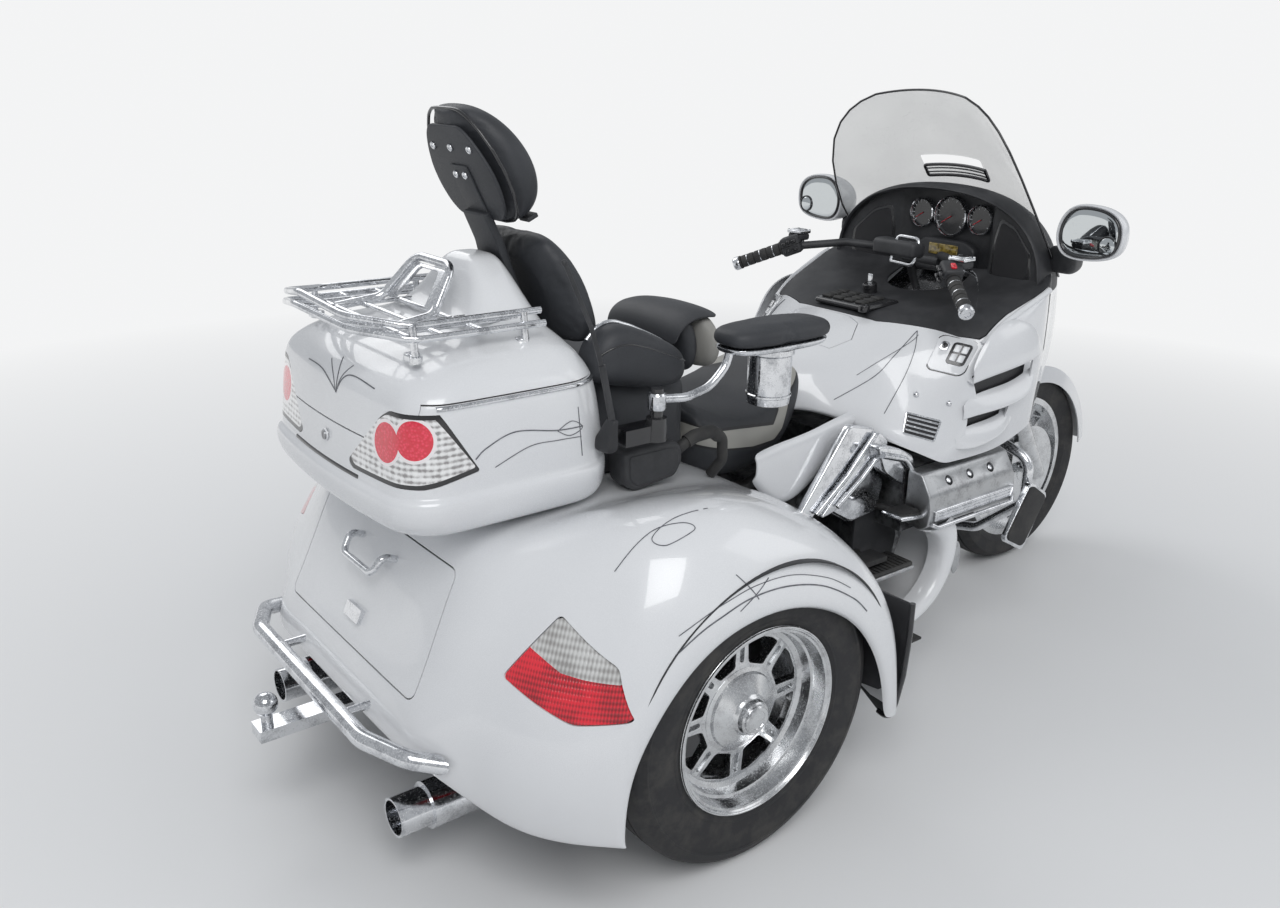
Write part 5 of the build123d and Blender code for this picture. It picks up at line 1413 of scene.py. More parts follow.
@dataclass
class RiderBackrest(Group):
    """The rider's small backrest, with a flapped pouch behind it."""

    shop: Upholstery

    def build(self) -> None:
        """Builds the pad, the pouch and its flap."""
        rows = []
        for x, z, half, deep in ((276, 880, 92, 18), (272, 888, 118, 28), (266, 912, 138, 34), (258, 950, 146, 35),
                (248, 984, 140, 32), (240, 1004, 122, 25), (236, 1014, 96, 15)):
            rows.append(ring_of((x + 42, 0, z), (0, 1, 0), (0.97, 0, 0.22), half, deep, 2.8, 28))
        pad = Bench.skin("rider_backrest_cushion", rows, 2, closed=True)
        self.fit(self.shop.plump(pad, 0.8, cap=6.0), "grey_vinyl", "rider_backrest_pad", body="rider_backrest",
            angle=60)
        rows = []
        for x, z, half, deep in ((268, 872, 78, 16), (262, 884, 100, 24), (254, 920, 118, 31), (244, 962, 124, 33),
                (232, 992, 120, 29), (228, 1002, 112, 24)):
            rows.append(ring_of((x, 0, z), (0, 1, 0), (0.97, 0, 0.24), half, deep, 3.2, 28))
        pouch = Bench.skin("backrest_pouch", rows, 2, closed=True)
        self.fit(self.shop.plump(pouch, 0.45, 2.0, 5.0), "vinyl", body="rider_backrest", angle=60)
        rows = []
        for x, z, half in ((318, 1016, 126), (280, 1024, 132), (240, 1022, 134), (208, 1008, 134), (192, 986, 132),
                (188, 964, 128)):
            rows.append([(x, -half, z - 12), (x, -half * 0.8, z - 3), (x, -half * 0.4, z + 1), (x, 0, z + 2),
                (x, half * 0.4, z + 1), (x, half * 0.8, z - 3), (x, half, z - 12)])
        flap = Bench.skin("pouch_flap", rows, 3, wall=4)
        self.fit(flap, "vinyl", body="rider_backrest", angle=60)


@dataclass
class Armrest(Group):
    """The pillion's armrest with its cup, on a tube that swings on a post."""

    shop: Upholstery
    centre: tuple = (264, -360)

    def build(self) -> None:
        """Builds the pad, its bright rim, the cup, the tube and the collar."""
        x, y = self.centre
        rows = []
        for z, long, wide in ((1006, 128, 52), (1008, 138, 60), (1016, 144, 66), (1028, 144, 66), (1038, 138, 61),
                (1043, 124, 50), (1045, 96, 36)):
            rows.append(ring_of((x, y, z), (1, 0, 0), (0, 1, 0), long, wide, 3.2, 32))
        pad = Bench.skin("armrest_cushion", rows, 2, closed=True)
        self.fit(self.shop.plump(pad, 0.85, 3.0, 5.0, 4.5), "vinyl", "armrest_pad", body="armrest", angle=60)
        rows = [ring_of((x, y, z), (1, 0, 0), (0, 1, 0), long, wide, 3.2, 32)
            for z, long, wide in ((990, 120, 48), (992, 134, 58), (1004, 139, 61), (1006, 134, 57))]
        rim = Bench.skin("armrest_rim", rows, 2, closed=True)
        self.fit(rim, "chrome", "armrest_frame", body="armrest", angle=40)
        cup = Bench.spun("cup_holder", [(0.5, 866), (40, 866), (46, 869), (47, 880), (47, 975), (52, 979), (52, 990),
            (44, 990), (44, 874), (0.5, 872)], (x - 4, y, 0), (0, 0, 1), 64)
        self.fit(cup, "chrome", body="armrest")
        bead = Bench.spun("cup_bead", [(47, 884), (49.5, 886), (49.5, 890), (47, 892)], (x - 4, y, 0), (0, 0, 1), 64)
        self.fit(bead, "chrome", body="armrest")
        route = [(-40, -352, 922), (30, -357, 914), (92, -360, 928), (134, -360, 966), (142, -360, 996)]
        self.fit(Bench.tube("armrest_tube", route, 9.5, 80, 4), "chrome", body="armrest", angle=60)
        collar = Bench.spun("swing_collar", [(9, 900), (17, 900), (19, 903), (19, 931), (16, 935), (9, 935)],
            (-40, -352, 0), (0, 0, 1), 40)
        self.fit(collar, "chrome", body="armrest")


# Wheels


@dataclass
class Wheels(Group):
    """The two rear wheels on polished eight-spoke rims, and the front wheel."""

    axle_z: float = 322.0
    track_half: float = 557.0
    spokes: int = 8
    tyre_half: tuple = ((190.5, 78), (197, 90), (206, 95), (214, 97.5), (216, 99.5), (219, 99.5), (221, 98.5),
        (240, 102), (262, 103), (284, 101.5), (286, 102.6), (289, 102.4), (291, 100.5), (302, 97), (312, 90),
        (318, 80), (320.4, 68), (320.8, 62), (313.5, 61), (313.5, 55), (321.2, 54), (321.8, 27), (314, 26), (314, 19),
        (322, 18), (322, 0))
    front_half: tuple = ((231, 44), (240, 50), (252, 55), (258, 57.5), (261, 57), (284, 65), (298, 64), (304, 58),
        (312, 46), (316, 36), (310, 35), (310, 31), (317.5, 30), (319.6, 12), (313, 11), (313, 8), (320, 7), (320, 0))

    def tyre(self, name: str, half: Rows, centre: Place, body: str, node: str) -> None:
        """Builds a tyre from half its profile."""
        profile = list(half) + [(radius, -out) for radius, out in reversed(half[:-1])]
        tyre = Bench.spun(name, profile, centre, (0, 1, 0), 120)
        self.fit(tyre, "tyre", node, body=body, angle=32)

    def plate_cutter(self, name: str, points: Rows, angle: float, low: float, high: float, corner: float) -> Object:
        """Makes a block for cutting a disc, from radial points, turned by an angle."""
        outline = []
        for radius, side in points:
            turn = math.radians(angle)
            x = radius * math.cos(turn) - side * math.sin(turn)
            z = radius * math.sin(turn) + side * math.cos(turn)
            outline.append((x, low, self.axle_z + z))
        return Bench.plate(name, outline, Axis.Y, high - low, 0.0, corner)

    def rear_rim(self) -> Object:
        """Makes the left rear rim, with its outer side towards +Y."""
        y = self.track_half
        ring = [(178, -86), (190, -92), (203, -94), (203, -90), (190.5, -80), (190.5, 80), (198, 90), (203.5, 92),
            (204.5, 96), (202, 98.5), (197, 98.5), (194.5, 95), (190, 94), (188.5, 88), (186.5, 70), (184, 64),
            (178.5, 62), (177, 50), (174.5, 41), (168, 38), (164, 36), (164, 20), (172, 14), (178, 0)]
        rim = Bench.spun("rear_rim_left_metal", ring, (0, y, self.axle_z), (0, 1, 0), 128)
        disc = Bench.spun("rim_disc", [(16.5, 14), (60, 12), (166, 20), (166, 36), (110, 37), (96, 40), (16.5, 44)],
            (0, y, self.axle_z), (0, 1, 0), 128)
        for index in range(self.spokes):
            angle = 360 / self.spokes * (index + 0.5)
            wide_in, wide_out = math.tan(math.radians(12.4)) * 98, math.tan(math.radians(16.4)) * 156
            window = self.plate_cutter("rim_window", [(99, -wide_in), (150, -wide_out), (157, -wide_out * 0.55),
                (157, wide_out * 0.55), (150, wide_out), (99, wide_in)], angle, y - 10, y + 60, 5)
            Bench.cut(disc, window)
            groove = self.plate_cutter("spoke_groove", [(106, -6), (152, -6), (152, 6), (106, 6)], angle
                - 180 / self.spokes, y + 25, y + 60, 5.5)
            Bench.cut(disc, groove)
        Bench.edge_round(disc, 2.2, 2, 50)
        hub = Bench.spun("rim_hub", [(16.5, 34), (92, 36), (93, 41), (84, 44), (81, 50), (60, 60), (46, 66), (43, 68),
            (41, 72), (38, 74), (36, 84), (33, 87), (20, 88), (16.5, 88)], (0, y, self.axle_z), (0, 1, 0), 96)
        cap = Bench.spun("rim_cap", [(0.4, 84), (30, 84), (30, 90), (27, 92.5), (20, 93), (19, 91.5), (14, 92),
            (0.4, 92.6)], (0, y, self.axle_z), (0, 1, 0), 64)
        lip = Bench.spun("lip_bead", [(198.5, 97.6), (200.5, 100.2), (203, 99.8), (204, 97)], (0, y, self.axle_z),
            (0, 1, 0), 128)
        rim = Bench.join("rear_rim_left_metal", [rim, disc, hub, cap, lip])
        valve = Bench.rod("rim_valve", (-120, y + 38, self.axle_z + 112), (-114, y + 66, self.axle_z + 106), 4, 1, 12)
        return Bench.join("rear_rim_left_metal", [rim, valve])

    def build(self) -> None:
        """Builds and fits every wheel."""
        rim = self.rear_rim()
        right = Bench.mirrored(rim, "rear_rim_right_metal")
        self.fit(rim, "polished", "rear_rim_left", body="rear_wheel_left", angle=30)
        self.fit(right, "polished", "rear_rim_right", body="rear_wheel_right", angle=30)
        for side, sign in (("left", 1), ("right", -1)):
            self.tyre("rear_tyre_%s_rubber" % side, self.tyre_half, (0, sign * self.track_half, self.axle_z),
                "rear_wheel_%s" % side, "rear_tyre_%s" % side)
        self.tyre("front_tyre_rubber", self.front_half, (1745, 0, 320), "front_wheel", "front_tyre")


# Lower right and left sides


@dataclass
class LowerSides(Group):
    """The engine covers, the frame covers, the lower cowls, the boards and the mud flaps."""

    def valve_cover(self) -> None:
        """Builds the satin engine cover with three recesses, a bright insert and a bright bar."""
        outline = [(778, -352, 462), (778, -352, 604), (778, -396, 600), (778, -428, 550), (778, -434, 508),
            (778, -430, 470), (778, -404, 454)]
        cover = Bench.plate("valve_cover_shell", outline, Axis.X, 352, 5.0, 7.0)
        for x in (868, 954, 1040):
            hole = Bench.rod("cover_hole", (x, -400, 560), (x, -432, 594), 13, 0, 32)
            Bench.cut(cover, hole)
        Bench.edge_round(cover, 1.5, 2, 60)
        self.pair(cover, "satin", "valve_covers", angle=40)
        bolts = [Bench.rod("cover_bolt", (x, -404, 566), (x, -412, 574), 8, 1.5, 6) for x in (868, 954, 1040)]
        self.pair(Bench.join("cover_bolts", bolts), "chrome")
        bar = Bench.box("cover_insert", (792, -441, 484), (1118, -428, 514), 5, 4)
        for index in range(3):
            groove = Bench.box("insert_groove", (806, -446, 489 + index * 8.2), (1104, -438, 491.6 + index * 8.2), 0)
            Bench.cut(bar, groove)
        self.pair(bar, "chrome")
        rib = Bench.tube("cover_bar", [(786, -436, 478), (800, -444, 470), (1108, -444, 470), (1122, -436, 478)], 6,
            14, 4)
        self.pair(rib, "chrome", angle=60)

    def frame_cover(self) -> None:
        """Builds the bright straps and boxes between the seat and the engine, and the white panel."""
        pieces = []
        for name, outline, y, depth in (("strap", [(606, 736), (704, 712), (560, 566), (474, 498), (430, 506)], -300,
                22), ("strap_low", [(706, 706), (744, 668), (640, 578), (560, 524), (512, 516), (590, 592)], -312, 22),
                ("box", [(662, 684), (742, 664), (800, 634), (822, 590), (810, 556), (770, 560), (700, 606)], -346,
                40), ("box_rear", [(600, 600), (690, 640), (760, 560), (740, 480), (640, 470), (560, 520)], -296, 40)):
            plate = Bench.plate("frame_cover_" + name, [(x, y, z) for x, z in outline], Axis.Y, depth, 8.0, 14.0)
            pieces.append(plate)
        self.pair(Bench.join("frame_cover_plates", pieces), "chrome", "frame_covers", angle=40)
        ridge = [Bench.tube("strap_ridge", [(690, -308, 700), (600, -310, 610), (500, -308, 530)], 7, 60, 4),
            Bench.tube("strap_ridge_low", [(716, -322, 664), (640, -322, 598), (560, -320, 540)], 6, 60, 4),
            Bench.tube("box_ridge", [(676, -350, 660), (760, -352, 634), (800, -352, 590)], 9, 40, 4)]
        self.pair(Bench.join("frame_cover_ridges", ridge), "chrome", angle=60)
        rows = []
        for x, low, high, y in ((330, 640, 700, -262), (400, 560, 712, -262), (470, 552, 716, -260),
                (540, 590, 722, -254), (600, 630, 730, -246), (668, 690, 736, -238), (690, 706, 736, -234)):
            rows.append([(x, y + 16, low), (x, y - 4, low + 4), (x, y - 8, (low + high) / 2), (x, y - 4, high - 6),
                (x, y + 10, high)])
        panel = Bench.skin("under_seat_panel", rows, 2, wall=4)
        self.pair(panel, "white", angle=40)
        hole = Bench.box("side_intake", (556, -288, 556), (640, -252, 628), 10, 3)
        self.pair(hole, "gloss")

    def lower_cowl(self) -> None:
        """Builds the white cowl that curves up from the running board, with its step pad and reflector."""
        # outer edge then inner edge, in x and z, from the rear end of the running board
        outer = [(440, 188), (560, 190), (668, 194), (730, 200), (790, 214), (842, 242), (884, 286), (912, 342),
            (922, 400), (912, 450), (884, 486)]
        inner = [(440, 226), (560, 228), (668, 230), (722, 236), (768, 250), (812, 276), (846, 318), (860, 368),
            (850, 412), (826, 438), (790, 452)]
        rows = []
        for (ox, oz), (ix, iz) in zip(outer, inner):
            mx, mz = (ox + ix) / 2, (oz + iz) / 2
            rows.append([(ox + (mx - ox) * 0.1, -250, oz + (mz - oz) * 0.1), (ox, -330, oz), (ox, -404, oz),
                (ox + (mx - ox) * 0.22, -432, oz + (mz - oz) * 0.22), (mx, -440, mz),
                (ix + (mx - ix) * 0.18, -432, iz + (mz - iz) * 0.18), (ix, -408, iz), (ix, -384, iz)])
        cowl = Bench.skin("lower_cowl_shell", rows, 3, wall=4)
        self.pair(cowl, "white", "lower_cowls", angle=40)
        outline = [(700, 214), (790, 232), (852, 290), (872, 360), (862, 420), (800, 470), (700, 470)]
        back = Bench.plate("cowl_lining", [(x, -262, z) for x, z in outline], Axis.Y, 8, 0, 14)
        self.pair(back, "plastic")
        lens = Bench.ball("cowl_reflector", (908, -432, 356), (15, 8, 46), 24)
        self.pair(lens, "satin", angle=60)
        pad = Bench.box("running_pad", (452, -404, 226), (700, -290, 238), 5, 3)
        for index in range(8):
            groove = Bench.box("pad_groove", (446, -394 + index * 13, 235), (706, -389 + index * 13, 242), 0)
            Bench.cut(pad, groove)
        self.pair(pad, "rubber")

    def boards(self) -> None:
        """Builds the ribbed floorboards, the pedals and the highway boards."""
        tray = Bench.box("floorboard_tray", (532, -412, 352), (770, -318, 364), 6, 3)
        mat = Bench.box("floorboard_mat", (536, -408, 360), (766, -322, 374), 5, 3)
        for index in range(14):
            Bench.cut(mat, Bench.box("mat_groove", (548 + index * 15, -403, 370), (554 + index * 15, -327, 380), 0))
        self.pair(tray, "satin")
        self.pair(mat, "rubber")
        pedal = Bench.box("pedal_frame", (694, -414, 492), (796, -346, 504), 8, 3, -8)
        face = Bench.box("pedal_face", (700, -408, 498), (790, -352, 508), 6, 3, -8)
        for index in range(6):
            Bench.cut(face, Bench.box("pedal_groove", (708 + index * 13, -404, 505), (713 + index * 13, -356, 520), 0))
        self.pair(pedal, "chrome")
        self.pair(face, "rubber")
        outline = [(1078, 380), (1084, 364), (1150, 330), (1168, 334), (1248, 454), (1246, 470), (1180, 512),
            (1162, 510)]
        rim = Bench.plate("highway_rim", [(x, -447, z) for x, z in outline], Axis.Y, -14, 4, 8)
        self.pair(rim, "chrome")
        middle = (1163, 421)
        inset = [(middle[0] + (x - middle[0]) * 0.90, -458, middle[1] + (z - middle[1]) * 0.92) for x, z in outline]
        face = Bench.plate("highway_pad", inset, Axis.Y, -7, 2, 8)
        self.pair(face, "rubber")

    def flap(self) -> None:
        """Builds the mud flaps with their rolled outer edges."""
        outline = [(404, -690 + inward, z) for inward, z in ((190, 470), (6, 474), (4, 400), (10, 300), (22, 226),
            (30, 190), (44, 178), (64, 182), (120, 214), (190, 250))]
        flap = Bench.plate("mud_flap_sheet", outline, Axis.X, 6, 1.5, 6)
        self.pair(flap, "gloss", "mud_flaps")
        edge = [(406, -690 + inward, z) for inward, z in ((4, 476), (3, 400), (8, 300), (20, 226), (30, 188),
            (46, 178), (66, 182))]
        self.pair(Bench.tube("mud_flap_edge", edge, 6.5, 30, 4), "gloss", angle=60)

    def build(self) -> None:
        """Builds and fits every piece of both sides."""
        self.valve_cover()
        self.frame_cover()
        self.lower_cowl()
        self.boards()
        self.flap()


# Front


@dataclass
class FrontBody(Group):
    """The tank shelter, the side cowls, the fairing, the dash, the screen and the mirrors."""

    # x, then y and z from the middle of the top out over the shoulder and down the side
    rows: tuple = ((574, 0, 852, 55, 848, 92, 826, 118, 800, 130, 776, 136, 760, 137, 748, 136, 742, 130, 738),
        (594, 0, 868, 60, 864, 102, 840, 130, 808, 143, 780, 150, 760, 152, 748, 150, 742, 142, 738),
        (640, 0, 884, 75, 879, 128, 850, 164, 806, 186, 768, 198, 748, 202, 738, 200, 733, 190, 730),
        (700, 0, 898, 85, 893, 148, 864, 194, 816, 226, 766, 246, 726, 252, 706, 250, 700, 240, 696),
        (740, 0, 909, 95, 903, 162, 874, 210, 826, 248, 768, 278, 714, 290, 688, 290, 680, 282, 674),
        (780, 0, 920, 100, 915, 176, 886, 222, 842, 262, 784, 300, 724, 326, 684, 338, 664, 340, 654),
        (820, 0, 931, 110, 928, 190, 904, 240, 862, 286, 798, 330, 730, 360, 680, 372, 650, 374, 634),
        (862, 0, 940, 120, 939, 204, 922, 260, 876, 306, 818, 350, 748, 384, 672, 394, 630, 392, 612),
        (900, 0, 947, 130, 948, 222, 934, 284, 892, 334, 826, 374, 750, 397, 680, 403, 655, 394, 612),
        (940, 0, 951, 140, 952, 244, 944, 306, 908, 350, 854, 380, 800, 399, 750, 406, 700, 395, 611),
        (978, 0, 955, 152, 956, 264, 952, 324, 926, 362, 888, 386, 850, 400, 816, 408, 740, 396, 611),
        (1026, 0, 957, 166, 961, 286, 964, 340, 950, 370, 930, 388, 912, 402, 893, 411, 780, 398, 612),
        (1100, 0, 963, 186, 971, 312, 980, 362, 974, 386, 962, 396, 950, 404, 937, 412, 800, 399, 618),
        (1206, 0, 978, 210, 992, 334, 1008, 378, 1012, 394, 1006, 400, 1001, 404, 994, 411, 830, 400, 652),
        (1240, 0, 985, 212, 1004, 326, 1022, 364, 1030, 380, 1028, 386, 1022, 390, 1014, 394, 840, 384, 656),
        (1300, 0, 1010, 200, 1034, 296, 1056, 330, 1064, 344, 1060, 350, 1052, 354, 1040, 362, 846, 352, 658),
        (1380, 0, 1084, 176, 1082, 250, 1080, 284, 1072, 298, 1060, 304, 1050, 308, 1036, 316, 850, 306, 672),
        (1460, 0, 1086, 150, 1082, 216, 1074, 246, 1062, 260, 1048, 266, 1038, 270, 1024, 282, 870, 272, 764),
        (1530, 0, 1062, 130, 1058, 184, 1048, 210, 1034, 222, 1020, 228, 1008, 232, 994, 244, 866, 236, 764),
        (1600, 0, 990, 104, 986, 148, 976, 170, 962, 180, 950, 186, 938, 190, 926, 200, 846, 192, 764),
        (1650, 0, 916, 76, 913, 112, 906, 130, 896, 138, 888, 144, 880, 148, 870, 156, 826, 148, 766),
        (1688, 0, 852, 40, 851, 60, 848, 72, 843, 78, 838, 82, 834, 86, 829, 92, 806, 86, 780))
    black_edge: tuple = ((850, 0), (851, -67), (860, -138), (896, -201), (937, -268), (965, -318), (999, -359),
        (1016, -366), (1092, -368), (1158, -377), (1206, -383), (1300, -378))
    lid_edge: tuple = ((842, -58), (824, -108), (770, -138), (706, -122), (676, -62))
    openings: tuple = (((960, 766), (956, 826), (1120, 850), (1180, 856), (1176, 798), (1110, 776)),
        ((926, 680), (934, 732), (1010, 742), (1102, 742), (1082, 688), (1010, 684)))
    # x, top, low edge and reach of each louvre
    louvres: tuple = (((942, 840, 810, 398), (975, 900, 822, 414), (1020, 934, 832, 426), (1090, 950, 842, 432),
        (1150, 944, 850, 431), (1184, 916, 858, 424), (1206, 886, 872, 402)),
        ((918, 746, 720, 398), (946, 764, 729, 412), (975, 770, 733, 420), (1040, 774, 737, 427),
        (1110, 779, 745, 430), (1162, 793, 764, 427), (1204, 812, 796, 402)),
        ((896, 672, 646, 397), (925, 684, 641, 409), (960, 688, 640, 417), (1020, 690, 650, 421),
        (1074, 696, 664, 419), (1124, 712, 690, 401)))

    def skin(self) -> Object:
        """Makes the whole outer skin of the front, both sides in one."""
        whole = []
        for row in self.rows:
            side = [(row[0], -row[i], row[i + 1]) for i in range(1, len(row), 2)]
            whole.append(flipped(side[1:]) + side)
        skin = Bench.skin("front_skin", whole, 3)
        if max(skin.data.polygons, key=lambda face: face.center.z).normal.z < 0:
            skin.data.flip_normals()
        Bench.modify(skin, "SOLIDIFY", thickness=0.005, offset=-1.0)
        return skin

    def block(self, name: str, edge: Rows, grow: float) -> Object:
        """Makes the upright block inside a half outline and its mirror image, grown by a margin."""
        middle = Vector((sum(place[0] for place in edge) / len(edge), 0))
        side = []
        for x, y in edge:
            way = (Vector((x, y)) - middle).normalized() * grow
            side.append((x + way.x, min(y + way.y, 0), 846))
        outline = side + [(x, -y, z) for x, y, z in reversed(side) if y < 0]
        return Bench.plate(name, outline, Axis.Z, 400)

    @staticmethod
    def column() -> Object:
        """Makes the block that leaves room for the turning steering head."""
        return Bench.rod("column_hole", (1374.6, 0, 760), (1186, 0, 1096), 118, 0, 64)

    def panels(self) -> None:
        """Builds the white skin, the black top panels, the fuel lid and the lamp glasses."""
        white = self.skin()
        black, lid, lamp = [Bench.copy(white, name) for name in ("console_panels", "fuel_lid", "headlight_glass")]
        dash_room = [(1244, -350, 940), (1244, 350, 940), (1420, 270, 940), (1420, -270, 940)]
        outline = [(1440, -y, z) for y, z in ((30, 846), (44, 900), (140, 944), (232, 926), (216, 872), (120, 834))]
        rooms = [self.block("black_room", self.black_edge, 1.5), self.block("lid_room", self.lid_edge, 1.2),
            Bench.plate("dash_hole", dash_room, Axis.Z, 300), self.column()]
        holes = [Bench.plate("gill_hole", [(x, -340, z) for x, z in opening], Axis.Y, -120, 0, 7)
            for opening in self.openings]
        holes.append(Bench.plate("headlight_room", outline, Axis.X, 320, 0, 9))
        keep = Bench.copy(holes[-1], "headlight_keep")
        for room in rooms + [Bench.mirrored(hole, hole.name + "_left") for hole in holes] + holes:
            Bench.cut(white, room, solver="MANIFOLD")
        Bench.cut(black, self.block("black_keep", self.black_edge, -1.5), Cut.INSIDE, solver="MANIFOLD")
        Bench.cut(black, self.column(), solver="MANIFOLD")
        Bench.cut(lid, self.block("lid_keep", self.lid_edge, -1.2), Cut.INSIDE, solver="MANIFOLD")
        Bench.cut(lamp, keep, Cut.INSIDE, solver="MANIFOLD")
        self.fit(white, "white", "tank_shelter", "front_fairing", "side_cowls")
        self.fit(lid, "white")
        self.fit(black, "plastic", "console")
        self.pair(lamp, "clear", "headlights")
        bowls = [Bench.spun("headlight_bowl", [(3, -20), (30, -12), (40, 8), (38, 9), (29, -9), (3, -17)],
            (1600 - abs(y) * 0.6, y, 888), (1, 0, 0), 40) for y in (-84, -150)]
        self.pair(Bench.join("headlight_bowls", bowls), "chrome")
        self.gills()

    def gills(self) -> None:
        """Builds the three sculpted louvres on each side and the mesh behind them."""
        for index, stations in enumerate(self.louvres):
            rows = []
            for x, top, low, out in stations:
                high = top - low
                rows.append([(x, -y, z) for y, z in ((391, top + 9), (397 + (out - 397) * 0.3, top),
                    (397 + (out - 397) * 0.76, top - high * 0.42), (out - 1, low + high * 0.20),
                    (out, low + high * 0.06), (out - 5, low), (out - 22, low + 4), (386, low + 6))])
            piece = Bench.skin("gill_louvre_%d" % index, rows, 2, wall=3.5)
            self.pair(piece, "white", angle=50)
        meshes = [Bench.plate("gill_mesh", [(x, -384, z) for x, z in outline], Axis.Y, 3, 0, 6)
            for outline in self.openings]
        self.pair(Bench.join("gill_mesh", meshes), Mesh().make(), "gill_screens")

    def laid(self, name: str, quad: Rows, patch: tuple, lift: float, corner: float, coat: str) -> None:
        """Lays a rounded plate on the skin, on both sides.

        Args:
            name: The piece's name.
            quad: Four corners on the right side of the skin.
            patch: The low and high shares of the quad that the plate covers, along and down.
            lift: How far it stands up.
            corner: Its corner radius.
            coat: What it is made of.
        """
        a, b, c, d = (Vector(place) for place in quad)
        out = (c - a).cross(b - d).normalized()
        if out.y > 0:
            out = -out
        low_u, low_v, high_u, high_v = patch
        outline = []
        for u, v in ((low_u, low_v), (high_u, low_v), (high_u, high_v), (low_u, high_v)):
            outline.append(tuple(a.lerp(b, u).lerp(d.lerp(c, u), v) - out * 6))
        self.pair(Bench.plate(name, outline, tuple(out), 6 + lift, 1.2, corner), coat, angle=40)

    def trims(self) -> None:
        """Builds the panel trim, the pocket lids, the vents, the bolts and the lock."""
        trim = [(1000, -370, 899), (1034, -376, 924), (1071, -380, 947), (1130, -385, 974), (1206, -391, 1006),
            (1236, -390, 1017)]
        self.pair(Bench.tube("panel_trim", trim, 8.0, 90, 4), "white", angle=60)
        pocket = ((937, -286, 916), (997, -365, 901), (937, -365, 823), (873, -298, 840))
        self.laid("pocket_rim", pocket, (-0.03, -0.03, 1.03, 1.03), 1.0, 20, "gloss")
        self.laid("pocket_lid", pocket, (0, 0, 1, 1), 4.0, 18, "white")
        self.laid("pocket_lock", pocket, (0.10, 0.16, 0.34, 0.42), 5.5, 9, "chrome")
        self.laid("pocket_lock_core", pocket, (0.15, 0.21, 0.29, 0.37), 7.0, 6, "gloss")
        self.laid("switch_plate", pocket, (0.40, 0.12, 0.90, 0.76), 6.0, 10, "gloss")
        for index, (u, v) in enumerate(((0.47, 0.20), (0.67, 0.20), (0.47, 0.46), (0.67, 0.46))):
            self.laid("pocket_switch_%d" % index, pocket, (u, v, u + 0.16, v + 0.21), 9.0, 2.5, "white")
        for index, place in enumerate(((834, -309, 779), (896, -365, 759))):
            self.pair(Bench.ball("panel_bolt_%d" % index, place, (8, 8, 8), 20), "chrome", angle=60)
        vent = ((801, -307, 740), (872, -368, 719), (842, -374, 667), (778, -321, 688))
        self.laid("leg_vent", vent, (0, 0, 1, 1), 3.0, 6, "chrome")
        self.laid("leg_vent_bed", vent, (0.05, 0.08, 0.95, 0.92), 4.0, 3, "gloss")
        for index in range(4):
            self.laid("vent_slat_%d" % index, vent, (0.07, 0.16 + index * 0.19, 0.93, 0.24 + index * 0.19), 7.0, 1.5,
                "chrome")

    def keypad(self) -> None:
        """Builds the rows of rounded buttons on the console, the key switch and the knob."""
        bed = Bench.box("keypad_bed", (866, -92, 946), (1006, 92, 962), 10, 4, 2)
        self.fit(bed, "gloss")
        keys = []
        for row in range(3):
            for column in range(4):
                x, y = 884 + row * 36, -68 + column * 40 + row * 5
                keys.append(Bench.box("key_%d%d" % (row, column), (x, y, 958 + row), (x + 27, y + 31, 968 + row), 5,
                    3))
        self.fit(Bench.join("keypad_keys", keys), "rubber", angle=40)
        knob = Bench.rod("audio_knob", (856, -96, 950), (856, -96, 968), 15, 3, 32)
        self.fit(knob, "gloss")
        cap = Bench.rod("key_switch", (1044, 46, 956), (1038, 46, 986), 20, 3, 40)
        self.fit(cap, "gloss")
        key = Bench.box("ignition_key", (1037, 38, 984), (1041, 54, 1012), 2)
        self.fit(key, "chrome")

    @staticmethod
    def arch(steps: int) -> list[tuple[float, float]]:
        """Returns the dash's arched outline as shares of its half width and its height."""
        turns = [math.pi * step / steps for step in range(steps + 1)]
        return [(math.copysign(abs(math.cos(turn)) ** 0.86, math.cos(turn)), math.sin(turn) ** 0.80) for turn in turns]

    def dash(self) -> None:
        """Builds the dash hood, the panel in it, the speakers, the gauges and the display."""
        rows = []
        for x, half, top in ((1234, 352, 1240), (1240, 358, 1248), (1290, 356, 1254), (1350, 332, 1244),
                (1410, 300, 1204), (1466, 262, 1142), (1500, 226, 1092)):
            rows.append([(x, half * c, 1000 + (top - 1000) * s) for c, s in self.arch(16)])
        hood = Bench.skin("dash_hood", rows, 2, wall=7)
        self.fit(hood, "plastic", "dash", angle=50)
        stations = ((350, 1250), (322, 1256), (262, 1266), (200, 1278), (170, 1285), (157, 1290), (148, 1322),
            (60, 1326))
        depths = list(stations) + [(0, 1326)] + [(-y, x) for y, x in reversed(stations)]
        rows = []
        for y, x in depths:
            cosine = abs(y / 350) ** (1 / 0.86)
            top = 1000 + 244 * max(1 - cosine * cosine, 0.02) ** 0.4
            rows.append([(x, y, 992 + (top - 992) * share) for share in (0, 0.06, 0.3, 0.6, 0.9, 1)])
        wall = Bench.skin("dash_panel", rows, 1, wall=6)
        self.fit(wall, "plastic", angle=40)
        speaker = ((1288, -170, 1022), (1287, -174, 1120), (1284, -190, 1178), (1272, -246, 1160), (1260, -312, 1096),
            (1260, -318, 1030), (1266, -282, 1004), (1285, -184, 1004))
        push = (-0.985, 0.17, 0)
        frame_plate = Bench.plate("speaker_frame", speaker, push, 7, 3, 14)
        self.pair(frame_plate, "gloss")
        middle = (1274, -240, 1090)
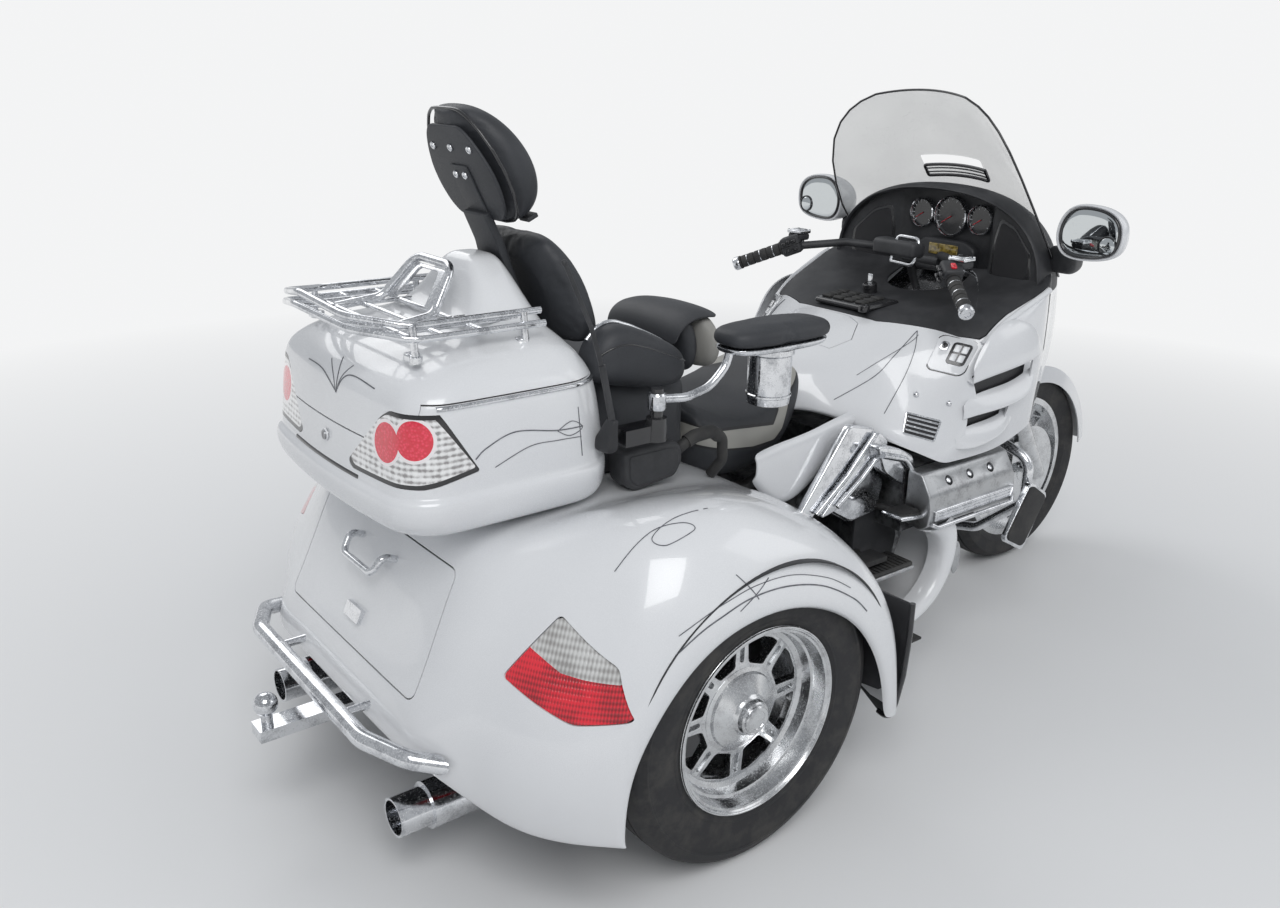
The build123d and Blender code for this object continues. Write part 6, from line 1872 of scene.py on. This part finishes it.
        inner = [tuple(m + (p - m) * 0.88 for p, m in zip(place, middle)) for place in speaker]
        self.pair(Bench.plate("speaker_mesh", inner, push, 9, 3, 12), Mesh("speaker_mesh", 560.0).make())
        brow = Bench.plate("display_housing", [(1330, y, z) for y, z in ((-98, 1000), (-104, 1076), (-70, 1096),
            (70, 1096), (104, 1076), (98, 1000))], Axis.X, -38, 8, 10)
        self.fit(brow, "plastic")
        screen = Bench.box("display_glass", (1288, -50, 1050), (1293, 50, 1082), 3)
        self.fit(screen, Amber().make())
        for name, y, radius in (("left", 101, 40), ("middle", 0, 54), ("right", -101, 40)):
            self.gauge(name, y, radius)

    def gauge(self, name: str, y: float, radius: float) -> None:
        """Builds one gauge with its ring, its dial, its marks and its needle."""
        centre, back = (1320, y, 1160), (-1, 0, 0)
        ring = Bench.spun("gauge_ring_" + name, [(radius - 3, 0), (radius + 2, 0), (radius + 2, 16),
            (radius - 0.5, 19), (radius - 3, 15)], centre, back, 64)
        self.fit(ring, "chrome", *(("gauges",) if name == "middle" else ()))
        dial = Bench.spun("gauge_dial_" + name, [(0.4, 2), (radius - 2, 2), (radius - 2, 7), (0.4, 6)], centre, back,
            64)
        self.fit(dial, "gloss")
        marks = []
        for step in range(15):
            angle = math.radians(-130 + 260 * step / 14)
            dy, dz = math.sin(angle), math.cos(angle)
            inner = 0.74 if step % 2 == 0 else 0.82
            marks.append(Bench.rod("gauge_mark", (1312.5, y - dy * radius * inner, 1160 + dz * radius * inner),
                (1312.5, y - dy * radius * 0.9, 1160 + dz * radius * 0.9), 0.9, 0, 6))
        self.fit(Bench.join("gauge_marks_" + name, marks), "white")
        # The needle takes the red lens finish, so it glows faintly: painted light on a pointer that is no lamp.
        needle = Bench.rod("gauge_needle_" + name, (1312, y, 1160), (1312, y + radius * 0.62, 1160 - radius * 0.4),
            1.6, 0, 8, 0.5)
        self.fit(needle, "red")

    def shield(self) -> None:
        """Builds the clear screen, its dark edge and its vent."""
        widths = ((0.0, 296), (0.06, 318), (0.15, 336), (0.28, 348), (0.42, 347), (0.56, 338), (0.70, 322),
            (0.82, 297), (0.90, 266), (0.95, 232), (0.98, 196), (1.0, 150))
        radius = 480.0

        def point(share: float, y: float) -> Place:
            """Returns a place on the screen."""
            back = radius - math.sqrt(radius * radius - y * y)
            return (1500 - 367 * share - 0.755 * back, y, 1082 + 421 * share - 0.655 * back)

        rows = [[point(share, half * (step / 8 - 1)) for step in range(17)] for share, half in widths]
        glass = Bench.skin("screen_sheet", rows, 2, wall=4)
        low, high, reach = 0.452, 0.524, 104
        corners = [point(high, -reach), point(high, reach), point(low, reach), point(low, -reach)]
        hole = Bench.plate("vent_hole", [(x - 60, y, z) for x, y, z in corners], (0.75, 0, 0.65), 130, 0, 8)
        Bench.cut(glass, hole, solver="MANIFOLD")
        self.fit(glass, "shield", "windshield", angle=60)
        edge = [rows[index][0] for index in range(1, len(rows))] + rows[-1][1:-1] + [rows[index][-1]
            for index in range(len(rows) - 1, 0, -1)]
        self.fit(Bench.tube("screen_edge", edge, 3.0, 30, 3), "gloss", angle=60)
        across = [reach * (step / 4 - 1) for step in range(9)]
        loop = [point(high, y) for y in across] + [point(low, -y) for y in across]
        frame_ring = Bench.tube("vent_frame", loop + [loop[0]], 4.5, 8, 4)
        slats = [Bench.tube("vent_slat", [point(share, y) for y in across], 2.2, 20, 3) for share in (0.476, 0.50)]
        self.fit(Bench.join("vent_frame", [frame_ring] + slats), "gloss", angle=60)

    def mirrors(self) -> None:
        """Builds the mirror housings, their glass and the small round glass in each."""
        outline = ((413, 1240), (460, 1243), (514, 1237), (548, 1214), (559, 1186), (558, 1150), (548, 1124),
            (518, 1107), (466, 1100), (415, 1099), (386, 1114), (373, 1140), (370, 1175), (384, 1214))
        middle = (466, 1170)

        def loop(x: float, share: float, shift: float = 0.0) -> list[Place]:
            """Returns the outline at a station, drawn in by a share."""
            return [(x, -(middle[0] - shift + (y - middle[0]) * share),
                middle[1] - shift * 0.3 + (z - middle[1]) * share) for y, z in outline]

        rows = [loop(1262, 0.88), loop(1256, 0.93), loop(1254, 0.98), loop(1262, 1.01), loop(1280, 1.0),
            loop(1308, 0.92, 6), loop(1336, 0.76, 14), loop(1356, 0.50, 22), loop(1364, 0.24, 26)]
        shell = Bench.skin("mirror_shell", rows, 2, closed=True)
        self.pair(shell, "white", "mirror_housings", angle=50)
        arm = Bench.skin("mirror_arm", [section(1296, 40, 1058, 1128, 24, 0, -372),
            section(1320, 46, 1046, 1120, 26, 0, -362), section(1380, 40, 1048, 1104, 24, 0, -350),
            section(1410, 26, 1056, 1090, 15, 0, -342)], 2, closed=True)
        self.pair(arm, "plastic", angle=50)
        rim = Bench.skin("mirror_seal", [loop(1259, 0.90), loop(1253.5, 0.88), loop(1253.5, 0.84), loop(1259, 0.82)],
            2, ring=True, wall=2)
        self.pair(rim, "gloss", angle=50)
        glass = Bench.skin("mirror_glass", [loop(1261, 0.86), loop(1255.5, 0.85), loop(1255, 0.5), loop(1254.8, 0.05)],
            2, closed=True)
        self.pair(glass, "mirror", "mirror_glasses", angle=50)
        spot = Bench.ball("spot_mirror", (1256, -518, 1146), (7, 23, 23), 32)
        self.pair(spot, "mirror", angle=60)
        ring = Bench.spun("spot_ring", [(22, 0), (25, 0), (25, 3), (22.5, 4)], (1255, -518, 1146), (-1, 0, 0), 40)
        self.pair(ring, "gloss")

    def build(self) -> None:
        """Builds and fits every piece of the front."""
        self.panels()
        self.trims()
        self.keypad()
        self.dash()
        self.shield()
        self.mirrors()


@dataclass(frozen=True)
class Mesh:
    """Black woven mesh behind an opening."""

    name: str = "gill_mesh"
    holes_per_m: float = 110.0

    def make(self) -> Finish:
        """Returns the finish."""
        finish = Finish(self.name, "black_plastic")
        x, y, z = finish.axes()
        first = finish.math("SINE", (x + y * 0.6 + z) * self.holes_per_m * math.tau)
        second = finish.math("SINE", (x + y * 0.6 - z) * self.holes_per_m * math.tau)
        wire = ((first > 0.62) * 1.0 + (second > 0.62) * 1.0).clamped()
        colour = finish.ramp(wire, [(0.0, (0.004, 0.004, 0.005)), (1.0, (0.05, 0.05, 0.055))])
        finish.surface(Base_Color=colour, Roughness=wire * 0.2 + 0.4, Normal=finish.bump(wire, 0.0012, 0.8))
        return finish


@dataclass(frozen=True)
class Amber:
    """The amber display under clear glass."""

    def make(self) -> Finish:
        """Returns the finish."""
        finish = Finish("amber_display", "dial")
        band = finish.noise(90.0, 3.0)
        colour = finish.ramp(band, [(0.4, (0.10, 0.07, 0.015)), (0.6, (0.30, 0.22, 0.05))])
        finish.surface(Base_Color=colour, Roughness=band * 0.1 + 0.12, Coat_Weight=1.0, Emission_Color=colour,
            Emission_Strength=0.08)
        return finish


# Controls


@dataclass
class Controls(Group):
    """The grips, the switch pods, the reservoirs and the levers, which turn with the fork."""

    inner: tuple = (948, -292, 1062)
    outer: tuple = (868, -402, 1006)
    pod_share: float = -0.12

    def seated(self, piece: Object) -> Object:
        """Moves a part of the pod that was made about the rear axle, with +X along the grip, to its seat."""
        way = (Vector(self.outer) - Vector(self.inner)).normalized()
        side = Vector((0, 0, 1)).cross(way).normalized()
        frame_of = Matrix((way, side, way.cross(side))).transposed().to_4x4()
        there = Matrix.Translation(at(*Vector(self.inner).lerp(Vector(self.outer), self.pod_share)))
        return Bench.moved(piece, there @ frame_of @ Matrix.Translation(-at(0, 0, 0)))

    def grip(self) -> None:
        """Builds the ribbed grip with its bright rings and its bar end."""
        way, profile = tuple(Vector(self.outer) - Vector(self.inner)), [(11, 12), (20, 12), (20, 17)]
        for index in range(6):
            start = 19 + index * 20
            profile += [(15, start - 1), (17.4, start + 1), (18, start + 9), (17.4, start + 17), (15, start + 18)]
        profile += [(19, 139), (19, 144), (11, 144)]
        grip = Bench.spun("hand_grip_rubber", profile, self.inner, way, 40)
        self.pair(grip, "rubber", "grips", body="steering", angle=40)
        rings = [Bench.spun("grip_ring", [(15, a), (17.8, a), (17.8, a + 2.4), (15, a + 2.4)], self.inner, way, 40)
            for a in (37.8, 77.8, 117.8)]
        end = Bench.spun("grip_end", [(9, 143), (18.5, 144), (19.5, 147), (19.5, 158), (16, 163), (9, 164), (8, 161),
            (0.4, 160)], self.inner, way, 40)
        self.pair(Bench.join("grip_metal", rings + [end]), "chrome", body="steering")

    def pod(self) -> None:
        """Builds the switch pod with its buttons, and the reservoir above it."""
        pod = Bench.box("switch_pod_body", (-27, -25, -27), (30, 27, 26), 9, 5)
        Bench.cut(pod, Bench.box("pod_seam", (-40, -40, -1.0), (40, 40, 1.0), 0))
        self.pair(self.seated(pod), "plastic", "switch_pods", body="steering", angle=45)
        core = Bench.box("pod_core", (-24, -22, -8), (27, 24, 8), 2)
        keys = [core]
        for x, z, wide in ((-18, 6, 12), (-2, 8, 10), (12, 6, 12), (-16, -16, 16), (6, -16, 14)):
            keys.append(Bench.box("pod_key", (x, -34, z), (x + wide, -22, z + 9), 2.5, 3))
        self.pair(self.seated(Bench.join("pod_keys", keys)), "gloss", body="steering", angle=40)
        # The stop switch takes the red lens finish, so it glows faintly: painted light on a switch that is no lamp.
        stop = self.seated(Bench.box("stop_switch", (0, -6, 24), (20, 8, 33), 3, 3))
        self.fit(stop, "red", body="steering")
        base = Bench.box("reservoir_body", (968, -310, 1080), (1012, -262, 1100), 7, 4)
        self.pair(base, "plastic", "levers", body="steering", angle=40)
        cap = Bench.box("reservoir_cap", (966, -312, 1099), (1014, -260, 1109), 4, 4)
        plate = Bench.box("reservoir_plate", (973, -305, 1107), (1007, -267, 1111.5), 5, 3)
        screws = [Bench.rod("cap_screw", (x, y, 1106), (x, y, 1111), 3.0, 0.8, 16) for x in (970, 1010)
            for y in (-308, -264)]
        self.pair(Bench.join("reservoir_cap", [cap, plate] + screws), "chrome", body="steering")

    def lever(self) -> None:
        """Builds the long bright lever in front of the grip."""
        rows = []
        for x, y, z, half, high in ((990, -272, 1076, 9, 7), (1008, -292, 1076, 10, 7), (1006, -318, 1070, 9, 6),
                (984, -346, 1056, 8, 5.5), (948, -376, 1036, 8, 5), (918, -396, 1018, 8, 5), (908, -402, 1012, 9.5, 7),
                (902, -406, 1009, 5, 4)):
            rows.append([(x + half * math.cos(turn) * 0.8, y + half * math.cos(turn) * 0.6,
                z + high * math.sin(turn)) for turn in [math.tau * step / 10 for step in range(10)]])
        lever = Bench.skin("brake_lever_blade", rows, 2, closed=True)
        pivot = Bench.rod("lever_pivot", (994, -286, 1066), (994, -286, 1090), 8, 2, 24)
        self.pair(Bench.join("brake_lever_blade", [lever, pivot]), "chrome", body="steering", angle=50)

    def build(self) -> None:
        """Builds and fits every control."""
        dress("handlebar", self.coats.plastic)
        self.grip()
        self.pod()
        self.lever()
        cover = Bench.box("bar_cover", (1062, -74, 1064), (1120, 74, 1110), 14, 5)
        self.fit(cover, "plastic", body="steering", angle=40)
        loop = [(1073, 4, 1044), (1096, 6, 1112), (1100, -66, 1110), (1078, -70, 1040), (1073, 4, 1044)]
        ring = Bench.tube("bar_loop", [(x - 3, y + 1, z + 8) for x, y, z in loop], 5, 16, 4)
        self.fit(ring, "chrome", body="steering", angle=60)


# Trims


@dataclass
class Trims(Group):
    """The dark inner walls, the rack plate, the side pods, the grab rails, the antenna and the stripes."""

    well: float = 352.0

    scrolls: tuple = ((((656, -196, 767), (763, -228, 818), (824, -236, 865), (903, -239, 921)), 2.0),
        (((756, -277, 734), (825, -274, 819), (870, -262, 878), (903, -239, 921)), 2.0),
        (((690, -190, 800), (780, -216, 848), (880, -246, 900), (918, -240, 924)), 1.4),
        (((-250, -682, 566), (-198, -686, 595), (-151, -687, 612), (-77, -687, 630), (15, -687, 628), (115, -687, 601),
        (207, -688, 548), (252, -690, 506)), 2.6), (((-240, -680, 600), (-180, -683, 624), (-137, -684, 637),
        (-62, -683, 650), (32, -682, 645), (132, -683, 612), (200, -686, 572)), 1.5),
        (((-104, -674, 680), (-70, -684, 640), (-46, -687, 604)), 1.8), (((-30, -680, 656), (-60, -685, 636),
        (-104, -687, 612)), 1.8), (((-300, -560, 700), (-238, -554, 734), (-194, -557, 753), (-147, -577, 758),
        (-143, -597, 750), (-203, -593, 734), (-216, -566, 741), (-160, -556, 762), (-80, -560, 764)), 1.6),
        (((-440, -331, 868), (-415, -330, 886), (-354, -330, 905), (-264, -330, 891), (-202, -326, 888)), 2.0),
        (((-400, -331, 845), (-325, -330, 871), (-264, -330, 871), (-206, -328, 868)), 1.4),
        (((-213, -326, 928), (-209, -328, 882), (-204, -328, 828)), 1.6), (((-262, -329, 889), (-229, -328, 903),
        (-203, -327, 886), (-233, -329, 875), (-262, -329, 889)), 1.4))
    rear_scrolls: tuple = ((((-567, 107, 980), (-571, 29, 977), (-577, -45, 950)), 2.4),
        (((-577, -45, 950), (-565, -80, 988), (-558, -170, 984), (-549, -270, 966)), 2.4),
        (((-548, -20, 1008), (-570, -40, 985), (-577, -46, 948)), 2.0), (((-556, 14, 998), (-572, -24, 976),
        (-577, -44, 948)), 1.6), (((-552, -74, 1004), (-570, -58, 982), (-577, -46, 948)), 1.6))

    def liners(self) -> None:
        """Builds the dark wheel wells and the boot's walls."""
        turns = [math.radians(-8 + 196 * step / 28) for step in range(29)]
        arc = [(self.well * math.cos(turn), 318 + self.well * math.sin(turn)) for turn in turns]
        sheet = Bench.skin("wheel_well", [[(x, y, z) for x, z in arc] for y in (-432, -560, -684)], 1)
        Bench.modify(sheet, "SOLIDIFY", thickness=0.003, offset=0.0)
        wall = Bench.plate("well_wall", [(x, -432, z) for x, z in arc], Axis.Y, 3)
        well = Bench.join("wheel_well", [sheet, wall])
        Bench.outward(well)
        self.pair(well, "plastic", angle=40)
        mouth = [(-548, 284, 404), (-430, 284, 644), (-430, -284, 644), (-548, -284, 404)]
        rows = [mouth, [(-400, 366, 346), (-400, 366, 682), (-400, -366, 682), (-400, -366, 346)],
            [(-136, 366, 346), (-136, 366, 682), (-136, -366, 682), (-136, -366, 346)]]
        boot = Bench.skin("boot_liner", rows, 0, ring=True)
        back = Bench.plate("boot_back", rows[2], Axis.X, 3)
        Bench.modify(boot, "SOLIDIFY", thickness=0.003, offset=0.0)
        boot = Bench.join("boot_liner", [boot, back])
        Bench.outward(boot)
        self.fit(boot, "vinyl", angle=40)

    def rack_plate(self) -> None:
        """Builds the bright plate in the rack's hoop and the cross slats."""
        outline = [(-398, -100, 1092), (-398, 100, 1092), (-343, 62, 1162), (-343, -62, 1162)]
        plate = Bench.plate("hoop_plate", outline, (0.78, 0, -0.62), 6, 2, 10)
        hole = Bench.plate("hoop_hole", [(x - 12, y * 0.66, z + 6 + (6 if z < 1120 else -6)) for x, y, z in outline],
            (0.78, 0, -0.62), 40, 0, 8)
        self.fit(Bench.cut(plate, hole), "chrome", body="lid")
        slats = [Bench.tube("rack_slat", [(-252, y, 1078), (-506, y, 1078), (-592, y * 0.8, 1095)], 4.5, 30, 3)
            for y in (-172, -112, 112, 172)]
        self.fit(Bench.join("rack_slats", slats), "chrome", body="lid", angle=60)
        feet = [Bench.rod("rack_foot", (x, y, 1036), (x, y, 1050), 15, 3, 28) for x in (-268, -500)
            for y in (-216, 216)]
        self.fit(Bench.join("rack_feet", feet), "chrome", body="lid")

    def seat_sides(self) -> None:
        """Builds the black side pods with their lids, and the grab arms beside the seats."""
        outline = [(-90, -252, 806), (-86, -252, 736), (-62, -252, 716), (48, -252, 728), (66, -252, 760),
            (60, -252, 800), (30, -252, 806)]
        pod = Bench.plate("side_pod_shell", outline, Axis.Y, -64, 10, 12)
        lid = Bench.plate("side_pod_lid", [(x * 0.84 - 3, -314, 764 + (z - 764) * 0.76) for x, _, z in outline],
            Axis.Y, -5, 2.5, 10)
        self.pair(Bench.join("side_pod_shell", [pod, lid]), "plastic", "side_pods", angle=40)
        arm = Bench.tube("grab_arm", [(40, -286, 744), (62, -300, 782), (104, -302, 804), (158, -300, 806),
            (190, -298, 782), (196, -294, 730), (184, -270, 690)], 12, 22, 5)
        pad = Bench.tube("grab_pad", [(84, -301, 794), (106, -302, 803), (156, -300, 805), (176, -299, 790)], 15, 22,
            5)
        self.pair(Bench.join("grab_arm", [arm, pad]), "rubber", "grab_rails", angle=50)

    def antenna(self) -> None:
        """Builds the antenna's shaped foot and its dark mast."""
        foot = Bench.skin("antenna_foot", [[(-152 + a * 16 * k, -330 + b * 30 * k - d, z) for a, b in ((-1, -1),
            (0, -1.12), (1, -1), (1.1, 0), (1, 1), (0, 1.12), (-1, 1), (-1.1, 0))] for z, k, d in ((826, 1.0, 0),
            (846, 0.94, 4), (872, 0.66, 14), (896, 0.46, 24), (900, 0.40, 25))], 2, closed=True)
        mast = Bench.tube("antenna_mast", [(-152, -355, 894), (-176, -352, 1010)], 7, 10, 5)
        whip = Bench.tube("antenna_whip", [(-174, -352, 1000), (-198, -348, 1084), (-250, -336, 1210)], 4.6, 60, 4)
        tip = Bench.ball("antenna_tip", (-250, -336, 1208), (6, 6, 6), 16)
        self.fit(Bench.join("antenna_foot", [foot, mast, whip, tip]), "plastic", "antenna", angle=50)

    def stripe(self, name: str, points: Sequence[Place], width: float = 2.2, body: str = "chassis",
            mirror: bool = True) -> None:
        """Lays a painted line on the nearest white skin.

        Args:
            name: The piece's name.
            points: Places near the skin, on the right side.
            width: The line's width in millimetres.
            body: The body whose skin it lies on.
            mirror: Whether the left side has it too.
        """
        skins = [piece for piece in bpy.data.objects if piece.name in STRIPED]
        rows = self.walk(points)
        left, right = [], []
        for index, place in enumerate(rows):
            ahead = (rows[min(index + 1, len(rows) - 1)] - rows[max(index - 1, 0)]).normalized()
            best = min((skin.closest_point_on_mesh(at(*place)) for skin in skins if skin.data.polygons),
                key=lambda found: (found[1] - at(*place)).length)
            spot, normal = best[1], best[2]
            side = normal.cross(ahead).normalized() * width * MM / 2
            left.append(spot + side + normal * STRIPE_LIFT)
            right.append(spot - side + normal * STRIPE_LIFT)
        to_mm = [[((p.x - AXLE_X) / MM, p.y / MM, p.z / MM) for p in edge] for edge in (left, right)]
        ribbon = Bench.skin(name, to_mm, 0, wall=0.8)
        fit = self.pair if mirror else self.fit
        fit(ribbon, "ink", body=body, angle=60)

    @staticmethod
    def walk(points: Sequence[Place]) -> list[Vector]:
        """Returns a smooth run of places through the given ones."""
        places = [Vector(place) for place in points]
        whole = [places[0]] + places + [places[-1]]
        rows = []
        for index in range(1, len(whole) - 2):
            a, b, c, d = whole[index - 1:index + 3]
            for step in range(12):
                t = step / 12
                bend, twist = 2 * a - 5 * b + 4 * c - d, 3 * b - a - 3 * c + d
                rows.append(0.5 * ((2 * b) + (c - a) * t + bend * t * t + twist * t ** 3))
        return rows + [places[-1]]

    def stripes(self) -> None:
        """Lays the fine scrolls on the shelter, the fenders and the trunk."""
        for index, (points, width) in enumerate(self.scrolls):
            self.stripe("scroll_line_%d" % index, points, width)
        for index, (points, width) in enumerate(self.rear_scrolls):
            self.stripe("rear_scroll_%d" % index, points, width, "lid", False)

    def build(self) -> None:
        """Builds and fits every trim."""
        dress("armrest_post", self.coats.gloss)
        self.liners()
        self.rack_plate()
        self.seat_sides()
        self.antenna()
        self.stripes()


GROUPS = (RearBody, TourTrunk, Upholstery, Wheels, LowerSides, FrontBody, Controls, Trims)


# Studio


@dataclass
class Studio:
    """The pale floor, the lamps and the camera at the photograph's view."""

    eye: tuple = (-1361.2, -1987.2, 1540.3)
    yaw: float = 51.922
    pitch: float = 19.282
    roll: float = -1.226
    lens: float = 30.953
    floor_colour: tuple = (0.80, 0.805, 0.81)
    backdrop: tuple = (0.90, 0.905, 0.91)
    sky: float = 0.50

    def floor(self) -> None:
        """Makes the floor, which fades into the pale backdrop far from the trike."""
        Bench.clear()
        bpy.ops.mesh.primitive_plane_add(size=60.0, location=(0, 0, -0.0005))
        floor = Bench.settle("floor")
        finish = Finish("floor_paint", "white_paint")
        shade = finish.ramp(finish.noise(1.5, 3.0), [(0.3, self.floor_colour), (0.7, self.floor_colour)])
        x, y, _ = finish.axes()
        away = finish.math("SQRT", x * x + y * y)
        far = ((away - 1.6) / 3.4).clamped()
        path = finish.tree.nodes.new("ShaderNodeLightPath")
        seen = (Wire(finish, path.outputs["Is Camera Ray"]) + Wire(finish, path.outputs["Is Glossy Ray"])
            + Wire(finish, path.outputs["Is Transmission Ray"])).clamped()
        paint = finish.node("ShaderNodeBsdfDiffuse", {}, {"Color": shade})
        glow = finish.node("ShaderNodeEmission", {}, {"Color": (*self.backdrop, 1.0), "Strength": 1.0})
        mixed = finish.node("ShaderNodeMixShader", {}, {0: far * seen, 1: paint, 2: glow})
        finish.node("ShaderNodeOutputMaterial", {}, {"Surface": mixed})
        floor.data.materials.append(finish.material)

    def lamp(self, name: str, place: Place, target: Place, size: float, power: float) -> None:
        """Adds one soft area lamp.

        Args:
            name: The lamp's name.
            place: Where it is, in metres.
            target: Where it points, in metres.
            size: Its side in metres.
            power: Its power in watts.
        """
        light = bpy.data.lights.new(name, "AREA")
        light.size = size
        light.energy = power
        lamp = bpy.data.objects.new(name, light)
        lamp.location = place
        lamp.rotation_euler = (Vector(target) - Vector(place)).to_track_quat("-Z", "Y").to_euler()
        bpy.context.scene.collection.objects.link(lamp)

    def world(self) -> None:
        """Lights the world evenly, with a paler backdrop than its light."""
        world = bpy.data.worlds.new("studio_world")
        bpy.context.scene.world = world
        world.use_nodes = True
        tree = world.node_tree
        tree.nodes.clear()
        path = tree.nodes.new("ShaderNodeLightPath")
        light = tree.nodes.new("ShaderNodeBackground")
        light.inputs["Color"].default_value = (0.90, 0.93, 0.97, 1.0)
        light.inputs["Strength"].default_value = self.sky
        seen = tree.nodes.new("ShaderNodeBackground")
        seen.inputs["Color"].default_value = (*self.backdrop, 1.0)
        seen.inputs["Strength"].default_value = 1.0
        mix = tree.nodes.new("ShaderNodeMixShader")
        out = tree.nodes.new("ShaderNodeOutputWorld")
        tree.links.new(path.outputs["Is Camera Ray"], mix.inputs[0])
        tree.links.new(light.outputs[0], mix.inputs[1])
        tree.links.new(seen.outputs[0], mix.inputs[2])
        tree.links.new(mix.outputs[0], out.inputs[0])

    def camera(self) -> None:
        """Makes the camera."""
        yaw, pitch, roll = (math.radians(value) for value in (self.yaw, self.pitch, self.roll))
        ahead = Vector((math.cos(pitch) * math.cos(yaw), math.cos(pitch) * math.sin(yaw), -math.sin(pitch)))
        right = Vector((math.sin(yaw), -math.cos(yaw), 0.0))
        down = ahead.cross(right)
        turned_right = right * math.cos(roll) + down * math.sin(roll)
        turned_down = down * math.cos(roll) - right * math.sin(roll)
        basis = Matrix((turned_right, -turned_down, -ahead)).transposed().to_4x4()
        data = bpy.data.cameras.new("camera")
        data.lens = self.lens
        data.sensor_width = 36.0
        data.sensor_fit = "HORIZONTAL"
        data.clip_start = 0.05
        camera = bpy.data.objects.new("camera", data)
        camera.matrix_world = Matrix.Translation(at(*self.eye)) @ basis
        bpy.context.scene.collection.objects.link(camera)
        bpy.context.scene.camera = camera

    def build(self) -> None:
        """Sets up the whole studio."""
        bpy.context.scene.view_settings.view_transform = "Standard"
        self.floor()
        self.world()
        self.lamp("key_lamp", (-2.6, -3.4, 4.6), (0, 0, 0.6), 3.0, 120.0)
        self.lamp("fill_lamp", (3.4, -2.6, 3.4), (0.2, 0, 0.7), 3.0, 26.0)
        self.lamp("back_lamp", (-0.5, 3.8, 4.2), (0, 0, 0.7), 3.5, 60.0)
        self.camera()


def dress_nodes(coats: Coats) -> None:
    """Gives every frame node a finish, whether it shows or not."""
    finishes = {"white_paint": coats.white, "chrome": coats.chrome, "aluminium": coats.polished,
        "engine_metal": coats.cast, "tyre": coats.tyre, "black_plastic": coats.plastic, "rubber": coats.rubber,
        "vinyl": coats.vinyl, "frame_paint": coats.dark_paint, "clear_shield": coats.shield, "red_lens": coats.red,
        "clear_lens": coats.clear, "mirror": coats.mirror, "dial": coats.gloss}
    for part in frame["record"]["subparts"]:
        dress(part["node"], finishes[part["material_slot"]])


def main() -> None:
    """Builds the trike's visible pieces and the studio."""
    logging.basicConfig(level=logging.INFO, format="%(message)s")
    coats = Coats()
    dress_nodes(coats)
    Studio().build()
    for group in GROUPS:
        group(coats).build()
    LOG.info("%d pieces fitted", len(FITTED))
    Bench.clear()


if __name__ == "__main__":
    main()
